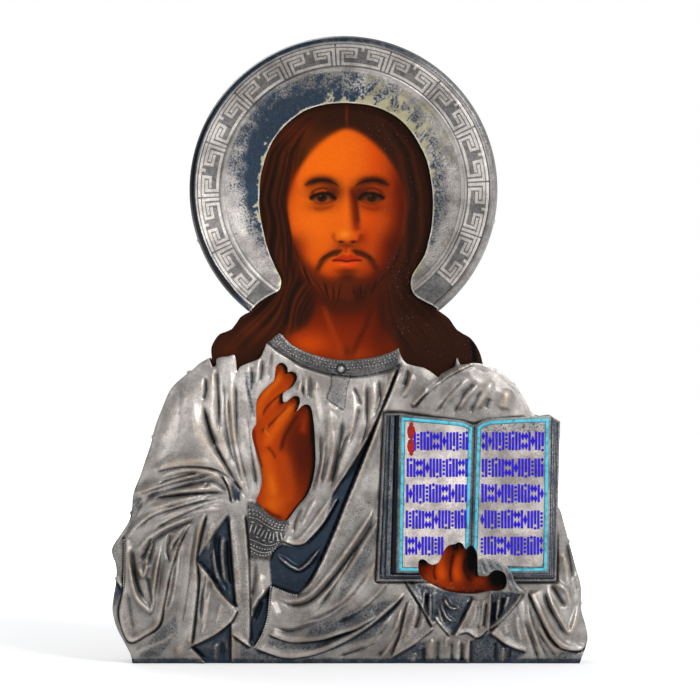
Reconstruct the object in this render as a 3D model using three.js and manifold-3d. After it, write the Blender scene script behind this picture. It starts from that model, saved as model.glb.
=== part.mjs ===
// A figure-shaped icon in its oklad: a painted wooden board under a pressed and chased silver cover.
// Millimetres, +Z up, X to the right as seen from the front, and the front faces -Y.
// The origin is on the underside of the cover, below the middle of the board's thickness.
import * as THREE from "three";
import { mergeVertices } from "three/addons/utils/BufferGeometryUtils.js";
import Module from "manifold-3d";

const wasm = await Module();
wasm.setup();

// Driving dimensions
const figureHeight = 300;
const boardThickness = 22;
const groundThickness = 1.2;
const sheetThickness = 0.8;
const returnDepth = 20;
const clearance = 0.3;
const cutOverrun = 2;
const frontReach = 20;
const weldShare = 0.001;
const flattestMitre = 0.1;

// Garments: heights above the painted face
const garmentHeight = 5;
const garmentEdgeHeight = 2.2;
const garmentEdgeRun = 9;
const openingLipHeight = 4;
const openingLipRun = 7;
const swellHeight = 4;
const foldHeight = 3.4;
const foldWidth = 3.4;
const liningDepth = 1.8;
const liningRun = 2.5;
const collarBandRise = 1.2;
const garmentPitch = 3.2;
const cavityPitch = 11;

// Halo: heights above the painted face
const haloRimHeight = 4.8;
const haloRidgeHeight = 8;
const haloBandDrop = 0.7;
const haloHollowDrop = 4.2;
const haloFacets = 48;
const haloRidgeShare = 0.965;
const haloBandInnerShare = 0.79;
const haloHollowShares = [0.72, 0.64, 0.55, 0.42];
const haloHollowDropShares = [0.42, 0.76, 0.95, 1];

// Book
const bookSeatHeight = 3;
const bookCoverThickness = 3;
const bookPageHeight = 6;
const bookGutterDrop = 3.6;
const bookEdgeDrop = 1;
const bookWall = 1;
const pageColumns = 18;
const pageEdgeShare = 0.22;
const pageDipShare = 0.6;
const plateThickness = 0.8;
const borderWidth = 1.4;
const borderRise = 0.4;
const plateMargin = 1.1;

// Battens across the back of the board
const battenWidth = 24;
const battenDepth = 8;
const battenFlare = 2.5;
const battenProud = 3;
const battenSetback = 1.5;

// Nails and collar stud
const nailShankRadius = 0.6;
const nailHeadRadius = 1.5;
const nailHeadHeight = 0.9;
const nailLength = 11;
const nailSides = 8;
const nailSetback = 3;
const studRadius = 1.7;
const studHeight = 1.3;
const studStemRadius = 0.6;
const studStemLength = 2.2;

// Hanger
const hangerPlateWidth = 26;
const hangerPlateHeight = 10;
const hangerPlateThickness = 1.2;
const ringWireRadius = 1.1;
const ringRadius = 9;
const ringAxisOffset = 3.4;
const wireSides = 8;
const ringSides = 24;
const eyeSides = 16;
const eyeWall = 1;
const eyePlay = 0.6;
const eyeLength = 4;
const screwSpread = 9;
const screwHeadRadius = 2.1;
const screwHeadHeight = 1.1;
const screwShankRadius = 1;
const screwLength = 9;

// Drawing that the outlines are laid out on, in pixels: x to the right, y down
const drawingTop = 36;
const drawingBottom = 664;
const drawingMiddle = 350;
const haloCentrePixel = [343.5, 190];
const haloRadiusPixels = 154;
const plankJointPixels = [270, 430];
const lowerBattenRow = 549;
const upperBattenDropShare = 0.16;
const hangerRiseShare = 0.48;
const collarStudPixel = [341, 369];
const nailPixels = {
  left: [[184, 376], [151, 445], [129, 520], [116, 585], [119, 634]],
  right: [[518, 389], [556, 460], [569, 540], [582, 605], [586, 645]],
};
const haloNailAngles = [195, 140, 90, 40, 345];

// Outlines: each inner list is one smooth stroke, and strokes meet in corners
const leftSilhouette = [
  [209, 358], [192, 370], [176, 383], [166, 398], [158, 418], [150, 445], [140, 475], [132, 499],
  [129, 520], [115, 543], [112, 556], [116, 574], [112, 604], [118, 632], [130, 655], [132, 664],
];
const rightSilhouette = [
  [580, 664], [585, 650], [588, 638], [582, 612], [581, 585], [573, 555], [561, 511], [556, 500],
  [556, 460], [555, 428], [550, 420], [533, 414], [525, 400], [511, 381], [497, 369], [486, 366],
];
const leftShoulderEdge = [
  [209, 358], [215, 366], [217, 359], [234, 355], [237, 371], [246, 364], [260, 358], [266, 344], [271, 340],
];
const collarTop = [[271, 340], [281, 334], [300, 349], [330, 358.5], [360, 359], [384, 354], [399, 348]];
const rightShoulderEdge = [
  [399, 348], [402, 360], [424, 368], [438, 377], [455, 366], [457, 358], [462, 365], [482, 364], [486, 366],
];
const collarBottom = [[399, 364], [378, 372], [350, 375.5], [325, 372], [298, 362], [275, 347], [268, 341]];
const hairLeft = [[250, 309], [239, 315], [230, 327], [217, 333], [209, 346], [209, 358]];
const hairRight = [[486, 366], [482, 351], [473, 337], [459, 328], [450, 316], [433, 304]];
const headCore = [[448, 250], [400, 190], [290, 190], [246, 250]];
const headOpening = [
  [250, 311], [265, 298], [281, 286], [274, 265], [264, 235], [259, 200], [263, 165], [285, 125],
  [325, 104], [370, 105], [412, 132], [431, 178], [433, 210], [425, 254], [412, 282], [424, 301], [441, 309],
];
const belowHead = [[441, 309], [470, 325], [520, 380], [170, 380], [215, 325], [250, 311]];
const blessingHandOpening = [
  [[276, 367], [283, 363], [288, 372]],
  [[288, 372], [296, 376], [294, 385], [284, 392], [283, 401]],
  [[283, 401], [292, 397], [300, 400], [297, 411]],
  [
    [297, 411], [306, 404.5], [312, 411], [315, 440], [314, 475], [306, 497], [288, 519.5], [274, 518],
    [257, 501],
  ],
  [[257, 501], [262, 478], [252, 437], [256, 424], [257, 400], [270, 384], [275, 373], [276, 367]],
];
const lowerHandOpening = [
  [
    [418, 563], [422, 558], [427, 562], [435, 563], [441, 555], [448, 544], [458, 541.5], [465, 548],
    [473, 545.5], [477, 554], [478, 575],
  ],
  [[478, 575], [488, 576], [496, 569], [506, 576], [504, 590], [488, 592]],
  [[488, 592], [466, 594], [437, 587], [420, 574], [418, 563]],
];
const cuffBand = [[247, 503], [258, 501], [272, 516], [290, 521], [281, 545], [270, 560], [250, 556]];

// Book outlines: the cover, and the four edges of each page seen from the front
const bookCover = [
  [385, 413.5], [400, 413.5], [473, 425], [549, 414.5], [560, 421.5], [556, 581], [377, 581],
];
const leftPage = {
  foreEdge: [[396.5, 572], [399.5, 414.5]],
  baseEdge: [[381, 577.5], [387, 415.5]],
  gutter: [[469.5, 572], [474, 426]],
  topEdge: [[399.5, 414.5], [435, 417.5], [462, 420.5], [474, 426]],
};
const rightPage = {
  foreEdge: [[548, 572], [550, 416]],
  baseEdge: [[553.5, 577.5], [557, 423]],
  gutter: [[470.5, 572], [475, 426]],
  topEdge: [[550, 416], [515, 417], [486, 419.5], [475, 426]],
};

// Broad swells of the body under the cloth: centre and radii in drawing pixels
const swells = [
  { centre: [350, 470], radii: [80, 110], riseShare: 0.45 },
  { centre: [190, 425], radii: [50, 75], riseShare: 0.6 },
  { centre: [195, 500], radii: [75, 38], riseShare: 0.8 },
  { centre: [165, 590], radii: [55, 65], riseShare: 0.7 },
  { centre: [235, 585], radii: [35, 65], riseShare: 0.5 },
  { centre: [320, 620], radii: [100, 45], riseShare: 0.8 },
  { centre: [455, 620], radii: [65, 45], riseShare: 0.9 },
  { centre: [545, 615], radii: [40, 55], riseShare: 0.8 },
  { centre: [450, 388], radii: [65, 28], riseShare: 0.5 },
];

// Raised folds of the cloth, as paths in drawing pixels
const ridges = [
  { riseShare: 0.9, widthShare: 1.2, path: [[248, 420], [256, 460], [259, 492]] },
  { riseShare: 0.8, widthShare: 1.1, path: [[214, 437], [226, 458], [240, 480]] },
  { riseShare: 0.7, widthShare: 1.2, path: [[195, 405], [200, 436], [216, 460], [240, 487]] },
  { riseShare: 0.6, widthShare: 1.4, path: [[226, 400], [233, 437], [247, 480]] },
  { riseShare: 0.9, widthShare: 1.3, path: [[155, 466], [185, 460], [222, 466]] },
  { riseShare: 0.8, widthShare: 1.1, path: [[135, 494], [160, 483], [200, 476], [222, 480]] },
  { riseShare: 0.7, widthShare: 1.1, path: [[145, 511], [178, 502], [215, 498]] },
  { riseShare: 0.6, widthShare: 1, path: [[167, 518], [195, 509], [225, 507]] },
  { riseShare: 1, widthShare: 1.2, path: [[204, 514], [197, 548], [196, 590], [189, 640]] },
  { riseShare: 1, widthShare: 1.2, path: [[127, 540], [134, 590], [147, 609], [156, 590], [166, 532]] },
  { riseShare: 0.9, widthShare: 1.2, path: [[119, 612], [128, 637], [147, 634], [164, 605], [176, 552]] },
  { riseShare: 0.7, widthShare: 1.1, path: [[132, 655], [160, 643], [184, 625]] },
  { riseShare: 0.6, widthShare: 1, path: [[145, 500], [131, 522], [118, 545]] },
  { riseShare: 0.8, widthShare: 1.3, path: [[203, 560], [222, 592], [236, 608]] },
  { riseShare: 0.7, widthShare: 1, path: [[230, 520], [236, 570], [238, 605]] },
  { riseShare: 0.9, widthShare: 1, path: [[249, 560], [250, 610], [252, 648]] },
  { riseShare: 0.8, widthShare: 1.2, path: [[320, 400], [323, 440], [316, 480], [297, 520]] },
  { riseShare: 0.6, widthShare: 1.2, path: [[352, 385], [352, 430], [340, 470]] },
  { riseShare: 0.6, widthShare: 1.1, path: [[290, 365], [306, 390], [318, 420]] },
  { riseShare: 0.8, widthShare: 1, path: [[292, 541], [312, 530], [332, 502]] },
  { riseShare: 1.1, widthShare: 1.2, path: [[396, 372], [376, 414], [355, 460], [336, 496]] },
  { riseShare: 0.9, widthShare: 1, path: [[275, 553], [287, 563], [299, 569], [312, 560], [330, 538]] },
  { riseShare: 1, widthShare: 1.1, path: [[272, 592], [290, 600], [312, 592], [342, 557], [378, 502]] },
  { riseShare: 0.8, widthShare: 1.2, path: [[380, 513], [356, 555], [322, 603]] },
  { riseShare: 0.9, widthShare: 1.3, path: [[266, 628], [292, 638], [330, 635], [376, 613]] },
  { riseShare: 1.2, widthShare: 1.3, path: [[404, 592], [375, 618], [342, 639], [306, 652], [270, 649]] },
  { riseShare: 0.8, widthShare: 1.2, path: [[404, 603], [395, 633], [386, 660]] },
  { riseShare: 0.9, widthShare: 1.1, path: [[407, 579], [421, 604], [434, 628]] },
  { riseShare: 0.8, widthShare: 1, path: [[436, 588], [431, 612], [412, 645]] },
  { riseShare: 0.9, widthShare: 1.1, path: [[443, 597], [456, 616]] },
  { riseShare: 0.7, widthShare: 1, path: [[480, 598], [481, 630]] },
  { riseShare: 1, widthShare: 1.1, path: [[525, 593], [506, 616], [488, 632], [506, 644], [528, 652]] },
  { riseShare: 0.6, widthShare: 1, path: [[432, 634], [431, 662]] },
  { riseShare: 0.6, widthShare: 1, path: [[458, 634], [459, 662]] },
  { riseShare: 1, widthShare: 1.2, path: [[530, 592], [540, 614], [553, 638], [572, 650]] },
  { riseShare: 1, widthShare: 1.2, path: [[546, 586], [556, 610], [568, 628], [576, 605]] },
  { riseShare: 1, widthShare: 1.3, path: [[476, 366], [452, 379], [430, 396], [414, 411]] },
  { riseShare: 0.8, widthShare: 1.2, path: [[480, 380], [462, 400], [456, 412]] },
  { riseShare: 0.7, widthShare: 1.4, path: [[505, 385], [497, 410]] },
];

// Hollows and creases between the folds
const creases = [
  { riseShare: 0.7, widthShare: 1.2, path: [[216, 364], [219, 400], [218, 434]] },
  { riseShare: 0.7, widthShare: 1.2, path: [[237, 376], [240, 425], [251, 490]] },
  { riseShare: 0.8, widthShare: 1.2, path: [[204, 405], [214, 440], [234, 475], [250, 499]] },
  { riseShare: 0.6, widthShare: 1.5, path: [[180, 388], [179, 430], [160, 460]] },
  { riseShare: 0.9, widthShare: 1.1, path: [[155, 473], [190, 469], [228, 478], [243, 492]] },
  { riseShare: 0.8, widthShare: 1.1, path: [[148, 499], [190, 492], [228, 490]] },
  { riseShare: 1.1, widthShare: 1.2, path: [[210, 516], [204, 552], [212, 585], [228, 604]] },
  { riseShare: 0.9, widthShare: 1.2, path: [[197, 525], [191, 575], [183, 628]] },
  { riseShare: 1.2, widthShare: 1.4, path: [[144, 550], [147, 575], [151, 550]] },
  { riseShare: 1, widthShare: 1.2, path: [[119, 560], [121, 600]] },
  { riseShare: 1, widthShare: 1.3, path: [[215, 645], [200, 656]] },
  { riseShare: 1.1, widthShare: 1.4, path: [[263, 598], [257, 625], [254, 640]] },
  { riseShare: 0.9, widthShare: 1.2, path: [[303, 375], [302, 398]] },
  { riseShare: 0.8, widthShare: 1.2, path: [[343, 412], [337, 460], [322, 500]] },
  { riseShare: 0.8, widthShare: 1.2, path: [[367, 376], [364, 420], [350, 455]] },
  { riseShare: 1.3, widthShare: 1.6, path: [[352, 500], [330, 545], [305, 582], [283, 586]] },
  { riseShare: 1, widthShare: 1.2, path: [[394, 388], [375, 430], [352, 475]] },
  { riseShare: 0.8, widthShare: 1.2, path: [[270, 620], [310, 618], [350, 600]] },
  { riseShare: 1.1, widthShare: 1.1, path: [[268, 641], [300, 645], [340, 630], [378, 607]] },
  { riseShare: 0.9, widthShare: 1.1, path: [[405, 598], [368, 630], [325, 656]] },
  { riseShare: 1.1, widthShare: 1.3, path: [[413, 590], [424, 606]] },
  { riseShare: 1.1, widthShare: 1.4, path: [[460, 604], [450, 625]] },
  { riseShare: 1, widthShare: 1.2, path: [[491, 596], [490, 622]] },
  { riseShare: 1.1, widthShare: 1.4, path: [[515, 600], [500, 616]] },
  { riseShare: 0.9, widthShare: 1.3, path: [[500, 640], [510, 652]] },
  { riseShare: 1.2, widthShare: 1.3, path: [[557, 590], [565, 610]] },
  { riseShare: 0.9, widthShare: 1.2, path: [[523, 620], [538, 655]] },
  { riseShare: 0.9, widthShare: 1.2, path: [[464, 384], [444, 402]] },
  { riseShare: 0.7, widthShare: 1.2, path: [[408, 368], [405, 392]] },
];

// Parts of the lining that show between the folds and lie deeper than the cloth, as closed outlines
const linings = [
  [[398, 366], [377, 418], [353, 463], [333, 495], [325, 525], [305, 545], [275, 551], [271, 562], [275, 586],
    [298, 593], [310, 582], [335, 530], [348, 497], [372, 437], [390, 392]],
  [[228, 514], [202, 552], [198, 561], [212, 580], [237, 606], [234, 570]],
  [[191, 647], [215, 635], [231, 622], [231, 660], [205, 660]],
  [[270, 585], [254, 610], [249, 640], [252, 647], [262, 632], [268, 603]],
  [[436, 590], [473, 596], [464, 615], [450, 635], [433, 616]],
  [[494, 593], [524, 592], [505, 617], [490, 630]],
  [[408, 582], [431, 590], [432, 622], [417, 602]],
];

// Levels, measured forwards from the middle of the board
const millimetresPerPixel = figureHeight / (drawingBottom - drawingTop);
const boardFront = boardThickness / 2;
const boardBack = -boardFront;
const paintedFace = boardFront + groundThickness;
const sheetSeat = paintedFace + clearance;
const returnBack = paintedFace - returnDepth;
const farFront = paintedFace + frontReach;
const edgeInset = sheetThickness + clearance;
const battenBack = boardBack - battenProud;
const battenFloor = boardBack + battenDepth;
const nailLevel = battenFloor + nailSetback;

// Turns a shape drawn on the XY plane upright, so that its own +Z points forwards to -Y
const upright = new THREE.Matrix4().set(1, 0, 0, 0, 0, 0, -1, 0, 0, 1, 0, 0, 0, 0, 0, 1);

const across = (pixel) => (pixel - drawingMiddle) * millimetresPerPixel;
const upward = (pixel) => (drawingBottom - pixel) * millimetresPerPixel;
const at = ([x, y]) => new THREE.Vector2(across(x), upward(y));
const ease = (share) => THREE.MathUtils.smoothstep(share, 0, 1);

// A smooth stroke through pixel points, as points on the panel
function stroke(pixels, stepsPerPoint = 2) {
  return new THREE.SplineCurve(pixels.map(at)).getPoints((pixels.length - 1) * stepsPerPoint);
}

// Joins strokes end to end into one closed outline, clockwise as the front is seen
function outlineOf(...strokes) {
  const points = [];
  for (const point of strokes.flat()) {
    if (!points.length || points.at(-1).distanceTo(point) > sheetThickness / 2) points.push(point);
  }
  if (points[0].distanceTo(points.at(-1)) < sheetThickness / 2) points.pop();
  return THREE.ShapeUtils.isClockWise(points) ? points : points.reverse();
}

// Moves a line sideways: a clockwise outline shrinks by the distance
function offset(line, distance, closed = true) {
  const count = line.length;
  return line.map((point, i) => {
    const isEnd = !closed && (i === 0 || i === count - 1);
    const before = !closed && i === 0 ? point : line[(i + count - 1) % count];
    const after = !closed && i === count - 1 ? point : line[(i + 1) % count];
    const arriving = point.clone().sub(before).normalize();
    const leaving = after.clone().sub(point).normalize();
    const along = arriving.add(leaving).normalize();
    const normal = new THREE.Vector2(along.y, -along.x);
    const edge = isEnd ? along : leaving;
    const square = new THREE.Vector2(edge.y, -edge.x);
    const reach = Math.min(1 / Math.max(normal.dot(square), flattestMitre), Math.SQRT2);
    return point.clone().addScaledVector(normal, distance * reach);
  });
}

// A flat plate of an outline between two levels
function extrude(outline, back, front) {
  const geometry = new THREE.ExtrudeGeometry(new THREE.Shape(outline), {
    depth: front - back,
    bevelEnabled: false,
  });
  return toSolid(geometry.translate(0, 0, back).applyMatrix4(upright));
}

// A block whose front and back are grids: pointAt gives x, z and level for shares u and v of its sides
function block(columns, rows, pointAt) {
  const geometry = new THREE.BoxGeometry(1, 1, 1, columns, rows, 1);
  const positions = geometry.attributes.position;
  const unit = new THREE.Vector3();
  for (let i = 0; i < positions.count; i++) {
    unit.fromBufferAttribute(positions, i);
    const [x, z, level] = pointAt(unit.x + 1 / 2, unit.y + 1 / 2, unit.z > 0);
    positions.setXYZ(i, x, -level, z);
  }
  return toSolid(geometry);
}

function toSolid(geometry) {
  const bare = geometry.clone();
  bare.deleteAttribute("normal");
  bare.deleteAttribute("uv");
  const merged = mergeVertices(bare, clearance * weldShare);
  return new wasm.Manifold(
    new wasm.Mesh({
      numProp: 3,
      vertProperties: new Float32Array(merged.attributes.position.array),
      triVerts: new Uint32Array(merged.index.array),
    }),
  );
}

function toGeometry(solid) {
  const mesh = solid.getMesh();
  const geometry = new THREE.BufferGeometry();
  geometry.setAttribute("position", new THREE.BufferAttribute(new Float32Array(mesh.vertProperties), 3));
  geometry.setIndex(new THREE.BufferAttribute(new Uint32Array(mesh.triVerts), 1));
  return geometry;
}

function distanceToLine(point, line, closed) {
  let nearest = Infinity;
  const last = closed ? line.length : line.length - 1;
  for (let i = 0; i < last; i++) {
    const a = line[i];
    const b = line[(i + 1) % line.length];
    const dx = b.x - a.x;
    const dy = b.y - a.y;
    const length = dx * dx + dy * dy;
    const share = length
      ? THREE.MathUtils.clamp(((point.x - a.x) * dx + (point.y - a.y) * dy) / length, 0, 1)
      : 0;
    nearest = Math.min(nearest, Math.hypot(point.x - a.x - dx * share, point.y - a.y - dy * share));
  }
  return nearest;
}

function isInside(point, outline) {
  let inside = false;
  for (let i = 0; i < outline.length; i++) {
    const a = outline[i];
    const b = outline[(i + 1) % outline.length];
    const crosses = a.y > point.y !== b.y > point.y;
    if (crosses && point.x < a.x + ((b.x - a.x) * (point.y - a.y)) / (b.y - a.y)) inside = !inside;
  }
  return inside;
}

// Outlines on the panel
const leftSide = stroke(leftSilhouette);
const rightSide = stroke(rightSilhouette);
const neckEdge = [
  ...stroke(rightShoulderEdge, 1).reverse(),
  ...stroke(collarTop).reverse(),
  ...stroke(leftShoulderEdge, 1).reverse(),
];
const robeOutline = outlineOf(leftSide, rightSide, neckEdge);
const silhouette = [...rightSide].reverse().concat([...leftSide].reverse());
const blessingOpening = outlineOf(...blessingHandOpening.map((part) => stroke(part)));
const lowerOpening = outlineOf(...lowerHandOpening.map((part) => stroke(part, 1)));
const collarOutline = outlineOf(stroke(collarTop), stroke(collarBottom));
const cuffOutline = outlineOf(cuffBand.map(at));
const bookOutline = outlineOf(bookCover.map(at));
const haloCentre = at(haloCentrePixel);
const haloRadius = haloRadiusPixels * millimetresPerPixel;
const headOutline = outlineOf(stroke(headOpening), belowHead.map(at));

// The board follows the cover, one sheet and one clearance inside it, and the painted hair between
const disc = new THREE.Path().absarc(haloCentre.x, haloCentre.y, haloRadius - edgeInset, 0, Math.PI * 2);
const discOutline = outlineOf(disc.getPoints(haloFacets));
const robeCore = offset(
  outlineOf(leftSide, rightSide, ...[hairRight, headCore, hairLeft].map((part) => part.map(at))),
  edgeInset,
);

function boardPlate(back, front) {
  return extrude(robeCore, back, front).add(extrude(discOutline, back, front));
}

// Folds and linings laid out on the panel
const placeFolds = (folds) =>
  folds.map(({ riseShare, widthShare, path }) => ({
    rise: riseShare * foldHeight,
    width: widthShare * foldWidth,
    line: stroke(path),
  }));
const placedRidges = placeFolds(ridges);
const placedCreases = placeFolds(creases);
const openEdges = [neckEdge, blessingOpening, lowerOpening];
const placedLinings = linings.map((pixels) => pixels.map(at));

// Height of the garments above the painted face at a point of the panel
function garmentHeightAt(point) {
  const edgeShare = distanceToLine(point, silhouette, false) / garmentEdgeRun;
  let height = THREE.MathUtils.lerp(garmentEdgeHeight, garmentHeight, ease(Math.min(edgeShare, 1)));
  for (const { centre, radii, riseShare } of swells) {
    const middle = at(centre);
    const reach = Math.hypot(
      (point.x - middle.x) / (radii[0] * millimetresPerPixel),
      (point.y - middle.y) / (radii[1] * millimetresPerPixel),
    );
    if (reach >= 1) continue;
    height += riseShare * swellHeight * (1 - reach * reach) ** 2 * ease(Math.min(edgeShare, 1));
  }
  let raised = 0;
  for (const { rise, width, line } of placedRidges) {
    raised = Math.max(raised, rise * Math.exp(-((distanceToLine(point, line, false) / width) ** 2)));
  }
  let sunk = 0;
  for (const { rise, width, line } of placedCreases) {
    sunk = Math.max(sunk, rise * Math.exp(-((distanceToLine(point, line, false) / width) ** 2)));
  }
  height += raised - sunk;
  for (const lining of placedLinings) {
    if (!isInside(point, lining)) continue;
    height -= liningDepth * ease(Math.min(distanceToLine(point, lining, true) / liningRun, 1));
  }
  if (isInside(point, cuffOutline)) height += collarBandRise;
  const lipDistance = Math.min(...openEdges.map((edge, i) => distanceToLine(point, edge, i > 0)));
  height = THREE.MathUtils.lerp(openingLipHeight, height, ease(Math.min(lipDistance / openingLipRun, 1)));
  if (isInside(point, collarOutline)) height += collarBandRise;
  return Math.max(height, garmentEdgeHeight);
}

// The garments: a pressed sheet, hollow behind, with a return edge over the sides of the board
const robeLeft = Math.min(...robeOutline.map((point) => point.x)) - cutOverrun;
const robeRight = Math.max(...robeOutline.map((point) => point.x)) + cutOverrun;
const robeTop = Math.max(...robeOutline.map((point) => point.y)) + cutOverrun;

const gridColumns = Math.ceil((robeRight - robeLeft) / garmentPitch);
const gridRows = Math.ceil((robeTop + cutOverrun) / garmentPitch);

function robePoint(u, v) {
  return new THREE.Vector2(
    THREE.MathUtils.lerp(robeLeft, robeRight, u),
    THREE.MathUtils.lerp(-cutOverrun, robeTop, v),
  );
}

const gridHeights = Array.from({ length: gridColumns + 1 }, (_, i) =>
  Array.from({ length: gridRows + 1 }, (_, j) => garmentHeightAt(robePoint(i / gridColumns, j / gridRows))),
);

function garmentBlock() {
  return block(gridColumns, gridRows, (u, v, isFront) => {
    const point = robePoint(u, v);
    const height = gridHeights[Math.round(u * gridColumns)][Math.round(v * gridRows)];
    return [point.x, point.y, isFront ? paintedFace + height : sheetSeat];
  });
}

// The hollow behind the garments keeps at least one sheet below the lowest cloth around each of its points
function hollowHeightAt(point) {
  const nearBook = isInside(point, bookOutline) || distanceToLine(point, bookOutline, true) < cavityPitch;
  let lowest = nearBook ? bookSeatHeight : Infinity;
  const reach = cavityPitch + garmentPitch;
  gridHeights.forEach((column, i) => {
    column.forEach((height, j) => {
      const near = robePoint(i / gridColumns, j / gridRows);
      const isNear = Math.abs(near.x - point.x) < reach && Math.abs(near.y - point.y) < reach;
      if (isNear) lowest = Math.min(lowest, height);
    });
  });
  return lowest - sheetThickness;
}

function hollowBlock(back) {
  const columns = Math.ceil((robeRight - robeLeft) / cavityPitch);
  const rows = Math.ceil((robeTop + cutOverrun) / cavityPitch);
  return block(columns, rows, (u, v, isFront) => {
    const point = robePoint(u, v);
    return [point.x, point.y, isFront ? paintedFace + hollowHeightAt(point) : back];
  });
}

function rizaSheet() {
  const hollowBack = sheetSeat - cutOverrun;
  const hollow = hollowBlock(hollowBack)
    .intersect(extrude(offset(robeOutline, sheetThickness), hollowBack, farFront))
    .subtract(extrude(offset(blessingOpening, -sheetThickness), hollowBack, farFront))
    .subtract(extrude(offset(lowerOpening, -sheetThickness), hollowBack, farFront));
  const returnLine = [...silhouette, ...offset(silhouette, sheetThickness, false).reverse()];
  const bookSeat = extrude(offset(bookOutline, -clearance), paintedFace + bookSeatHeight, farFront);
  let sheet = garmentBlock()
    .intersect(extrude(robeOutline, sheetSeat, farFront))
    .subtract(hollow)
    .subtract(bookSeat)
    .add(extrude(returnLine, returnBack, sheetSeat + sheetThickness))
    .subtract(extrude(blessingOpening, hollowBack, farFront))
    .subtract(extrude(lowerOpening, hollowBack, farFront))
    .subtract(drill(studStemRadius + clearance, -farFront, farFront, collarStudPlace));
  for (const place of edgeNailPlaces) sheet = sheet.subtract(nailHole(place));
  return sheet;
}

// The halo: a pressed dish with a turned-back rim, open for the head
function haloDish() {
  const outer = [[haloRadius, haloRimHeight], [haloRadius * haloRidgeShare, haloRidgeHeight]];
  const bandHeight = haloRidgeHeight - haloBandDrop;
  outer.push([haloRadius * haloBandInnerShare, bandHeight]);
  haloHollowShares.forEach((share, i) => {
    outer.push([haloRadius * share, bandHeight - haloHollowDrop * haloHollowDropShares[i]]);
  });
  const innerRadius = outer.at(-1)[0];
  const wallRadius = haloRadius - sheetThickness;
  const inner = outer.map(([radius, height]) => [Math.min(radius, wallRadius), height - sheetThickness]);
  const hollowBack = sheetSeat - cutOverrun;
  const dish = spin([
    [wallRadius, returnBack],
    [haloRadius, returnBack],
    ...outer.map(([radius, height]) => [radius, paintedFace + height]),
    [innerRadius, sheetSeat],
    [wallRadius, sheetSeat],
  ]);
  const hollow = spin([
    [wallRadius, hollowBack],
    ...inner.map(([radius, height]) => [radius, paintedFace + height]),
    [innerRadius, hollowBack],
  ]).subtract(extrude(offset(headOutline, -sheetThickness), hollowBack, farFront));
  let halo = dish.subtract(hollow).subtract(extrude(headOutline, returnBack - cutOverrun, farFront));
  for (const place of haloNailPlaces) halo = halo.subtract(nailHole(place));
  return halo;
}

// A ring turned about the halo's axis from a closed section of radius and level
function spin(section) {
  const points = section.map(([radius, level]) => new THREE.Vector2(radius, level));
  const geometry = new THREE.LatheGeometry([...points, points[0]], haloFacets);
  return toSolid(geometry.rotateX(Math.PI).translate(haloCentre.x, 0, haloCentre.y));
}

// Place and direction of a pin, whose own +Y points along the direction
function aim(point, level, direction) {
  const turn = new THREE.Quaternion().setFromUnitVectors(new THREE.Vector3(0, 1, 0), direction);
  const position = new THREE.Vector3(point.x, -level, point.y);
  return new THREE.Matrix4().compose(position, turn, new THREE.Vector3(1, 1, 1));
}

function drill(radius, from, to, place) {
  const geometry = new THREE.CylinderGeometry(radius, radius, to - from, nailSides);
  return toSolid(geometry.translate(0, (from + to) / 2, 0).applyMatrix4(place));
}

function nailHole(place) {
  return drill(nailShankRadius + clearance, -nailLength - clearance, cutOverrun, place);
}

// Nails in the return edge stand square on the flat of the sheet nearest to the marked place
function edgeNailPlace(pixel) {
  const mark = at(pixel);
  let nearest = null;
  for (let i = 0; i + 1 < silhouette.length; i++) {
    const middle = silhouette[i].clone().add(silhouette[i + 1]).multiplyScalar(1 / 2);
    const distance = middle.distanceTo(mark);
    if (!nearest || distance < nearest.distance) nearest = { distance, middle, i };
  }
  const along = silhouette[nearest.i + 1].clone().sub(silhouette[nearest.i]).normalize();
  return aim(nearest.middle, nailLevel, new THREE.Vector3(-along.y, 0, along.x));
}

function haloNailPlace(angle) {
  const facet = (Math.PI * 2) / haloFacets;
  const middleAngle = (Math.round(THREE.MathUtils.degToRad(angle) / facet - 1 / 2) + 1 / 2) * facet;
  const outward = new THREE.Vector2(Math.cos(middleAngle), Math.sin(middleAngle));
  const point = haloCentre.clone().addScaledVector(outward, haloRadius * Math.cos(facet / 2));
  return aim(point, nailLevel, new THREE.Vector3(outward.x, 0, outward.y));
}

// A pin turned about its own +Y from points of radius and height
function turned(points) {
  const section = points.map(([radius, along]) => new THREE.Vector2(radius, along));
  return new THREE.LatheGeometry(section, nailSides);
}

function nail() {
  const points = [
    [0, -nailLength],
    [nailShankRadius, -nailLength + nailShankRadius * 2],
    [nailShankRadius, clearance],
    [nailHeadRadius, clearance],
    [nailHeadRadius / 2, clearance + nailHeadHeight],
    [0, clearance + nailHeadHeight],
  ];
  return turned(points);
}

const forwards = new THREE.Vector3(0, -1, 0);
const backwards = new THREE.Vector3(0, 1, 0);
const edgeNailPlaces = [...nailPixels.left, ...nailPixels.right].map(edgeNailPlace);
const haloNailPlaces = haloNailAngles.map(haloNailPlace);
const collarStudPoint = at(collarStudPixel);
const collarStudPlace = aim(collarStudPoint, paintedFace + garmentHeightAt(collarStudPoint), forwards);

// The book: levels of its cover and pages, and a surface that dips from the fore-edge to the gutter
const coverBack = paintedFace + bookSeatHeight + clearance;
const coverFront = coverBack + bookCoverThickness;
const pageFront = coverFront + bookPageHeight;

function pageLevelAt(fromFore) {
  const rounded = bookEdgeDrop * (1 - ease(fromFore / pageEdgeShare));
  const dipped = bookGutterDrop * ease((fromFore - pageDipShare) / (1 - pageDipShare));
  return pageFront - rounded - dipped;
}

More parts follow.
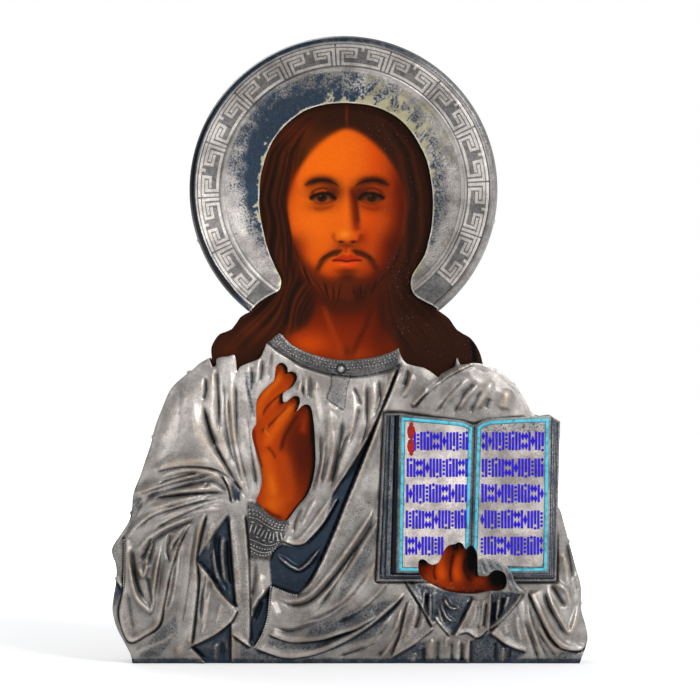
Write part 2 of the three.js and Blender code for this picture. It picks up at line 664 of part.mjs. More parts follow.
// A slab that follows a page, inset by a margin all round, its front lifted from the page's surface.
// One that spreads has the wider base of the page block as its back.
function pageSlab(page, { margin, lift, backLevelAt, spreads = false }) {
  const [foreBottom, foreTop] = page.foreEdge.map(at);
  const [baseBottom, baseTop] = page.baseEdge.map(at);
  const [gutterBottom, gutterTop] = page.gutter.map(at);
  const topCurve = new THREE.SplineCurve(page.topEdge.map(at));
  const sideShare = margin / foreBottom.distanceTo(gutterBottom);
  const endShare = margin / foreBottom.distanceTo(foreTop);
  const runsLeft = foreBottom.x > gutterBottom.x;
  return block(pageColumns, 1, (u, v, isFront) => {
    const fromFore = THREE.MathUtils.lerp(sideShare, 1 - sideShare, runsLeft ? 1 - u : u);
    const fromBottom = THREE.MathUtils.lerp(endShare, 1 - endShare, v);
    const isWide = spreads && !isFront;
    const bottom = (isWide ? baseBottom : foreBottom).clone().lerp(gutterBottom, fromFore);
    const top = isWide ? baseTop.clone().lerp(gutterTop, fromFore) : topCurve.getPoint(fromFore);
    const point = bottom.lerp(top, fromBottom);
    return [point.x, point.y, isFront ? pageLevelAt(fromFore) + lift : backLevelAt(fromFore)];
  });
}

function bookShell() {
  const hollowBack = coverBack - cutOverrun;
  let shell = extrude(bookOutline, coverBack, coverFront);
  let hollow = extrude(offset(bookOutline, bookWall), hollowBack, coverFront - bookWall);
  for (const page of [leftPage, rightPage]) {
    const leaves = { margin: 0, lift: 0, backLevelAt: () => coverBack, spreads: true };
    const space = { margin: bookWall, lift: -bookWall, backLevelAt: () => hollowBack, spreads: true };
    shell = shell.add(pageSlab(page, leaves));
    hollow = hollow.add(pageSlab(page, space));
  }
  return shell
    .subtract(hollow.subtract(extrude(offset(lowerOpening, -bookWall), hollowBack, farFront)))
    .subtract(extrude(lowerOpening, hollowBack, farFront));
}

// A plate of even thickness that lies one clearance over the page
function pagePlate(page, margin, thickness) {
  const plate = pageSlab(page, {
    margin,
    lift: clearance + thickness,
    backLevelAt: (fromFore) => pageLevelAt(fromFore) + clearance,
  });
  return plate.subtract(extrude(offset(lowerOpening, -clearance), paintedFace, farFront));
}

function pageBorder(page) {
  const height = plateThickness + borderRise;
  const frame = pagePlate(page, plateMargin, height);
  const middle = pageSlab(page, {
    margin: plateMargin + borderWidth,
    lift: height + cutOverrun,
    backLevelAt: () => coverBack,
  });
  return frame.subtract(middle);
}

// Dovetail battens let in across the planks at the back. Their section is drawn as height and level
const battenHeights = [upward(lowerBattenRow), haloCentre.y - upperBattenDropShare * haloRadius];
const crosswise = new THREE.Matrix4().set(0, 0, 1, 0, 0, -1, 0, 0, 1, 0, 0, 0, 0, 0, 0, 1);

function battenBar(middle, play) {
  const narrow = battenWidth / 2 + play;
  const wide = narrow + battenFlare;
  const outline = [
    [battenBack, middle - narrow],
    [boardBack, middle - narrow],
    [battenFloor + play, middle - wide],
    [battenFloor + play, middle + wide],
    [boardBack, middle + narrow],
    [battenBack, middle + narrow],
  ].map(([level, z]) => new THREE.Vector2(z, level));
  const geometry = new THREE.ExtrudeGeometry(new THREE.Shape(outline), {
    depth: figureHeight,
    bevelEnabled: false,
  });
  return toSolid(geometry.translate(0, 0, -figureHeight / 2).applyMatrix4(crosswise));
}

// A batten ends a little short of the board's edge on both sides
function batten(middle, boardOutline) {
  const reach = extrude(offset(boardOutline, battenSetback), battenBack - cutOverrun, boardFront);
  return battenBar(middle, 0).intersect(reach);
}

function plank(index) {
  const edges = [-figureHeight, ...plankJointPixels.map(across), figureHeight];
  const [left, right] = [edges[index], edges[index + 1]];
  const top = figureHeight + cutOverrun;
  const corners = [[left, -cutOverrun], [left, top], [right, top], [right, -cutOverrun]];
  const slice = extrude(
    corners.map(([x, z]) => new THREE.Vector2(x, z)),
    boardBack - cutOverrun,
    boardFront + cutOverrun,
  );
  let timber = boardPlate(boardBack, boardFront).intersect(slice);
  for (const middle of battenHeights) timber = timber.subtract(battenBar(middle, clearance));
  for (const place of [...edgeNailPlaces, ...haloNailPlaces]) timber = timber.subtract(nailHole(place));
  for (const side of [-1, 1]) {
    const hole = drill(screwShankRadius + clearance, -screwLength - clearance, cutOverrun, screwPlace(side));
    timber = timber.subtract(hole);
  }
  return timber;
}

// Hanger: a plate with an eye, a ring through the eye, and two round-headed screws
const hangerPoint = new THREE.Vector2(across(drawingMiddle), haloCentre.y + hangerRiseShare * haloRadius);
const plateBack = boardBack - hangerPlateThickness;
const ringLevel = boardBack - ringAxisOffset;
const eyeBore = ringWireRadius + eyePlay;

function screwPlace(side) {
  const point = hangerPoint.clone().add(new THREE.Vector2(side * screwSpread, 0));
  return aim(point, plateBack, backwards);
}

function hangerPlate() {
  const half = hangerPlateWidth / 2 - hangerPlateHeight / 2;
  const outline = new THREE.Path()
    .absarc(hangerPoint.x + half, hangerPoint.y, hangerPlateHeight / 2, -Math.PI / 2, Math.PI / 2)
    .absarc(hangerPoint.x - half, hangerPoint.y, hangerPlateHeight / 2, Math.PI / 2, (Math.PI * 3) / 2);
  const sideways = aim(hangerPoint, ringLevel, new THREE.Vector3(1, 0, 0));
  const eyeHalf = eyeLength / 2;
  let plate = extrude(outline.getPoints(nailSides), plateBack, boardBack)
    .add(eyeBarrel(eyeBore + eyeWall, eyeHalf, sideways))
    .subtract(eyeBarrel(eyeBore, eyeHalf + cutOverrun, sideways));
  for (const side of [-1, 1]) {
    plate = plate.subtract(drill(screwShankRadius + clearance, -screwLength, cutOverrun, screwPlace(side)));
  }
  return plate;
}

function eyeBarrel(radius, halfLength, place) {
  const geometry = new THREE.CylinderGeometry(radius, radius, halfLength * 2, eyeSides);
  return toSolid(geometry.applyMatrix4(place));
}

function hangerRing() {
  const geometry = new THREE.TorusGeometry(ringRadius, ringWireRadius, wireSides, ringSides);
  geometry.applyMatrix4(upright);
  return geometry.translate(hangerPoint.x, -ringLevel, hangerPoint.y - ringRadius);
}

function hangerScrew() {
  const points = [
    [0, -screwLength],
    [screwShankRadius, -screwLength + screwShankRadius],
    [screwShankRadius, clearance],
    [screwHeadRadius, clearance],
    [screwHeadRadius, clearance + screwHeadHeight / 2],
    [screwHeadRadius / 2, clearance + screwHeadHeight],
    [0, clearance + screwHeadHeight],
  ];
  return turned(points);
}

// The stud under the collar: a domed head on a stem through the sheet
function collarStud() {
  const points = [
    [0, -studStemLength],
    [studStemRadius, -studStemLength],
    [studStemRadius, clearance],
    [studRadius, clearance],
    [studRadius * Math.SQRT1_2, clearance + studHeight * Math.SQRT1_2],
    [0, clearance + studHeight],
  ];
  return turned(points);
}

function finish(color, metalness, roughness) {
  return new THREE.MeshStandardMaterial({ color, metalness, roughness });
}

const silver = finish("#aeaaa4", 1, 0.38);
const pageSilver = finish("#c9c2bd", 1, 0.45);
const enamel = finish("#5acbe0", 0, 0.25);
const paint = finish("#7a3a1c", 0, 0.4);
const wood = finish("#8a6239", 0, 0.75);
const iron = finish("#5b554d", 1, 0.5);

const group = new THREE.Group();

function addPart(name, shape, material, place) {
  const geometry = shape instanceof THREE.BufferGeometry ? shape : toGeometry(shape);
  const mesh = new THREE.Mesh(geometry, material);
  mesh.name = name;
  if (place) place.decompose(mesh.position, mesh.quaternion, mesh.scale);
  group.add(mesh);
}

["left", "centre", "right"].forEach((name, i) => addPart(`board_plank_${name}`, plank(i), wood));
addPart("lower_batten", batten(battenHeights[0], robeCore), wood);
addPart("upper_batten", batten(battenHeights[1], discOutline), wood);
addPart("painted_ground", boardPlate(boardFront, paintedFace), paint);
addPart("riza_sheet", rizaSheet(), silver);
addPart("halo", haloDish(), silver);
addPart("book_shell", bookShell(), silver);
const plateInset = plateMargin + borderWidth + clearance;
addPart("left_page_plate", pagePlate(leftPage, plateInset, plateThickness), pageSilver);
addPart("right_page_plate", pagePlate(rightPage, plateInset, plateThickness), pageSilver);
addPart("left_page_border", pageBorder(leftPage), enamel);
addPart("right_page_border", pageBorder(rightPage), enamel);
addPart("collar_button", collarStud(), silver, collarStudPlace);
for (const [side, first] of [["left", 0], ["right", nailPixels.left.length]]) {
  nailPixels[side].forEach((_, i) => {
    addPart(`riza_nail_${side}_${i + 1}`, nail(), silver, edgeNailPlaces[first + i]);
  });
}
haloNailPlaces.forEach((place, i) => addPart(`halo_nail_${i + 1}`, nail(), silver, place));
addPart("hanger_plate", hangerPlate(), iron);
addPart("hanger_ring", hangerRing(), iron);
addPart("hanger_screw_left", hangerScrew(), iron, screwPlace(-1));
addPart("hanger_screw_right", hangerScrew(), iron, screwPlace(1));

export default group;
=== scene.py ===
"""A figure-shaped icon in its silver cover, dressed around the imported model.

Everything is in metres. X runs to the right as the front is seen, Z is up and the front faces -Y.
A level is a distance forwards from the middle of the board, so a point at a level lies at -Y.
Outlines are laid out in the pixels of a drawing of 700 by 700, with y down, as x, y, x, y and so on.
"""
import logging
import math
from dataclasses import dataclass, field
from enum import Enum
from typing import Callable, Sequence

import bpy
import numpy as np
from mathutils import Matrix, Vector
from mathutils.geometry import delaunay_2d_cdt


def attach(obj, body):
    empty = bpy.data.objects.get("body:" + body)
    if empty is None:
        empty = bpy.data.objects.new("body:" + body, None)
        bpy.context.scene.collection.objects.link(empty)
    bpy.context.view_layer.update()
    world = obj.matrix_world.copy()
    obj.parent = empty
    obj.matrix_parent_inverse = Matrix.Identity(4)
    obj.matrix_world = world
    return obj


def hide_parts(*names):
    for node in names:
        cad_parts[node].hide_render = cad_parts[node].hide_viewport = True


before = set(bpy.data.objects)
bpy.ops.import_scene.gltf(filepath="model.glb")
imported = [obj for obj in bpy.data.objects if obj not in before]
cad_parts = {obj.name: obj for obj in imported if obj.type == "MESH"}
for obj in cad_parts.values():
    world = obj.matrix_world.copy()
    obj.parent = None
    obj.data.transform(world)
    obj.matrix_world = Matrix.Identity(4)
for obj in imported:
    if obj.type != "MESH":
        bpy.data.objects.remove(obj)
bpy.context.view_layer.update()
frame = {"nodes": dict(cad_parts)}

LOG = logging.getLogger("icon")
Array = np.ndarray
Pixels = Sequence[float]
Pair = tuple[float, float]
Colour = tuple[float, float, float]
Level = Callable[[Array], Array]
Marks = dict[str, Array]
Marker = Callable[[Array], Marks]
Material = bpy.types.Material
Piece = bpy.types.Object
Tree = bpy.types.NodeTree

MM = 0.001
PIXEL = 300 / 628 * MM
MIDDLE_PIXEL = 350
FOOT_PIXEL = 664

PAINTED_FACE = 12.2 * MM
BOARD_FRONT = 11 * MM
SHEET_SEAT = 12.5 * MM
SHEET = 0.8 * MM
RETURN_BACK = -7.8 * MM
HALO_CENTRE = (343.5, 190)
HALO_RADIUS = 154 * PIXEL

HEAD_OPENING = [
    250, 311, 253, 308, 258, 303, 265, 298, 272, 294, 279, 290, 281, 283, 280, 277, 274, 265, 268,
    250, 264, 235, 260, 215, 259, 200, 260, 180, 263, 165, 268, 150, 275, 137, 285, 125, 297, 115,
    310, 108, 325, 104, 340, 102.5, 355, 103, 370, 105, 385, 110, 400, 119, 412, 132, 420, 145, 427,
    160, 431, 178, 433, 195, 433, 210, 432, 225, 429, 240, 425, 254, 418, 266, 413, 274, 411, 282,
    412, 290, 416, 296, 424, 301, 432, 305, 438, 309,
]
BELOW_HEAD = [470, 325, 520, 380, 170, 380, 215, 325]
FAR_BELOW_HEAD = [470, 325, 520, 700, 170, 700, 215, 325]
HAIR_LEFT = [250, 309, 239, 315, 230, 327, 217, 333, 209, 346, 209, 358]
HAIR_RIGHT = [486, 366, 482, 351, 473, 337, 459, 328, 450, 316, 433, 304]
HEAD_CORE = [455, 262, 452, 190, 432, 128, 396, 86, 347, 72, 298, 86, 262, 128, 242, 190, 240, 262]
LEFT_SIDE = [
    209, 358, 200, 363, 192, 370, 184, 376, 176, 383, 170, 390, 166, 398, 162, 408, 158, 418, 154,
    430, 150, 445, 145, 460, 140, 475, 134, 490, 132, 499, 131.5, 508, 129, 520, 122, 532, 115, 542,
    111.5, 549, 112, 556, 115, 564, 116, 573, 115, 586, 113, 598, 112, 610, 114, 621, 118, 632, 125,
    645, 130, 655, 132, 664,
]
RIGHT_SIDE = [
    580, 664, 583, 656, 586, 648, 588, 638, 586, 626, 582, 612, 581.5, 600, 581, 585, 577, 570, 573,
    555, 567, 533, 561, 511, 556, 500, 556, 460, 555, 428, 550, 420, 540, 416, 533, 414, 525, 400,
    518, 389, 511, 381, 504, 374.5, 497, 369, 486, 366,
]
LEFT_NECKLINE = [
    209, 358, 211, 364, 213, 367, 216, 365, 216.5, 359, 222, 357, 228, 356.5, 234, 355, 236, 362,
    237, 371, 240, 367, 246, 364, 254, 361, 260, 358, 264, 350, 267, 343, 271, 340,
]
COLLAR_TOP = [
    271, 340, 275, 336, 281, 334, 290, 343, 300, 349, 315, 355, 330, 358.5, 345, 360, 360, 359, 375,
    357, 388, 353, 399, 348,
]
RIGHT_NECKLINE = [
    399, 348, 401, 356, 406, 363, 415, 366, 424, 368, 431, 372, 438, 377, 441, 374, 448, 370, 455,
    366, 457, 358, 460, 364, 466, 364, 474, 363, 482, 364, 486, 366,
]
COLLAR_BOTTOM = [
    399, 364, 390, 369, 378, 372, 365, 374.5, 350, 375.5, 334, 373.5, 325, 372, 306, 366, 298, 362,
    290, 357, 282, 352, 275, 347, 268, 341,
]
BLESSING_OPENING = [
    276, 367, 279, 363.5, 283, 363, 287, 367, 288, 372, 291, 371.5, 295, 373, 297, 377, 296, 381,
    292, 387, 286, 391, 283, 394, 283, 401, 286, 402, 291, 398, 295, 396, 299, 397, 300, 401, 299,
    406, 297, 411, 302, 406, 306, 404.5, 310, 406, 312, 411, 314, 425, 315, 440, 315.5, 460, 314,
    475, 311, 487, 306, 497, 299, 505, 293, 513, 288, 519.5, 285, 521, 280, 520.5, 274, 518, 268,
    514, 262, 508, 257, 502, 256, 499, 258, 496, 260, 490, 262, 482, 262, 475, 260, 465, 257, 455,
    254, 445, 252, 437, 252, 431, 254, 427, 256, 424, 256, 415, 256, 405, 257, 400, 261, 393, 266,
    388, 270, 384, 274, 380, 275, 373,
]
BOOK_HAND_OPENING = [
    418, 563, 418.5, 560, 421, 558, 425, 559, 428, 562, 432, 563.5, 436, 562.5, 439, 560, 441, 555,
    444, 549, 448, 544.5, 452, 543.5, 455, 543, 458, 541.5, 462, 543, 464.5, 547.5, 466, 548, 468,
    546, 472, 545.5, 475, 549, 477, 554, 477.5, 565, 478, 575, 483, 575.5, 487, 575, 490, 571.5,
    494, 569, 499, 569, 504, 572, 506, 577, 507, 583, 504, 589, 498, 591, 490, 591, 483, 592.5, 475,
    594, 466, 594, 456, 593, 446, 591, 437, 587, 429, 583, 424, 580, 420, 574, 418, 569,
]
BOOK_COVER = [385, 413.5, 400, 413.5, 473, 425, 549, 414.5, 560, 421.5, 556, 581, 377, 581]
CUFF = [
    247, 505, 258, 503, 264, 511, 272, 517, 281, 521, 290, 522, 286, 533, 281, 545, 275, 552, 270,
    560, 260, 559, 250, 555,
]


def to_panel(pixels: Pixels) -> Array:
    """Turns drawing pixels into places on the panel.

    Args:
        pixels: x and y in turn, or pairs of them, with y down.

    Returns:
        An array of (x, z) in metres.
    """
    x, y = np.asarray(pixels, float).reshape(-1, 2).T
    return np.column_stack([(x - MIDDLE_PIXEL) * PIXEL, (FOOT_PIXEL - y) * PIXEL])


def to_pixels(points: Array) -> tuple[Array, Array]:
    """Gives the drawing pixels, as columns and rows, of places on the panel."""
    return points[:, 0] / PIXEL + MIDDLE_PIXEL, FOOT_PIXEL - points[:, 1] / PIXEL


def ease(share: Array) -> Array:
    """A smooth step from 0 to 1."""
    share = np.clip(share, 0, 1)
    return share * share * (3 - 2 * share)


def bell(value: Array, width: float, middle: float = 0.0) -> Array:
    """A smooth bump of one, round a middle."""
    return np.exp(-(((value - middle) / width) ** 2))


def smooth_path(pixels: Pixels, spacing: float, closed: bool = False) -> Array:
    """A smooth line through points of the drawing.

    Args:
        pixels: the points it passes through.
        spacing: the longest distance between its own points.
        closed: whether it comes back to its start.

    Returns:
        An array of (x, z) in metres.
    """
    points = to_panel(pixels)
    before, after, beyond = (np.roll(points, shift, 0) for shift in (1, -1, -2))
    if not closed:
        before[0] = points[0]
        beyond[-2:] = points[-1]
    pieces = []
    for i in range(len(points) if closed else len(points) - 1):
        steps = max(math.ceil(np.linalg.norm(after[i] - points[i]) / spacing), 1)
        t = (np.arange(steps) / steps)[:, None]
        bend = 2 * before[i] - 5 * points[i] + 4 * after[i] - beyond[i]
        twist = 3 * points[i] - before[i] - 3 * after[i] + beyond[i]
        pieces.append(points[i] + ((after[i] - before[i]) * t + bend * t**2 + twist * t**3) / 2)
    if not closed:
        pieces.append(points[-1:])
    return np.vstack(pieces)


def divided(points: Array, spacing: float, closed: bool) -> Array:
    """Divides straight lines.

    Args:
        points: their corners.
        spacing: the longest distance between the points that come out.
        closed: whether the lines come back to their start.

    Returns:
        The same lines with more points.
    """
    pieces = []
    for start, end in zip(points if closed else points[:-1], np.roll(points, -1, 0)):
        steps = max(math.ceil(np.linalg.norm(end - start) / spacing), 1)
        pieces.append(start + (end - start) * (np.arange(steps) / steps)[:, None])
    return np.vstack(pieces if closed else [*pieces, points[-1:]])


def circle_path(radius: float, spacing: float) -> Array:
    """A circle round the halo's centre.

    Args:
        radius: its radius.
        spacing: the longest distance between its points.

    Returns:
        Its points.
    """
    count = math.ceil(math.tau * radius / spacing)
    angles = np.arange(count) * math.tau / count
    return to_panel(HALO_CENTRE)[0] + radius * np.column_stack([np.cos(angles), np.sin(angles)])


def turn_clockwise(loop: Array) -> Array:
    """The same outline, running clockwise as the front is seen.

    Args:
        loop: a closed outline.

    Returns:
        Its points in that order.
    """
    after = np.roll(loop, -1, 0)
    area = np.sum(loop[:, 0] * after[:, 1] - after[:, 0] * loop[:, 1])
    return loop[::-1] if area > 0 else loop


def outline_of(pixels: Pixels, spacing: float) -> Array:
    """A closed, rounded outline, running clockwise."""
    return turn_clockwise(smooth_path(pixels, spacing, True))


def joined(line: Array) -> Array:
    """An outline as a path that comes back to its start."""
    return np.vstack([line, line[:1]])


def shifted(line: Array, distance: float, closed: bool = True) -> Array:
    """Moves a line to its right-hand side, which is inwards for a clockwise outline.

    Args:
        line: the points.
        distance: how far it moves.
        closed: whether it comes back to its start.

    Returns:
        The moved points.
    """
    before, after = np.roll(line, 1, 0), np.roll(line, -1, 0)
    if not closed:
        before[0] = 2 * line[0] - line[1]
        after[-1] = 2 * line[-1] - line[-2]
    arriving = line - before
    leaving = after - line
    arriving /= np.maximum(np.linalg.norm(arriving, axis=1, keepdims=True), 1e-9)
    leaving /= np.maximum(np.linalg.norm(leaving, axis=1, keepdims=True), 1e-9)
    along = arriving + leaving
    along /= np.maximum(np.linalg.norm(along, axis=1, keepdims=True), 1e-9)
    normal = np.column_stack([along[:, 1], -along[:, 0]])
    square = np.column_stack([leaving[:, 1], -leaving[:, 0]])
    reach = np.minimum(1 / np.maximum(np.sum(normal * square, axis=1), 0.1), math.sqrt(2))
    return line + normal * distance * reach[:, None]


def ripple(points: Array, size: float) -> Array:
    """An uneven wave over the panel, from about minus one to one.

    Args:
        points: places on the panel.
        size: the wave's rough size.

    Returns:
        The wave's value at each place.
    """
    x, z = points[:, 0] / size, points[:, 1] / size
    first = np.sin(x + 1.7 * np.sin(0.83 * z + 0.4)) * np.cos(0.9 * z + 1.3 * np.sin(0.71 * x))
    return first + 0.5 * np.sin(2.3 * x - 1.9 * z + 2 * first)


def is_inside(points: Array, loop: Array) -> Array:
    """Tells which points lie inside an outline.

    Args:
        points: places on the panel.
        loop: the outline.

    Returns:
        True for each point inside.
    """
    inside = np.zeros(len(points), bool)
    x, z = points[:, 0], points[:, 1]
    for (ax, az), (bx, bz) in zip(loop, np.roll(loop, -1, 0)):
        if az == bz:
            continue
        crosses = (az > z) != (bz > z)
        inside ^= crosses & (x < ax + (bx - ax) * (z - az) / (bz - az))
    return inside


def distance_to(points: Array, path: Array) -> Array:
    """The distance from each point to an open path.

    Args:
        points: places on the panel.
        path: the path's points.

    Returns:
        The distances.
    """
    nearest = np.full(len(points), np.inf)
    for start, end in zip(path[:-1], path[1:]):
        along = end - start
        share = np.clip((points - start) @ along / max(along @ along, 1e-12), 0, 1)
        gap = points - start - share[:, None] * along
        nearest = np.minimum(nearest, np.hypot(gap[:, 0], gap[:, 1]))
    return nearest


@dataclass
class Raster:
    """A fine grid over part of the panel, on which heights and masks are worked out."""

    first: Pair
    last: Pair
    pitch: float = 0.28 * MM

    def __post_init__(self) -> None:
        """Lays out the columns and the rows."""
        (left, bottom), (right, top) = to_panel([self.first, self.last])
        self.columns = np.arange(left, right, self.pitch)
        self.rows = np.arange(bottom, top, self.pitch)

    @property
    def shape(self) -> tuple[int, int]:
        """Rows and columns."""
        return len(self.rows), len(self.columns)

    def window(self, low: Array, high: Array, reach: float) -> tuple[slice, slice]:
        """The rows and columns of a box with a margin all round.

        Args:
            low: the box's lower corner.
            high: its upper corner.
            reach: the margin.

        Returns:
            The two slices.
        """
        rows = np.searchsorted(self.rows, [low[1] - reach, high[1] + reach])
        columns = np.searchsorted(self.columns, [low[0] - reach, high[0] + reach])
        return slice(*rows), slice(*columns)

    def measure(self, path: Array, reach: float) -> tuple[Array, Array, Array]:
        """Measures the grid from an open path.

        Args:
            path: the path's points.
            reach: how far from it the grid is measured.

        Returns:
            The distance, with the reach wherever it is longer, the side, which is positive to the
            right of the path, and the share of the path's length at the nearest place.
        """
        distance = np.full(self.shape, reach)
        side = np.zeros(self.shape)
        share = np.zeros(self.shape)
        lengths = np.linalg.norm(np.diff(path, axis=0), axis=1)
        starts = np.concatenate([[0], np.cumsum(lengths)])
        for i, (a, b) in enumerate(zip(path[:-1], path[1:])):
            if lengths[i] < 1e-9:
                continue
            place = self.window(np.minimum(a, b), np.maximum(a, b), reach)
            dx = self.columns[place[1]][None, :] - a[0]
            dz = self.rows[place[0]][:, None] - a[1]
            along = (b - a) / lengths[i]
            run = np.clip(dx * along[0] + dz * along[1], 0, lengths[i])
            gap = np.hypot(dx - run * along[0], dz - run * along[1])
            nearer = gap < distance[place]
            distance[place] = np.where(nearer, gap, distance[place])
            side[place] = np.where(nearer, dx * along[1] - dz * along[0], side[place])
            share[place] = np.where(nearer, (starts[i] + run) / starts[-1], share[place])
        return distance, side, share

    def fill(self, loop: Array) -> Array:
        """A mask of the inside of an outline.

        Args:
            loop: the outline.

        Returns:
            True inside it.
        """
        mask = np.zeros(self.shape, bool)
        for (ax, az), (bx, bz) in zip(loop, np.roll(loop, -1, 0)):
            rows = np.nonzero((az > self.rows) != (bz > self.rows))[0]
            for row in rows:
                crossing = ax + (bx - ax) * (self.rows[row] - az) / (bz - az)
                mask[row, : np.searchsorted(self.columns, crossing)] ^= True
        return mask

    def away(self, centre: Pair, radii: Pair) -> Array:
        """Measures the grid from a centre.

        Args:
            centre: its place in the drawing.
            radii: the units of the distance, across and up, in pixels.

        Returns:
            The square of the distance.
        """
        x, z = to_panel(centre)[0]
        columns = (self.columns[None, :] - x) / (radii[0] * PIXEL)
        rows = (self.rows[:, None] - z) / (radii[1] * PIXEL)
        return columns**2 + rows**2

    def blur(self, values: Array, radius: float) -> Array:
        """The values, blurred over a radius.

        Args:
            values: values over the grid.
            radius: how far each spreads.

        Returns:
            The blurred values.
        """
        waves = [np.fft.fftfreq(self.shape[0], self.pitch), np.fft.rfftfreq(self.shape[1], self.pitch)]
        fall = np.exp(-2 * (math.pi * radius) ** 2 * (waves[0][:, None] ** 2 + waves[1][None, :] ** 2))
        return np.fft.irfft2(np.fft.rfft2(values) * fall, self.shape)

    def sample(self, values: Array, points: Array) -> Array:
        """The values at places on the panel.

        Args:
            values: values over the grid.
            points: places on the panel.

        Returns:
            The value at each place.
        """
        column = np.clip((points[:, 0] - self.columns[0]) / self.pitch, 0, self.shape[1] - 1.001)
        row = np.clip((points[:, 1] - self.rows[0]) / self.pitch, 0, self.shape[0] - 1.001)
        i, j = row.astype(int), column.astype(int)
        u, v = row - i, column - j
        lower = values[i, j] * (1 - v) + values[i, j + 1] * v
        upper = values[i + 1, j] * (1 - v) + values[i + 1, j + 1] * v
        return lower * (1 - u) + upper * u


@dataclass
class Relief:
    """A closed body cut out of the panel, between a shaped front and a back."""

    name: str
    loops: list[Array]
    holes: list[Array] = field(default_factory=list)
    pitch: float = 1 * MM
    guides: list[Array] = field(default_factory=list)
    coarse: Array | None = None
    scattered: bool = True

    def contains(self, points: Array) -> Array:
        """Tells which points belong to the body.

        Args:
            points: places on the panel.

        Returns:
            True for each point in one of the loops and in none of the holes.
        """
        inside = np.zeros(len(points), bool)
        for loop in self.loops:
            inside |= is_inside(points, loop)
        for hole in self.holes:
            inside &= ~is_inside(points, hole)
        return inside

    def scatter(self, edge_points: Array) -> Array:
        """Even points inside the body, clear of its edges and guides.

        Args:
            edge_points: the points that are already taken.

        Returns:
            The new points.
        """
        low = np.min(np.vstack(self.loops), axis=0)
        high = np.max(np.vstack(self.loops), axis=0)
        row_pitch = self.pitch * math.sqrt(3) / 2
        columns, rows = np.meshgrid(np.arange(low[0], high[0], self.pitch),
                                    np.arange(low[1], high[1], row_pitch))
        columns[1::2] += self.pitch / 2
        points = np.column_stack([columns.ravel(), rows.ravel()])
        cell = self.pitch * 0.6
        wide = 1 << 20

        def key(places: Array, shift: tuple[int, int] = (0, 0)) -> Array:
            """A number for the cell that a place lies in."""
            cells = np.floor((places - low) / cell).astype(np.int64) + shift
            return (cells[:, 0] + wide // 2) * wide + cells[:, 1] + wide // 2

        taken = [key(edge_points, (i, j)) for i in (-1, 0, 1) for j in (-1, 0, 1)]
        points = points[~np.isin(key(points), np.concatenate(taken))]
        if self.coarse is not None:
            thinned = is_inside(points, self.coarse)
            spread = np.round(points / (self.pitch * 6)).astype(np.int64)
            _, chosen = np.unique(spread, axis=0, return_index=True)
            keep = ~thinned
            keep[chosen] = True
            points = points[keep]
        return points[self.contains(points)]

    def triangulate(self) -> tuple[Array, Array]:
        """Triangulates the front between its outlines, through its guides.

        Returns:
            The corners' places and the triangles, running anticlockwise.
        """
        lines = [*self.loops, *self.holes]
        points, edges = [], []
        for line in lines:
            first = sum(len(part) for part in points)
            count = len(line)
            points.append(line)
            edges += [(first + i, first + (i + 1) % count) for i in range(count)]
        fixed = np.vstack([*points, *self.guides])
        if self.scattered:
            fixed = np.vstack([fixed, self.scatter(fixed)])
        places, _, faces, *_ = delaunay_2d_cdt([Vector(p) for p in fixed.tolist()], edges, [], 0, 1e-8, False)
        corners = np.array([tuple(place) for place in places])
        faces = np.array(faces)
        faces = faces[self.contains(corners[faces].mean(axis=1))]
        used, faces = np.unique(faces, return_inverse=True)
        return corners[used], faces.reshape(-1, 3)

    def close_back(self, corners: Array, rim: Array) -> Array:
        """Triangles of the back, which use only the corners of the rim.

        Args:
            corners: the places of the front's corners.
            rim: pairs of corners along the body's edge.

        Returns:
            Triangles of the front's corners, running anticlockwise.
        """
        used, edges = np.unique(rim, return_inverse=True)
        places = [Vector(p) for p in corners[used].tolist()]
        pairs = [tuple(pair) for pair in edges.reshape(-1, 2).tolist()]
        _, _, faces, origins, *_ = delaunay_2d_cdt(places, pairs, [], 0, 1e-8, True)
        faces = np.array([[origins[corner][0] for corner in face] for face in faces])
        return used[faces[self.contains(corners[used][faces].mean(axis=1))]]

    def build(self, front: Level, back: Level, marks: Marker | None = None) -> Piece:
        """Builds the body.

        Args:
            front: gives the front's level at places on the panel.
            back: gives the back's level at places on the panel.
            marks: gives named values or colours at places on the panel.

        Returns:
            The object, at the origin.
        """
        corners, faces = self.triangulate()
        turned = np.vstack([faces[:, [0, 1]], faces[:, [1, 2]], faces[:, [2, 0]]])
        edges = np.sort(turned, axis=1)
        _, index, count = np.unique(edges, axis=0, return_index=True, return_counts=True)
        rim = turned[index[count == 1]]
        below = np.full(len(corners), -1)
        rim_corners = np.unique(rim)
        below[rim_corners] = len(corners) + np.arange(len(rim_corners))
        levels = np.concatenate([front(corners), back(corners[rim_corners])])
        places = np.vstack([corners, corners[rim_corners]])
        back_faces = below[self.close_back(corners, rim)][:, ::-1]
        walls_a = np.column_stack([rim[:, 1], rim[:, 0], below[rim[:, 0]]])
        walls_b = np.column_stack([rim[:, 1], below[rim[:, 0]], below[rim[:, 1]]])
        triangles = np.vstack([faces, back_faces, walls_a, walls_b])
        mesh = new_mesh(self.name, np.column_stack([places[:, 0], -levels, places[:, 1]]), triangles)
        if marks is not None:
            for name, values in marks(places).items():
                mark(mesh, name, values)
        return place_object(self.name, mesh)

    @classmethod
    def return_edge(cls, name: str, loops: list[Array], holes: Sequence[Array] = ()) -> Piece:
        """The band of a sheet that is turned back over the side of the board.

        Args:
            name: its name.
            loops: its outlines.
            holes: its openings.

        Returns:
            The object.
        """
        band = cls(name, loops, list(holes), scattered=False)
        return band.build(level_of(SHEET_SEAT + SHEET / 2), level_of(RETURN_BACK), edge_marks)


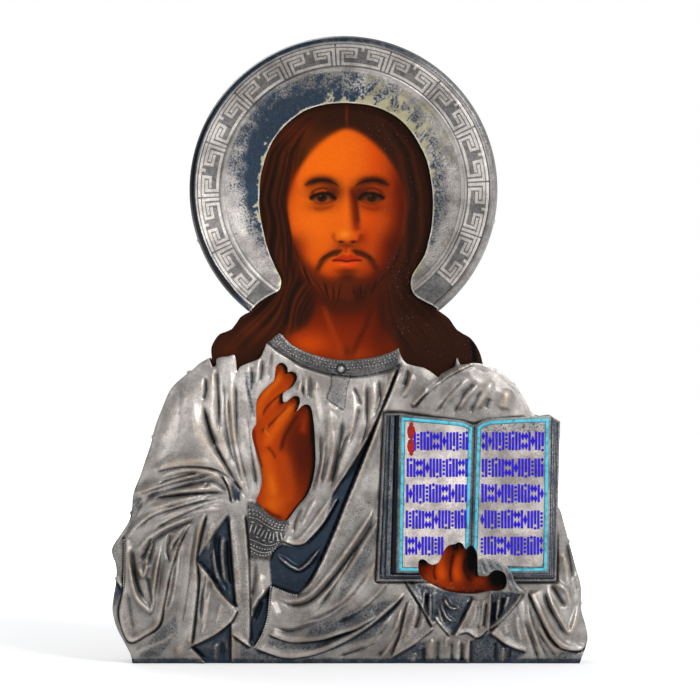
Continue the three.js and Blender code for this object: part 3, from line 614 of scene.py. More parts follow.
def new_mesh(name: str, places: Array, triangles: Array) -> bpy.types.Mesh:
    """A mesh of triangles, smooth but for its sharp edges.

    Args:
        name: its name.
        places: its corners.
        triangles: its faces.

    Returns:
        The mesh.
    """
    mesh = bpy.data.meshes.new(name)
    mesh.from_pydata(places.tolist(), [], triangles.tolist())
    mesh.update()
    mesh.shade_smooth()
    mesh.set_sharp_from_angle(angle=math.radians(50))
    return mesh


def mark(mesh: bpy.types.Mesh, name: str, values: Array) -> None:
    """Stores a value or a colour at each corner of a mesh, for its material to read.

    Args:
        mesh: the mesh.
        name: the value's name.
        values: a value or a colour for each corner.
    """
    if values.ndim == 1:
        layer = mesh.attributes.new(name, "FLOAT", "POINT")
        layer.data.foreach_set("value", values.astype(np.float32))
        return
    layer = mesh.attributes.new(name, "FLOAT_COLOR", "POINT")
    rgba = np.column_stack([values, np.ones(len(values))])
    layer.data.foreach_set("color", rgba.astype(np.float32).ravel())


def place_object(name: str, mesh: bpy.types.Mesh) -> Piece:
    """A new object at the origin, linked to the scene.

    Args:
        name: its name.
        mesh: what it shows.

    Returns:
        The object.
    """
    piece = bpy.data.objects.new(name, mesh)
    bpy.context.scene.collection.objects.link(piece)
    return piece


def level_of(value: float) -> Level:
    """A flat level, whatever the place."""
    return lambda points: np.full(len(points), value)


def linear(colour: Colour) -> tuple[float, float, float, float]:
    """Turns a colour as seen on a screen into light values."""
    values = [c / 12.92 if c <= 0.04045 else ((c + 0.055) / 1.055) ** 2.4 for c in colour]
    return (*values, 1)


@dataclass(frozen=True)
class Value:
    """What a node puts out. It adds, subtracts and multiplies as numbers do."""

    graph: "Graph"
    socket: bpy.types.NodeSocket

    def __add__(self, other: object) -> "Value":
        """The sum."""
        return self.graph.math("ADD", self, other)

    def __mul__(self, other: object) -> "Value":
        """The product."""
        return self.graph.math("MULTIPLY", self, other)

    def __sub__(self, other: object) -> "Value":
        """What is left when the other is taken away."""
        return self.graph.math("SUBTRACT", self, other)

    def __rsub__(self, other: object) -> "Value":
        """What is left of the other when this is taken away."""
        return self.graph.math("SUBTRACT", other, self)


class Graph:
    """A node tree with short ways to add nodes and join them."""

    def __init__(self, tree: Tree) -> None:
        """Keeps the tree."""
        self.tree = tree

    def node(self, kind: str, *values: object, given: dict | None = None,
             **settings: object) -> bpy.types.Node:
        """Adds a node.

        Args:
            kind: the node's type.
            values: for each input in order, what it is set or joined to.
            given: the same for inputs by their names.
            settings: the node's own settings.

        Returns:
            The node.
        """
        node = self.tree.nodes.new(kind)
        for name, value in settings.items():
            setattr(node, name, value)
        for socket, value in zip(node.inputs, values):
            self.put(socket, value)
        for name, value in (given or {}).items():
            self.put(node.inputs[name], value)
        return node

    def put(self, socket: bpy.types.NodeSocket, value: object) -> None:
        """Sets an input, or joins it to what another node puts out.

        Args:
            socket: the input.
            value: a number, a colour, a material or what a node puts out.
        """
        if isinstance(value, Value):
            value = value.socket
        if isinstance(value, bpy.types.NodeSocket):
            self.tree.links.new(value, socket)
        else:
            socket.default_value = value

    def math(self, operation: str, *values: object, clamp: bool = False) -> Value:
        """A number made from numbers."""
        node = self.node("ShaderNodeMath", *values, operation=operation, use_clamp=clamp)
        return Value(self, node.outputs[0])

    def mix(self, share: object, first: object, second: object) -> Value:
        """A colour between two colours.

        Args:
            share: how much of the second.
            first: a colour.
            second: a colour.

        Returns:
            The mixed colour.
        """
        node = self.node("ShaderNodeMix", data_type="RGBA", clamp_factor=True)
        for index, value in ((0, share), (6, first), (7, second)):
            self.put(node.inputs[index], value)
        return Value(self, node.outputs[2])

    def scaled(self, colour: object, factor: object) -> Value:
        """A colour or a place times a number."""
        node = self.node("ShaderNodeVectorMath", colour, operation="SCALE", given={"Scale": factor})
        return Value(self, node.outputs[0])

    def ramp(self, value: object, start: float, end: float) -> Value:
        """A number brought from a range to 0 to 1."""
        node = self.node("ShaderNodeMapRange", value, start, end, 0.0, 1.0, interpolation_type="SMOOTHSTEP")
        return Value(self, node.outputs[0])

    def noise(self, place: object, scale: float, detail: float = 3, roughness: float = 0.55) -> Value:
        """A cloudy pattern from 0 to 1."""
        given = {"Vector": place, "Scale": scale, "Detail": detail, "Roughness": roughness}
        return Value(self, self.node("ShaderNodeTexNoise", given=given).outputs["Fac"])

    def place(self) -> Value:
        """The place on the object."""
        return Value(self, self.node("ShaderNodeTexCoord").outputs["Object"])

    def stretched(self, place: object, scale: tuple[float, float, float]) -> Value:
        """A place with its axes stretched, for grain and brushing."""
        return Value(self, self.node("ShaderNodeMapping", given={"Vector": place, "Scale": scale}).outputs[0])

    def attribute(self, name: str, output: str = "Fac") -> Value:
        """A value or colour stored on the mesh."""
        return Value(self, self.node("ShaderNodeAttribute", attribute_name=name).outputs[output])

    def feed(self, surface: dict[str, object]) -> None:
        """Sets or joins the inputs of a material's surface, by their names."""
        for name, value in surface.items():
            self.put(self.tree.nodes["Principled BSDF"].inputs[name], value)

    def dress(self, surface: dict[str, object], height: object, strength: float, distance: float) -> None:
        """Feeds a material's surface, and gives it a bump.

        Args:
            surface: for its inputs by their names, what they are set or joined to.
            height: the bump's height.
            strength: how strong the bump is.
            distance: how high it stands, in millimetres.
        """
        bump = self.node("ShaderNodeBump", given={"Strength": strength, "Distance": distance * MM,
                                                  "Height": height})
        self.feed({**surface, "Normal": bump.outputs[0]})

    def repeat(self, points: object, unit: object, given: dict[str, object], material: Material) -> Tree:
        """Ends a Geometry Nodes tree with a unit on many points, as one real mesh.

        Args:
            points: the points.
            unit: what stands on each.
            given: how each is turned or sized.
            material: the finish.

        Returns:
            The tree.
        """
        given = {"Points": points, "Instance": unit, **given}
        spread = self.node("GeometryNodeInstanceOnPoints", given=given)
        solid = self.node("GeometryNodeRealizeInstances", spread.outputs[0])
        painted = self.node("GeometryNodeSetMaterial", given={"Geometry": solid.outputs[0],
                                                              "Material": material})
        self.node("NodeGroupOutput", painted.outputs[0])
        return self.tree


def new_material(name: str) -> tuple[Material, Graph]:
    """A new material and its graph.

    Args:
        name: its name.

    Returns:
        The material and the graph.
    """
    material = bpy.data.materials.new(name)
    material.use_nodes = True
    return material, Graph(material.node_tree)


def new_tree(name: str, inputs: dict[str, str]) -> tuple[Graph, dict[str, Value]]:
    """Starts a Geometry Nodes tree that puts out one mesh.

    Args:
        name: the tree's name.
        inputs: each input's name and kind.

    Returns:
        The tree's graph, and what its inputs give, by name.
    """
    tree = bpy.data.node_groups.new(name, "GeometryNodeTree")
    for title, kind in inputs.items():
        tree.interface.new_socket(title, in_out="INPUT", socket_type=f"NodeSocket{kind}")
    tree.interface.new_socket("Pieces", in_out="OUTPUT", socket_type="NodeSocketGeometry")
    graph = Graph(tree)
    start = tree.nodes.new("NodeGroupInput")
    return graph, {title: Value(graph, start.outputs[title]) for title in inputs}


# Hollow and Tone carry painted shade and light as well as patina; Ridge carries wear and a painted highlight.
PATINA_INPUTS = {
    "Light": (0.7, 0.7, 0.7, 1), "Middle": (0.4, 0.4, 0.4, 1), "Tarnish": (0.05, 0.07, 0.1, 1),
    "Worn": (0.5, 0.4, 0.3, 1), "Hollow": 0.0, "Ridge": 0.0, "Blue": 0.0, "Matte": 0.0, "Tone": 1.0,
    "Warmth": 0.5,
}
NEARLY_BLACK = (0.006, 0.006, 0.007, 1)


def make_patina_group() -> Tree:
    """Silver that darkens to blue in its hollows, wears warm on its ridges and is grained all over. The
    hollows also take painted shade, going nearly black where they are deepest, and Tone and Ridge brighten or
    darken the silver as painted light, shade and highlight.

    Returns:
        The node group.
    """
    tree = bpy.data.node_groups.new("silver_patina", "ShaderNodeTree")
    for title, value in PATINA_INPUTS.items():
        kind = "NodeSocketFloat" if isinstance(value, float) else "NodeSocketColor"
        tree.interface.new_socket(title, in_out="INPUT", socket_type=kind).default_value = value
    for title in ("Colour", "Roughness", "Metal", "Height"):
        kind = "NodeSocketColor" if title == "Colour" else "NodeSocketFloat"
        tree.interface.new_socket(title, in_out="OUTPUT", socket_type=kind)
    graph = Graph(tree)
    start = tree.nodes.new("NodeGroupInput")
    light, middle, tarnish, worn, hollow, ridge, blue, matte, full, warmth = (
        Value(graph, start.outputs[title]) for title in PATINA_INPUTS
    )
    place = graph.place()
    cloud = graph.noise(place, 70, 5, 0.6)
    patch = graph.noise(place, 260, 4, 0.6)
    grain = graph.noise(place, 1150, 2, 0.65)
    fine = graph.noise(place, 2300, 1, 0.6)
    colour = graph.mix(graph.ramp(cloud, 0.38, 0.66), light, middle)
    colour = graph.mix(graph.ramp(patch, 0.5, 0.72) * 0.45, colour, middle)
    warm = ridge * graph.ramp((cloud + patch) * 0.5, 0.42, 0.56)
    warm = graph.math("MAXIMUM", warm, graph.ramp(ridge, 0.85, 0.98))
    colour = graph.mix(warm * warmth, colour, worn)
    shade = graph.math("MULTIPLY", blue + hollow * 0.55, (patch - 0.5) * 0.9 + 1.0, clamp=True)
    speckle = (grain - 0.5) * (matte * 14.0 + 6.0)
    shade = graph.math("ADD", shade, shade * (1.0 - shade) * speckle, clamp=True)
    colour = graph.mix(shade, colour, tarnish)
    # Painted shade: the deepest hollows go nearly black.
    colour = graph.mix(graph.ramp(hollow, 0.5, 1.15), colour, NEARLY_BLACK)
    tone = (grain + fine - 1.0) * (matte * 0.42 + 0.2 + shade * 0.12)
    # Painted light and shade from Tone, and a painted highlight on ridges.
    colour = graph.scaled(colour, (tone * 2.6 + 1.0) * (full + ridge * 0.25))
    roughness = 0.44 - shade * 0.12 + matte * 0.18 + tone * 0.3
    height = grain * (matte + 0.25) + fine
    graph.node("NodeGroupOutput", colour, roughness, 0.9 - shade * 0.25, height)
    return tree


@dataclass(frozen=True)
class Silver:
    """A silver finish and how far it has tarnished."""

    name: str
    light: Colour = (0.84, 0.815, 0.79)
    middle: Colour = (0.63, 0.605, 0.585)
    tarnish: Colour = (0.165, 0.235, 0.305)
    worn: Colour = (0.74, 0.64, 0.53)
    matte: float = 0.25
    bump: float = 0.35
    warmth: float = 0.5
    reads_marks: bool = True

    def make(self, group: Tree) -> Material:
        """Builds the material.

        Args:
            group: the patina that all the silver shares.

        Returns:
            The material.
        """
        material, graph = new_material(self.name)
        given = {"Light": linear(self.light), "Middle": linear(self.middle), "Tarnish": linear(self.tarnish),
                 "Worn": linear(self.worn), "Warmth": self.warmth, "Matte": self.matte}
        # The marks carry patina and wear, and also painted light, shade and highlight.
        if self.reads_marks:
            for name in ("hollow", "ridge", "blue", "tone"):
                given[name.capitalize()] = graph.attribute(name)
            given["Matte"] = graph.math("ADD", graph.attribute("stipple"), self.matte, clamp=True)
        patina = graph.node("ShaderNodeGroup", node_tree=group, given=given).outputs
        surface = {"Base Color": patina["Colour"], "Roughness": patina["Roughness"],
                   "Metallic": patina["Metal"]}
        graph.dress(surface, patina["Height"], self.bump, 0.12)
        return material


def silver_marks(points: Array, **given: Array | float) -> Marks:
    """The values that silver reads at each point: those given, and otherwise plain and fully bright."""
    plain = {"hollow": 0.0, "ridge": 0.0, "blue": 0.0, "stipple": 0.0, "tone": 1.0}
    return {name: np.zeros(len(points)) + value for name, value in (plain | given).items()}


def edge_marks(points: Array) -> Marks:
    """The values of a return edge, tarnished all along."""
    return silver_marks(points, hollow=0.25, blue=0.45, tone=0.7)


def paint_piece(piece: Piece, material: Material) -> None:
    """Gives a piece its one material."""
    piece.data.materials.clear()
    piece.data.materials.append(material)


def settle(piece: Piece, material: Material, slot: str, *nodes: str, body: str = "icon") -> None:
    """Gives a finished piece its material and ties it to the frame.

    Args:
        piece: the piece.
        material: its finish.
        slot: the record's material slot; not used.
        nodes: the nodes it stands for, if any.
        body: the body it moves with.
    """
    paint_piece(piece, material)
    if nodes:
        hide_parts(*nodes)
    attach(piece, body)
    LOG.info("%s: %d faces", piece.name, len(piece.data.polygons))


BEADED_EDGES = [
    [271, 586, 269.5, 604, 267.5, 619, 262.5, 634, 255, 647],
    [272.5, 587, 281, 590.5, 290, 594, 297, 595],
    [124, 539, 124.5, 560, 123.5, 587],
]
BUTTON = to_panel([341, 369])[0]


class Form(Enum):
    """How a fold stands in the cloth."""

    RIDGE = "ridge"
    CREASE = "crease"
    STEP = "step"


@dataclass(frozen=True)
class Fold:
    """One fold: its form, its rise and width in millimetres, and its path. A step is high on its right."""

    form: Form
    rise: float
    width: float
    path: Pixels


RIDGES = [
    (1.7, 1.7, [134, 556, 146, 541, 160, 530, 178, 522, 200, 514.5]),
    (2.0, 1.7, [120, 543, 127, 536, 141, 523, 156, 514, 172, 507.5, 190, 501.5, 204, 498, 220, 497]),
    (2.0, 1.5, [150, 531, 167, 521, 192, 509, 208, 504.5, 226, 505]),
    (2.0, 1.5, [146, 508, 156, 508, 172, 502.5, 190, 498, 214, 495]),
    (1.8, 1.6, [134, 496, 150, 489, 165, 484, 182, 478, 202, 473]),
    (1.9, 1.7, [212, 366, 213, 392, 212, 416, 216, 440]),
    (1.9, 1.8, [230, 366, 232, 396, 234, 424, 240, 452, 247, 478]),
    (1.6, 1.4, [257, 352, 258, 370, 256, 388]),
    (1.7, 1.7, [333, 420, 333, 446, 328, 472, 322, 492]),
    (1.6, 1.6, [298, 404, 300, 392, 298, 380]),
    (1.9, 1.7, [398, 566, 384, 588, 364, 607, 342, 620]),
    (1.7, 1.4, [208, 580, 208, 600, 205, 622, 200, 642]),
    (1.7, 1.4, [180, 545, 177, 572, 172, 600, 165, 618]),
    (2.2, 1.9, [248, 420, 252, 440, 256, 460, 260, 475, 260, 490]),
    (2.0, 2.2, [214, 439, 225, 457, 230, 464]),
    (2.2, 3.4, [192, 396, 197, 427, 203, 442, 212, 456, 224, 468, 236, 483, 241, 487]),
    (1.8, 3.2, [226, 385, 227, 410, 232, 434, 240, 460, 248, 490]),
    (1.4, 2.4, [208, 385, 212, 410, 222, 440, 236, 466]),
    (1.2, 3.0, [172, 396, 168, 425, 160, 446]),
    (2.4, 2.6, [150, 470, 168, 464, 190, 461, 207, 461, 222, 468]),
    (2.0, 2.2, [133, 495, 143, 491, 152, 488, 160, 484]),
    (1.6, 1.8, [158, 478, 180, 470, 205, 471, 226, 482]),
    (1.7, 1.8, [150, 497, 172, 491.5, 195, 489.5, 215, 488]),
    (1.8, 1.7, [145, 510, 158, 506, 175, 503, 195, 500, 215, 498]),
    (1.6, 1.7, [157, 520, 178, 510, 200, 504, 228, 501]),
    (1.5, 1.6, [165, 519, 178, 514, 190, 511, 207, 509, 225, 509]),
    (2.0, 2.3, [203, 514, 196, 530, 192, 550, 190, 575, 187, 600, 182, 630]),
    (1.8, 2.6, [180, 528, 174, 560, 170, 590, 160, 622]),
    (2.6, 1.5, [126, 540, 127, 555, 130, 570, 133, 585, 138, 599, 147, 608, 151.5, 609.5, 154, 595,
                156, 580, 158, 565, 166, 530]),
    (1.6, 1.8, [120, 612, 124, 630, 132, 638, 146, 632, 157, 622]),
    (2.0, 1.3, [136, 562, 140, 570, 144, 575, 149, 558]),
    (1.4, 1.6, [168, 548, 181, 533, 192, 521]),
    (1.5, 2.2, [132, 655, 148, 647, 165, 640, 180, 628]),
    (1.5, 2.4, [176, 660, 184, 640, 190, 620]),
    (1.3, 1.3, [145, 500, 136, 514, 128, 528, 118, 545]),
    (1.6, 2.2, [203, 565, 206, 590, 204, 615, 200, 632]),
    (1.4, 1.8, [222, 600, 219, 615, 214, 626]),
    (1.6, 2.0, [212, 520, 210, 540, 206, 553]),
    (1.5, 1.4, [234, 527, 236, 550, 239, 575, 240, 605]),
    (1.6, 1.6, [222, 532, 222, 560, 225, 590]),
    (1.5, 1.6, [213, 548, 216, 570, 222, 585]),
    (1.2, 1.5, [215, 642, 216, 662]),
    (1.4, 2.0, [258, 572, 262, 590, 254, 605]),
    (1.8, 1.4, [250, 612, 259, 597, 268, 588]),
    (1.6, 2.2, [324, 396, 330, 415, 329, 440, 322, 465, 318, 490]),
    (1.6, 2.4, [352, 392, 354, 420, 349, 445, 340, 470, 334, 488]),
    (1.4, 1.8, [372, 378, 374, 400, 370, 420, 362, 440]),
    (1.2, 1.6, [286, 362, 297, 371, 304, 385, 308, 400]),
    (1.2, 1.5, [316, 378, 316, 400, 322, 425]),
    (1.1, 1.5, [385, 372, 386, 384, 382, 398]),
    (1.2, 1.2, [325, 400, 331, 407, 341, 410]),
    (1.8, 1.4, [282, 536, 292, 541, 301, 538, 312, 525, 324, 508, 333, 494]),
    (1.4, 1.4, [300, 531, 306, 518, 316, 498]),
    (2.4, 1.5, [392, 382, 384, 402, 374, 424, 362, 448, 349, 469, 337, 487, 329, 500]),
    (2.4, 1.3, [274, 551, 279, 557, 285, 562, 292, 567, 299, 569.5, 305, 566, 311, 560, 322, 546]),
    (2.6, 1.7, [270, 588, 280, 597, 290, 600, 305, 597, 320, 584, 342, 557, 366, 522, 380, 500]),
    (1.8, 2.4, [382, 512, 370, 532, 356, 556, 340, 578, 322, 600]),
    (1.4, 1.6, [271, 600, 275, 610, 279, 618]),
    (1.8, 2.4, [380, 555, 366, 578, 348, 598, 326, 612]),
    (2.4, 2.0, [266, 630, 278, 636, 290, 638.5, 305, 638.5, 320, 637, 340, 631, 358, 625, 380, 612]),
    (2.8, 1.9, [406, 590, 392, 604, 375, 619, 360, 630, 345, 638, 326, 647, 308, 653, 285, 655,
                266, 648]),
    (1.8, 2.0, [393, 612, 380, 632, 362, 652]),
    (2.0, 1.7, [401, 606, 396, 628, 386, 650, 378, 662]),
    (1.6, 2.2, [262, 643, 285, 656, 310, 659]),
    (1.8, 1.1, [430, 589, 430, 602, 430, 616]), (1.5, 0.9, [424, 588, 424, 600, 426, 608]),
    (2.2, 1.0, [443, 595, 446, 602, 451, 607.5, 460, 608]),
          (2.0, 0.9, [440, 601, 444, 612, 449, 619, 457, 621]),
    (1.5, 0.8, [438, 606, 441, 618, 447, 628]),
    (1.8, 2.2, [416, 603, 412, 625, 402, 648]),
    (1.5, 1.6, [424, 615, 420, 632]),
    (1.4, 1.4, [476, 600, 474, 616, 466, 630]),
    (1.4, 1.2, [484, 598, 481, 614, 480, 630]),
    (1.8, 1.3, [499, 594, 498, 608, 496, 622]),
    (1.6, 1.2, [509, 593, 507, 602, 503, 610]),
    (1.8, 1.4, [523, 592, 515, 604, 504, 617, 492, 629]),
    (1.8, 1.4, [516, 612, 518, 630, 521, 645]),
    (1.5, 1.4, [505, 622, 507, 636]),
    (1.6, 1.5, [431, 636, 431, 662]), (1.5, 1.2, [446, 636, 446, 648]),
    (1.4, 1.3, [458, 638, 458, 664]), (1.7, 1.3, [467, 640, 467, 664]),
    (1.4, 1.6, [503, 646, 503, 664]),
    (1.4, 2.0, [416, 652, 412, 664]),
    (2.4, 1.5, [531, 586, 536, 600, 543, 617, 552, 633, 565, 645.5, 580, 648, 586, 640]),
    (2.4, 1.5, [546, 584, 549, 597, 554, 608, 560, 620, 566, 629, 570, 631, 575, 621, 579, 600]),
    (2.2, 1.4, [551, 582, 558, 584, 566, 590, 569.5, 600, 568, 609]),
    (1.8, 2.0, [563, 552, 567, 570, 568, 590]),
    (1.6, 2.0, [572, 570, 576, 590, 575, 606]),
    (1.6, 1.8, [526, 598, 530, 618, 538, 640, 546, 662]),
    (1.5, 1.8, [537, 622, 546, 640, 560, 658]),
    (1.4, 2.0, [514, 586, 520, 606, 526, 630, 534, 660]),
    (2.4, 1.8, [478, 361, 466, 366, 455, 370, 438, 381, 426, 391, 415, 402]),
    (1.6, 2.0, [470, 378, 455, 389, 443, 402, 434, 413]),
    (1.5, 1.8, [478, 385, 466, 396, 456, 412]),
    (1.5, 2.4, [494, 380, 483, 395, 474, 412]),
    (1.4, 3.2, [510, 388, 505, 400, 500, 411]),
    (1.4, 1.6, [412, 372, 409, 385, 401, 400]),
    (1.2, 1.6, [395, 420, 388, 445, 379, 470]),
    (1.2, 3.0, [565, 640, 555, 655]),
]
CREASES = [
    (1.5, 1.0, [138, 563, 149, 546, 164, 534, 182, 525.5, 201, 518.5]),
    (1.8, 1.6, [425, 393, 431, 387, 438, 381, 446, 376]),
    (1.7, 1.0, [143, 509, 145, 502, 151, 497, 165, 492, 187, 486, 208, 481, 222, 481]),
    (1.5, 0.9, [160, 510, 172, 506, 186, 502, 202, 497, 219, 495.5]),
    (1.8, 1.0, [130, 534, 141, 526, 153, 517, 171, 510, 192, 504, 208, 500, 222, 498]),
    (1.7, 1.0, [150, 533, 159, 527, 173, 519.5, 192, 511, 210, 503.5, 224, 502]),
    (1.7, 0.9, [187, 524, 184, 531, 179, 538, 174, 546, 170, 552]),
    (1.4, 0.9, [170, 530, 169, 541, 167, 552, 171, 562]),
    (1.6, 0.9, [205, 375, 206, 390, 203, 402]),
    (1.5, 0.9, [228, 388, 229, 410, 231, 436, 236, 462, 242, 484]),
    (1.4, 0.8, [222, 372, 224, 392, 225, 420, 230, 448, 238, 474]),
    (1.5, 0.9, [262, 356, 262, 372, 259, 384]),
    (1.3, 0.8, [250, 362, 252, 378, 250, 392]),
    (1.6, 0.9, [282, 420, 285, 440]),
    (1.5, 0.9, [326, 440, 325, 462, 320, 486]),
    (1.5, 0.9, [360, 404, 356, 424, 348, 446]),
    (1.8, 1.1, [402, 560, 392, 578, 374, 600, 352, 616, 330, 626]),
    (1.6, 1.0, [372, 566, 360, 584, 344, 602, 322, 616, 300, 622]),
    (1.6, 1.0, [380, 640, 360, 650, 336, 658]),
    (1.5, 1.0, [262, 596, 258, 612, 252, 622]),
    (1.4, 1.0, [206, 572, 202, 596, 200, 622]),
    (1.4, 0.9, [176, 560, 172, 590, 166, 612]),
    (1.5, 0.9, [147, 574, 150, 590, 153, 606]),
    (1.4, 0.9, [566, 540, 571, 562, 573, 584]),
    (1.5, 0.9, [528, 600, 533, 622, 542, 646, 550, 662]),
    (1.5, 0.9, [418, 596, 420, 612, 414, 632]),
    (1.6, 0.9, [216, 362, 218, 390, 219, 410, 218, 436]),
    (1.6, 0.9, [236, 372, 236, 400, 238, 440, 244, 470, 250, 495]),
    (1.3, 0.8, [245, 375, 249, 395, 253, 412, 255, 424]),
    (1.5, 0.8, [246, 410, 249, 430, 251, 450, 256, 485, 254, 495]),
    (2.2, 1.1, [201, 397, 206, 415, 212, 437, 221, 456, 231, 474, 241, 490, 249, 500]),
    (1.0, 1.8, [180, 385, 180, 415, 178, 440, 168, 455, 153, 467]),
    (1.5, 0.9, [155, 486, 165, 481, 175, 478, 190, 474, 202, 473]),
    (1.4, 0.9, [132, 496, 155, 490, 172, 484, 190, 480, 218, 473]),
    (1.8, 0.9, [144, 505, 147, 500, 150, 496, 160, 492, 175, 488, 204, 480]),
    (2.0, 0.9, [148, 499, 170, 496, 190, 494, 205, 493, 222, 493, 229, 495]),
    (1.4, 0.8, [203, 489, 206, 485, 210, 481, 216, 483, 222, 487, 228, 492]),
    (1.6, 0.9, [145, 498, 139, 508, 133, 520, 126, 532, 118, 545]),
    (1.7, 1.0, [199, 517, 195, 530, 193, 545, 191, 560, 190, 575, 188, 590, 186, 605, 181, 632]),
    (1.9, 1.0, [132, 545, 134, 570, 139, 590, 146, 601]),
    (1.5, 1.0, [165, 535, 162, 550, 160, 565, 157, 585, 154, 604]),
    (2.0, 1.0, [152, 536, 147, 550, 140, 562]),
    (1.8, 0.8, [155, 536, 152, 550, 147, 568]),
    (1.4, 0.8, [168, 540, 167, 553, 171, 563]),
    (1.2, 0.9, [128, 590, 131, 615, 133, 632]),
    (1.6, 1.1, [219, 530, 217, 550, 221, 575, 229, 595]),
    (1.6, 1.1, [229, 535, 229, 560, 233, 590]),
    (1.4, 1.0, [222, 640, 224, 662]),
    (1.2, 1.0, [205, 600, 212, 575]),
    (1.4, 1.0, [256, 560, 255, 580, 251, 600]),
    (1.3, 0.8, [272, 350, 271, 362, 269, 380]),
    (1.5, 0.8, [302, 374, 303, 388, 303, 399]),
    (1.2, 0.8, [310, 374, 310, 387, 309, 400]),
    (1.6, 0.9, [319, 430, 320, 445, 320, 460, 316, 478, 310, 495]),
    (1.5, 0.9, [343, 412, 341, 437, 336, 465, 329, 492]),
    (1.5, 0.9, [353, 386, 358, 396, 361, 406]),
    (1.5, 0.9, [367, 376, 367, 400, 366, 428, 358, 452]),
    (1.3, 0.8, [378, 376, 380, 400, 373, 420]),
    (1.4, 0.8, [355, 430, 345, 440, 338, 462]),
    (1.5, 0.9, [302, 505, 296, 520, 293, 534]),
    (1.9, 1.0, [274, 597, 290, 605, 308, 602, 325, 588, 346, 562, 370, 528, 383, 506]),
    (1.8, 1.0, [378, 508, 367, 532, 355, 553, 345, 570, 334, 587, 322, 603, 310, 615]),
    (1.5, 1.2, [352, 602, 335, 614, 318, 622, 302, 628, 287, 631, 268, 624]),
    (1.4, 1.0, [400, 625, 388, 644, 375, 660]),
    (1.4, 1.0, [390, 620, 374, 640, 358, 655]),
    (1.6, 0.9, [405, 597, 386, 614, 367, 629, 346, 641]),
    (1.4, 0.9, [405, 579, 412, 577, 418, 573]),
    (1.8, 1.0, [428, 592, 426, 606, 428, 618]),
    (1.2, 0.8, [481, 602, 480, 618, 477, 632]),
    (1.3, 0.8, [487, 600, 485, 616, 483, 630]),
    (1.6, 0.8, [495, 600, 494, 615, 492, 626]), (1.5, 0.8, [504, 596, 501, 610, 497, 620]),
    (1.3, 0.8, [438, 638, 438, 664]), (1.4, 0.8, [452, 640, 452, 664]),
    (1.2, 0.7, [462, 640, 462, 664]), (1.2, 0.7, [424, 646, 424, 664]),
    (1.4, 0.9, [496, 640, 496, 664]),
    (1.2, 0.9, [511, 646, 510, 660]),
    (1.8, 1.0, [550, 583, 556, 592, 562, 602, 567, 608]),
    (1.6, 1.0, [543, 588, 549, 606, 558, 622, 566, 636]),
    (1.4, 0.9, [523, 615, 528, 630, 533, 643, 540, 664]),
    (1.4, 0.9, [531, 622, 540, 636, 558, 660]),
    (1.3, 0.9, [574, 575, 578, 592]),
    (1.6, 0.9, [408, 368, 407, 378, 404, 388]),
    (1.5, 0.9, [463, 380, 454, 389, 446, 399, 437, 414]),
    (1.4, 0.9, [477, 380, 470, 387, 463, 395, 453, 417]),
    (1.3, 0.9, [483, 388, 477, 397, 470, 415]),
    (1.3, 1.2, [490, 398, 486, 409]),
    (1.0, 1.4, [388, 470, 378, 498, 372, 520]),
]
STEPS = [
    (1.5, 2.4, [243, 490, 228, 476, 212, 468, 187, 466, 170, 468, 155, 472]),
    (1.6, 1.8, [232, 503, 229, 488, 222, 475]),
    (2.6, 3.2, [207, 512, 202, 528, 198.5, 545, 197, 560, 198, 585, 195, 615, 191, 647]),
    (2.2, 3.4, [193, 520, 181, 540, 175, 558, 170, 575, 167, 590, 164, 605, 159, 625, 146, 635,
                131, 642.5, 124, 634, 119, 615, 121, 600, 124, 585, 125, 570, 125, 535]),
    (2.0, 2.8, [197, 560, 203, 567, 210, 576, 221, 592, 229, 601, 238, 609]),
    (1.8, 2.8, [238, 609, 231, 622, 215, 635, 191, 647]),
    (1.6, 2.0, [236, 606, 234, 585, 232, 560, 229, 517]),
    (1.6, 2.0, [231, 662, 231, 640, 231, 622]),
    (1.4, 2.4, [244, 512, 247, 540, 249, 570, 250, 610, 251, 646]),
    (1.8, 2.2, [251, 648, 241, 641, 231, 634]),
    (1.8, 2.4, [191, 647, 198, 654, 206, 663]),
    (2.0, 2.2, [254, 647, 262, 634, 267, 618, 269, 604, 271, 586]),
    (2.0, 2.4, [339, 497, 325, 522, 313, 536, 304, 544, 293, 545, 281, 540]),
    (2.4, 2.6, [398, 366, 388, 393, 377, 418, 366, 441, 353, 463, 339, 485, 333, 495]),
    (2.6, 2.8, [298, 593, 310, 582, 322, 560, 335, 530, 348, 497, 353, 485, 363, 460, 372, 437,
                381, 413, 390, 392, 399, 368]),
    (1.8, 2.0, [272, 586, 282, 590, 298, 594]),
    (2.0, 3.0, [380, 614, 358, 627.5, 340, 634, 320, 640, 290, 641.5, 266, 633]),
    (2.2, 3.0, [406, 593, 392, 608, 376, 622, 361, 633, 346, 641, 327, 650, 308, 656, 285, 658,
                262, 651, 252, 646]),
    (1.4, 2.2, [391, 658, 396, 646, 400, 635, 404, 618, 408, 600]),
    (2.4, 2.6, [433, 627, 427, 617, 421, 607, 413, 593, 405, 580]),
    (1.6, 2.2, [450, 636, 441, 626, 433, 616]),
    (2.0, 2.2, [453, 636, 459, 625, 465, 614, 473, 597]),
    (1.6, 2.0, [488, 628, 482, 635, 476, 637.5, 467, 632, 458, 634]),
    (2.2, 2.0, [491.5, 592, 490.5, 612, 489, 632]),
    (2.0, 2.0, [524, 592, 515, 605, 504, 618, 489, 631]),
    (2.0, 2.4, [527, 652, 516, 649, 505, 644, 497, 638, 489, 632]),
    (1.4, 1.8, [470, 640, 470, 664]),
    (2.8, 3.4, [586, 644, 580, 651, 563, 648.5, 556, 643, 550, 636, 544, 625, 538, 613, 528, 590]),
    (1.5, 2.2, [123, 592, 123.5, 575, 125, 537]),
    (1.6, 1.8, [122, 590, 118, 584, 114, 576]),
    (2.0, 2.6, [476, 364, 465, 368, 455, 373, 446, 378, 438, 384, 428, 392, 418, 402, 413, 409]),
    (1.3, 2.0, [434, 628, 423, 637, 412, 646, 392, 658]),
]
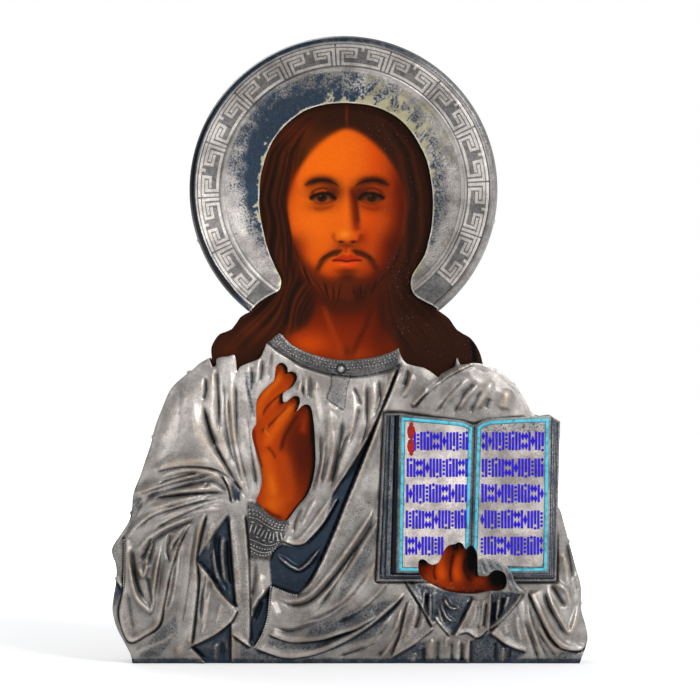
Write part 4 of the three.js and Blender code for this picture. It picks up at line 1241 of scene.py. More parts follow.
SWELLS = [
    ((350, 470), (80, 110), 1.8), ((190, 425), (50, 75), 2.4), ((195, 500), (75, 38), 3.2),
    ((165, 590), (55, 65), 2.8), ((235, 585), (35, 65), 2.0), ((320, 620), (100, 45), 3.2),
    ((455, 620), (65, 45), 3.6), ((545, 615), (40, 55), 3.2), ((450, 388), (65, 28), 2.0),
]
LININGS = [
    (1.0, 1.8, [398, 366, 388, 393, 377, 418, 366, 441, 353, 463, 339, 485, 333, 495, 325, 521,
                305, 545, 293, 547, 282, 545, 273, 551, 270, 562, 272, 586, 283, 591, 298, 594,
                310, 582, 322, 560, 335, 530, 348, 497, 353, 485, 363, 460, 372, 437, 381, 413,
                390, 392, 399, 368]),
    (0.84, 1.8, [229, 514, 215, 533, 202, 552, 197, 560, 210, 576, 221, 592, 237, 607, 234, 570,
                230, 525]),
    (0.78, 1.6, [191, 648, 215, 636, 231, 623, 231, 664, 207, 664]),
    (1.0, 1.6, [271, 586, 262, 598, 254, 610, 250, 630, 249, 642, 252, 647, 262, 634, 268, 610]),
    (0.72, 1.4, [435, 589, 473, 596, 464, 615, 451, 636, 433, 616]),
    (0.72, 1.2, [408, 580, 434, 588, 434, 626, 417, 601]),
    (0.66, 1.2, [493, 592, 524, 592, 505, 617, 490, 631]),
    (0.7, 1.0, [391, 659, 412, 646, 426, 640, 424, 664, 396, 664]),
    (0.75, 0.5, [470, 641, 478, 637, 489, 633, 496, 640, 496, 664, 470, 664]),
    (0.7, 1.0, [496, 638, 508, 646, 527, 653, 511, 664, 496, 664]),
    (0.9, 1.0, [232, 484, 240, 490, 240, 501, 231, 500]),
    (0.7, 0.5, [115, 577, 122, 591, 113, 607]),
    (0.5, 0.0, [143, 497, 127, 532, 133, 499]),
    (0.55, 0.0, [310, 628, 360, 606, 402, 598, 382, 634, 330, 650, 270, 649, 268, 640, 300, 644]),
    (0.6, 0.0, [240, 643, 262, 652, 290, 661, 330, 659, 345, 664, 240, 664]),
    (0.85, 0.0, [110, 658.5, 600, 658.5, 600, 670, 110, 670]),
    (0.5, 0.0, [138, 658, 150, 640, 176, 614, 178, 632, 160, 656]),
    (0.35, 0.0, [244, 372, 258, 372, 256, 400, 250, 420]),
    (0.45, 0.0, [560, 652, 582, 648, 580, 664, 556, 664]),
    (0.4, 0.0, [341, 580, 356, 556, 382, 512, 384, 530, 360, 575, 338, 606]),
]
# Patches of painted light and shade on the cloth: middle, radii and factor.
LIT_AND_SHADED_PATCHES = [
    ((195, 415), (50, 60), 1.12), ((158, 585), (42, 60), 0.88), ((445, 388), (52, 28), 0.54),
    ((472, 373), (15, 6), 0.6), ((330, 455), (16, 40), 0.72), ((241, 575), (9, 62), 0.84),
    ((215, 610), (16, 30), 1.15), ((352, 555), (28, 45), 1.08), ((565, 510), (22, 60), 0.85),
    ((345, 640), (90, 22), 0.9), ((566, 620), (24, 24), 1.15), ((268, 545), (14, 30), 0.8),
    ((300, 380), (22, 20), 0.85),
]
PLACKET = [333, 374, 350, 375, 347, 388, 344, 409, 336, 405, 327, 398, 331, 386]
STIPPLES = [
    PLACKET,
    [111, 550, 125, 537, 124, 588, 117, 578, 114, 563],
    [212, 520, 225, 512, 215, 531, 203, 549],
    [236, 608, 230, 622, 212, 636, 196, 644, 206, 622, 226, 610],
    [230, 516, 244, 510, 249, 570, 251, 646, 231, 634, 238, 605],
    [349, 498, 373, 500, 345, 545, 315, 586, 301, 596, 324, 562],
    [410, 596, 434, 628, 412, 646, 392, 658, 402, 630],
    [475, 596, 491, 592, 488, 628, 476, 637, 460, 631],
    [489, 633, 516, 611, 526, 651, 503, 643],
    [272, 343, 300, 358, 340, 369, 398, 358, 398, 364, 340, 375, 296, 362],
]
# The cloth's tone by row: darker towards the bottom.
TONE_ROWS = [340, 400, 440, 480, 520, 560, 600, 640, 665]
TONE_ROW_SHARES = [0.8, 0.84, 0.74, 0.66, 0.6, 0.57, 0.57, 0.55, 0.5]


@dataclass
class Garments:
    """The pressed sheet of the robe, chased into folds, with its return edge over the board."""

    pitch: float = 0.52 * MM
    spacing: float = 0.5 * MM
    edge_height: float = 2.2 * MM
    height: float = 5 * MM
    edge_run: float = 9 * MM
    lip_height: float = 4 * MM
    lip_run: float = 4 * MM
    seat_height: float = 3 * MM
    collar_rise: float = 1.2 * MM
    cuff_rise: float = 0.8 * MM
    placket_rise: float = 0.7 * MM
    rounding: float = 0.7 * MM
    least_height: float = 1.1 * MM
    clearance: float = 0.3 * MM

    def __post_init__(self) -> None:
        """Lays the outlines out and works out the heights."""
        self.raster = Raster((104, 669), (597, 334))
        parts = (LEFT_SIDE, RIGHT_SIDE, LEFT_NECKLINE, COLLAR_TOP, RIGHT_NECKLINE, COLLAR_BOTTOM)
        left, right, left_neck, top, right_neck, bottom = (smooth_path(part, self.spacing) for part in parts)
        foot = to_panel([(132 + i, FOOT_PIXEL) for i in range(1, 448)])
        self.neck = np.vstack([left_neck[:-1], top[:-1], right_neck])
        self.side = np.vstack([right[::-1], foot[::-1], left[::-1]])
        self.outline = turn_clockwise(np.vstack([left, foot, right, self.neck[::-1][1:-1]]))
        self.hands = [outline_of(part, self.spacing) for part in (BLESSING_OPENING, BOOK_HAND_OPENING)]
        self.book = turn_clockwise(divided(to_panel(BOOK_COVER), self.spacing, True))
        self.collar_top, self.collar_bottom = top, bottom
        self.collar = np.vstack([top, bottom])
        self.chase_folds()
        self.tint_regions()
        self.heights = self.work_heights()

    def near(self, lines: list[Array], reach: float) -> Array:
        """The distance to the nearest of some lines, up to a reach."""
        return np.min([self.raster.measure(line, reach)[0] for line in lines], axis=0)

    def softened(self, loop: Array, soft: float) -> Array:
        """A mask of an outline's inside, soft along its edge."""
        return self.raster.blur(self.raster.fill(loop).astype(float), soft)

    def fold_profile(self, fold: Fold) -> tuple[Array, Array]:
        """Works out one fold over the raster.

        Args:
            fold: the fold.

        Returns:
            Its rise, and its line, which is above zero for a painted shadow line and below zero for a painted
            highlight.
        """
        rise, width = fold.rise * MM, fold.width * MM
        reach = width * (3.2 if fold.form is not Form.CREASE else 2.2)
        distance, side, share = self.raster.measure(smooth_path(fold.path, 1 * MM), reach)
        tip = {Form.RIDGE: 0.26, Form.CREASE: 0.2, Form.STEP: 0.06}[fold.form]
        taper = ease(share / tip) * ease((1 - share) / tip)
        width = width * (0.45 + 0.55 * taper)
        strength = taper * (distance < reach) * min(fold.rise / 1.7, 1.1)
        rise = rise * taper * (distance < reach)
        # A ridge: a painted highlight along its crest.
        if fold.form is Form.RIDGE:
            return rise * bell(distance, width), strength * -0.9 * bell(distance, 0.4 * width)
        # A crease: a painted shadow line along it.
        if fold.form is Form.CREASE:
            return -rise * np.exp(-((distance / width) ** 1.6)), strength * bell(distance, 0.45 * MM)
        signed = np.where(side > 0, distance, -distance)
        high = ease((signed + 0.35 * MM) / (0.7 * MM)) * bell(np.maximum(signed, 0), width)
        groove = bell(np.maximum(-signed, 0), 0.9 * MM) * (signed < 0)
        # A step: painted shadow just below its edge, painted highlight just above it.
        line = bell(signed, 0.5 * MM, -0.45 * MM) - bell(signed, 0.55 * MM, 0.7 * MM)
        return rise * (high - 0.55 * groove), strength * line

    def chase_folds(self) -> None:
        """Chases all the folds: how far they rise, the painted shadow along their lines and the painted
        highlight on their crests.
        """
        raised, sunk, self.dark, self.painted_highlight = np.zeros((4, *self.raster.shape))
        for form, rows in ((Form.RIDGE, RIDGES), (Form.CREASE, CREASES), (Form.STEP, STEPS)):
            for row in rows:
                profile, line = self.fold_profile(Fold(form, *row))
                self.dark = np.maximum(self.dark, line)
                self.painted_highlight = np.maximum(self.painted_highlight, -line)
                raised += np.maximum(profile, 0) ** 3
                sunk = np.minimum(sunk, profile)
        self.folds = np.cbrt(raised) + sunk

    def tint_regions(self) -> None:
        """Lays the blue linings, the stippled regions and the tone: darker towards the bottom, with painted
        light and shade in patches.
        """
        raster = self.raster
        self.blue, self.stipple, self.sunken = np.zeros((3, *raster.shape))
        for strength, depth, pixels in LININGS:
            loop = to_panel(pixels)
            self.blue = np.maximum(self.blue, strength * self.softened(loop, 0.35 * MM))
            if depth:
                self.sunken += depth * MM * self.softened(loop, 0.5 * MM)
        for pixels in STIPPLES:
            self.stipple = np.maximum(self.stipple, self.softened(to_panel(pixels), 0.3 * MM))
        self.tone = np.interp(FOOT_PIXEL - raster.rows / PIXEL, TONE_ROWS, TONE_ROW_SHARES)[:, None]
        # Patches of painted light and shade.
        for centre, radii, factor in LIT_AND_SHADED_PATCHES:
            self.tone = self.tone * (1 + (factor - 1) * np.exp(-raster.away(centre, radii)))

    def work_heights(self) -> Array:
        """Works out the heights, and finishes the marks along bands and hems.

        Returns:
            The heights of the cloth above the painted face.
        """
        raster = self.raster
        edge = ease(raster.measure(self.side, self.edge_run)[0] / self.edge_run)
        heights = self.edge_height + (self.height - self.edge_height) * edge
        for centre, radii, rise in SWELLS:
            heights += rise * MM * np.clip(1 - raster.away(centre, radii), 0, 1) ** 2 * edge
        heights += self.folds - self.sunken
        cuff = self.softened(smooth_path(CUFF, self.spacing, True), 0.3 * MM)
        self.stipple = np.maximum(self.stipple, cuff)
        heights += self.cuff_rise * cuff
        openings = [self.neck, *(joined(hand) for hand in self.hands)]
        lip = ease(self.near(openings, self.lip_run) / self.lip_run)
        heights = self.lip_height + (heights - self.lip_height) * (0.35 + 0.65 * lip)
        collar = raster.fill(self.collar)
        below = raster.measure(shifted(self.collar_bottom, -0.5 * MM, False), 1.6 * MM)[0]
        heights -= 1.6 * MM * bell(below, 0.75 * MM) * ~collar
        heights = np.where(collar, self.lip_height + self.collar_rise, heights)
        edges = self.near([self.collar_bottom, self.collar_top], 2 * MM)
        heights -= collar * 0.35 * MM * bell(edges, 0.22 * MM, 0.95 * MM)
        hem = ease(raster.measure(self.collar_bottom, 2 * MM)[0] / (1.2 * MM))
        # Painted shadow lines stop at the collar, painted highlights at the collar and cuff, and the lining's
        # blue gives way under painted highlight.
        self.dark *= ~collar * hem
        self.painted_highlight *= ~collar * (1 - cuff)
        self.blue *= 1 - 0.7 * np.clip(self.painted_highlight, 0, 1)
        self.banded = raster.blur(np.maximum(1.9 * collar, 1.9 * cuff), 0.25 * MM)
        beads = self.near([smooth_path(path, 0.5 * MM) for path in BEADED_EDGES], 1.6 * MM)
        self.banded += 2.1 * bell(beads, 0.95 * MM)
        button = np.hypot(raster.columns - BUTTON[0], (raster.rows - BUTTON[1])[:, None])
        self.banded += 1.5 * bell(button, 0.45 * MM, 2.0 * MM)
        placket = smooth_path(PLACKET, self.spacing, True)
        border = bell(raster.measure(joined(placket), 1.4 * MM)[0], 0.32 * MM)
        self.banded += (1.7 * border + 0.9 * raster.fill(placket)) * ~collar
        heights += self.placket_rise * self.softened(placket, 0.2 * MM) * ~collar
        heights = raster.blur(heights, 0.16 * MM)
        full = ease(self.near([self.side, *openings], self.rounding) / self.rounding)
        return np.maximum(heights - 0.45 * MM * (1 - full), self.least_height)

    def marks(self, points: Array) -> Marks:
        """The values that the silver reads: hollows with patina and painted shade, ridges with wear and
        painted highlight, blue lining, stippled cloth and the tone's painted light and shade.

        Args:
            points: places on the panel.

        Returns:
            The values by their names.
        """
        # Hollows, from how far the cloth lies below its blurred self: patina and painted shade, with the fold
        # lines' painted shadow.
        broad = self.raster.blur(self.heights, 1.7 * MM) - self.heights
        close = self.raster.blur(self.heights, 0.6 * MM) - self.heights
        hollow = np.clip(np.maximum(broad / (1.5 * MM), close / (0.7 * MM)), 0, 1)
        hollow = np.clip(0.8 * hollow + 0.42 * self.banded + 0.56 * self.dark, 0, 1)
        # Ridges: wear on the high cloth, and painted highlight along the fold crests.
        ridge = np.clip(np.clip(-broad / (0.8 * MM), 0, 1) * 0.6 + 0.6 * self.painted_highlight, 0, 0.8)
        values = {"hollow": hollow, "ridge": ridge, "blue": self.blue, "stipple": self.stipple,
                  "tone": self.tone}
        return {name: self.raster.sample(value, points) for name, value in values.items()}

    def front(self, points: Array) -> Array:
        """Levels of the cloth's front, flat where the book lies.

        Args:
            points: places on the panel.

        Returns:
            The level at each place.
        """
        levels = PAINTED_FACE + self.raster.sample(self.heights, points)
        seat = is_inside(points, shifted(self.book, -self.clearance - 0.02 * MM))
        flat = PAINTED_FACE + self.seat_height
        rise = ease((distance_to(points, joined(self.book)) - self.clearance) / (1.1 * MM))
        near = np.where(levels > flat, flat + (levels - flat) * rise, levels)
        return np.where(seat, np.minimum(levels, flat), near)

    def build(self, silver: Material) -> None:
        """Builds the sheet and its return edge.

        Args:
            silver: the finish of the cloth.
        """
        seat = shifted(self.book, -self.clearance)
        inner = shifted(self.outline, 0.6 * MM)
        guides = [shifted(seat, step * MM) for step in (0, 0.45, -0.4, -0.8, -1.2)]
        guides = [guide[is_inside(guide, inner)] for guide in guides]
        guides += [shifted(self.outline, 0.3 * MM)] + [shifted(hand, -0.3 * MM) for hand in self.hands]
        for hand in self.hands:
            guides = [guide[~is_inside(guide, hand)] for guide in guides]
        coarse = shifted(self.book, 2 * MM)
        sheet = Relief("riza_sheet_chased", [self.outline], self.hands, self.pitch, guides, coarse)
        settle(sheet.build(self.front, level_of(SHEET_SEAT), self.marks), silver, "silver", "riza_sheet")
        band = np.vstack([self.side, shifted(self.side, SHEET, False)[::-1]])
        settle(Relief.return_edge("riza_return_edge", [band]), silver, "silver", "riza_sheet")


PATCH_DEGREES = [0, 20, 35, 50, 65, 80, 95, 110, 130, 150, 165, 185, 200, 215, 320, 340, 360]
PATCH_WIDTHS = [2.8, 2.6, 5.5, 7.5, 4.0, 2.2, 3.0, 2.0, 0.1, 3.4, 1.8, 2.2, 2.6, 0.8, 1.6, 1.8, 2.8]
# Painted light and shade by angle round the halo.
LIT_DEGREES = [0, 30, 60, 90, 120, 150, 180, 205, 235, 300, 340, 360]
LIT_SHARES = [0.70, 0.66, 0.54, 0.46, 0.50, 0.74, 1.0, 1.0, 0.72, 0.5, 0.6, 0.70]
# Painted shade on the halo's rim, by angle.
RIM_SHADE_DEGREES = [0, 40, 70, 100, 150, 180, 215, 250, 290, 330, 360]
RIM_SHADE_SHARES = [0.25, 0.42, 0.66, 0.86, 0.86, 0.72, 0.75, 0.5, 0.2, 0.15, 0.25]
DISH_SHARES = [0.3, 0.42, 0.55, 0.64, 0.72, 0.776, 0.79, 0.80, 0.955, 0.962, 0.968, 0.985, 1.0]
DISH_HEIGHTS = [3.1, 3.1, 3.3, 4.1, 5.5, 7.0, 7.35, 7.25, 7.45, 7.9, 8.0, 7.2, 4.8]
DISH_LINES = [
    (0.957, 0.3, 0.004), (0.79, 0.25, 0.004), (0.765, 0.3, 0.0045), (0.946, -0.3, 0.004),
    (0.803, -0.25, 0.004),
]


@dataclass
class Halo:
    """The pressed dish behind the head, with a meander band."""

    navy_shares: tuple[float, ...] = (0.655, 0.67, 0.715, 0.74, 0.69, 0.64, 0.61, 0.63, 0.655)
    band_start: float = 0.79
    band_end: float = 0.956

    def level(self, points: Array) -> Array:
        """Levels of the dish's front at places on the panel.

        Args:
            points: places on the panel.

        Returns:
            The level at each place.
        """
        radius = np.linalg.norm(points - to_panel(HALO_CENTRE)[0], axis=1) / HALO_RADIUS
        height = np.interp(radius, DISH_SHARES, DISH_HEIGHTS) * MM
        for line, rise, width in DISH_LINES:
            height += rise * MM * bell(radius, width, line)
        return PAINTED_FACE + height

    def patches(self, points: Array, radius: Array, degrees: Array, cut: Array) -> tuple[Array, Array]:
        """Where the plating has gone, along the head's cut and as mottling beside it.

        Args:
            points: places on the panel.
            radius: their distance from the centre, as a share of the halo's radius.
            degrees: their direction from the centre.
            cut: their distance from the head's opening.

        Returns:
            How bare the metal is at each place, in patches and as mottling.
        """
        wobble = np.interp(degrees, [0, 30, 85, 110, 360], [0, 0.75, 0.7, 0, 0])
        wobble += 0.9 * ripple(points, 2.6 * MM) + 0.5 * ripple(points, 0.9 * MM)
        width = np.interp(degrees, PATCH_DEGREES, PATCH_WIDTHS) * MM * np.clip(wobble, 0, 2)
        patch = ease((width - cut) / (0.4 * MM) + 0.5) * (radius < 0.8)
        mottled = np.interp(degrees, [0, 15, 30, 75, 95, 120, 200, 360], [0.2, 0.8, 1, 1, 0.5, 0, 0, 0])
        spots = 0.9 * ripple(points, 0.75 * MM) + 0.9 * ripple(points, 2.7 * MM)
        return patch, mottled * ease((self.band_start - radius) / 0.03) * ease(0.38 + 1.5 * spots)

    def marks(self, points: Array) -> Marks:
        """The values that the halo's silver reads: navy inside, a painted highlight along the cut, painted
        shade and shadow on the rim, and painted light and shade by angle.

        Args:
            points: places on the panel.

        Returns:
            The values by their names.
        """
        away = points - to_panel(HALO_CENTRE)[0]
        radius = np.linalg.norm(away, axis=1) / HALO_RADIUS
        degrees = np.degrees(np.arctan2(away[:, 1], away[:, 0])) % 360
        bound = np.interp(degrees, [0, 45, 90, 135, 165, 190, 230, 320, 360], self.navy_shares)
        inner = 1.1 * ease((bound + 0.02 * ripple(points, 3.1 * MM) - radius) / 0.15 + 0.6)
        inner *= np.interp(degrees, [0, 40, 65, 205, 230, 330, 360], [0.6, 0.66, 1, 1, 0.7, 0.72, 0.6])
        head = np.vstack([smooth_path(HEAD_OPENING, 1 * MM), to_panel(BELOW_HEAD)])
        cut = distance_to(points, joined(head))
        patch, mottled = self.patches(points, radius, degrees, cut)
        # A painted highlight along the cut edge.
        lip = 1 - ease((cut - 0.25 * MM) / (0.3 * MM))
        # Painted shade on the rim, most on the left and the top.
        shaded_side = np.interp(degrees, RIM_SHADE_DEGREES, RIM_SHADE_SHARES)
        rim = ease((radius - self.band_end) / 0.006)
        # Painted shadow: a black crescent along the rim's outer edge on the left.
        start_shares = [0.99, 0.983, 0.972, 0.962, 0.957, 0.95, 0.975, 0.99]
        start = np.interp(degrees, [0, 130, 150, 180, 200, 220, 232, 360], start_shares)
        rim_shadow = np.interp(degrees, [0, 90, 130, 150, 222, 236, 360], [0, 0.3, 0.9, 1.2, 1.2, 0, 0])
        rim_shadow *= ease((radius - start) / 0.006)
        lines = bell(radius, 0.005, 0.946) + bell(radius, 0.005, 0.801)
        band = ease((radius - 0.80) / 0.01) * ease((0.952 - radius) / 0.01)
        # Painted shade just inside the band, on the shaded side.
        below = ease((0.795 - radius) / 0.01) * ease((radius - 0.70) / 0.06)
        blue = np.maximum(inner * (1 - 0.97 * patch) * (1 - 0.7 * mottled), rim * shaded_side) * (1 - lip)
        hollow = 0.8 * lines + 0.72 * band + 0.25 * rim + 0.55 * below * shaded_side
        hollow = np.clip(np.maximum(np.clip(hollow, 0, 1), rim_shadow), 0, 1.2) * (1 - lip) * (1 - 0.8 * patch)
        # Painted light and shade by angle round the dish, a little darker inside the band.
        tone = np.interp(degrees, LIT_DEGREES, LIT_SHARES)
        tone = np.where(radius < self.band_start, np.maximum(tone * 0.85, 0.58), tone)
        stipple = 0.9 * ease((0.78 - radius) / 0.03) * (1 - patch)
        return {"hollow": hollow, "ridge": np.maximum(patch, mottled), "blue": blue, "stipple": stipple,
                "tone": np.maximum(tone, lip)}

    def build(self, silver: Material) -> None:
        """Builds the dish, its return edge and its meander.

        Args:
            silver: their finish.
        """
        head = turn_clockwise(np.vstack([smooth_path(HEAD_OPENING, 0.5 * MM), to_panel(BELOW_HEAD)]))
        rim = turn_clockwise(circle_path(HALO_RADIUS, 0.55 * MM))
        near_shares = [0.99, 0.985, 0.979, 0.974, 0.968, 0.964, 0.96, 0.956, 0.952, 0.948, 0.944, 0.939,
                       0.935, 0.931, 0.926, 0.918]
        step_shares = [0.813, 0.809, 0.805, 0.801, 0.797, 0.793, 0.79, 0.786, 0.781, 0.776, 0.77, 0.765,
                       0.76, 0.755]
        ring_shares = [1 - 0.3 * MM / HALO_RADIUS, *near_shares, *np.linspace(0.91, 0.82, 10), *step_shares]
        ring_shares += list(np.linspace(0.745, 0.45, 28))
        guides = [circle_path(share * HALO_RADIUS, 0.75 * MM) for share in ring_shares]
        guides = [guide[~is_inside(guide, shifted(head, -0.25 * MM))] for guide in guides]
        along_cut = shifted(head, -0.3 * MM)
        guides.append(along_cut[is_inside(along_cut, shifted(rim, 0.4 * MM))])
        dish = Relief("halo_chased", [rim], [head], 1 * MM, guides, scattered=False)
        settle(dish.build(self.level, level_of(SHEET_SEAT), self.marks), silver, "silver", "halo")
        band = Relief.return_edge("halo_return_edge", [rim], [shifted(rim, SHEET), head])
        settle(band, silver, "silver", "halo")
        Meander().build(self, head, silver)


HEAD_MIDDLE = 347
HAIR_DARK = (0.175, 0.08, 0.04)
HAIR_LIT = (0.44, 0.18, 0.06)
HAIR_GREY = (0.25, 0.16, 0.12)
SKIN = (0.84, 0.31, 0.015)
SKIN_LIT = (0.96, 0.45, 0.06)
SKIN_DIM = (0.50, 0.145, 0.01)
SKIN_DARK = (0.24, 0.07, 0.015)
FACE_OVAL = [
    347, 129, 359, 133, 373, 143, 387, 158, 399, 178, 405, 198, 405, 218, 400, 242, 391, 263, 379,
    282, 363, 294, 347, 298, 331, 294, 315, 282, 303, 263, 294, 242, 289, 218, 289, 198, 295, 178,
    307, 158, 321, 143, 335, 133,
]
NECK = [
    316, 262, 317, 300, 306, 326, 283, 341, 300, 362, 345, 372, 398, 360, 391, 338, 380, 322, 376,
    300, 376, 262,
]
BEARD = [
    289, 236, 292, 262, 303, 284, 322, 303, 337, 313, 343, 307, 347, 312, 351, 307, 358, 313, 372,
    303, 391, 284, 402, 262, 405, 236, 398, 240, 391, 256, 377, 271, 362, 277, 347, 273, 332, 277,
    317, 271, 303, 256, 296, 240,
]
HAIR_ROWS = [103, 112, 126, 150, 200, 280, 310, 350, 372]
HAIR_WIDTHS = [6, 34, 52, 75, 88, 74, 100, 136, 145]
JAW_COLUMNS = [292, 298, 312, 330, 344]
JAW_ROWS = [238, 256, 272, 281, 280]
HEAD_WINDOW = ((203, 378), (494, 92))
RAISED_HAND_WINDOW = ((250, 528), (320, 362))
BOOK_HAND_WINDOW = ((410, 600), (514, 534))
FACE_BOX = ((286, 312), (409, 150))
HAIR_BOX = ((206, 374), (490, 98))
HAND_BOXES = [((250, 525), (318, 360)), ((414, 598), (510, 538))]


@dataclass
class Painting:
    """A picture worked up in soft strokes on a fine grid. Widths are in pixels."""

    raster: Raster
    ground: Colour

    def __post_init__(self) -> None:
        """Lays the ground colour."""
        self.colours = np.ones((*self.raster.shape, 3)) * self.ground

    def lay(self, mask: Array, colour: Colour, strength: float) -> None:
        """Lays a colour where the mask is."""
        share = np.clip(mask * strength, 0, 1)[..., None]
        self.colours += (np.array(colour) - self.colours) * share

    def fill(self, pixels: Pixels, colour: Colour, soft: float = 1.0, strength: float = 1.0) -> None:
        """Fills a rounded outline."""
        mask = self.raster.fill(smooth_path(pixels, 0.4 * MM, True)).astype(float)
        self.lay(self.raster.blur(mask, soft * PIXEL), colour, strength)

    def stroke(self, pixels: Pixels, width: float, colour: Colour, strength: float = 1.0,
               tip: float = 0.2) -> None:
        """Draws a stroke that thins out at both ends.

        Args:
            pixels: the stroke's path.
            width: its width.
            colour: its colour.
            strength: how much it covers.
            tip: the share of its length that thins out.
        """
        reach = 2.2 * width * PIXEL
        distance, _, share = self.raster.measure(smooth_path(pixels, 0.9 * MM), reach)
        mask = np.exp(-((distance / (width * PIXEL)) ** 2)) * (distance < reach)
        self.lay(mask * ease(share / tip) * ease((1 - share) / tip), colour, strength)

    def glow(self, centre: Pair, radii: Pair, colour: Colour, strength: float) -> None:
        """Lays a soft patch."""
        self.lay(np.exp(-self.raster.away(centre, radii)), colour, strength)


def as_drawn(pixels: Pixels) -> Array:
    """The pixels as pairs."""
    return np.reshape(pixels, (-1, 2))


def mirrored(pixels: Pixels) -> Array:
    """The same pixels as pairs, on the other side of the face's middle."""
    return as_drawn(pixels) * (-1, 1) + (2 * HEAD_MIDDLE, 0)


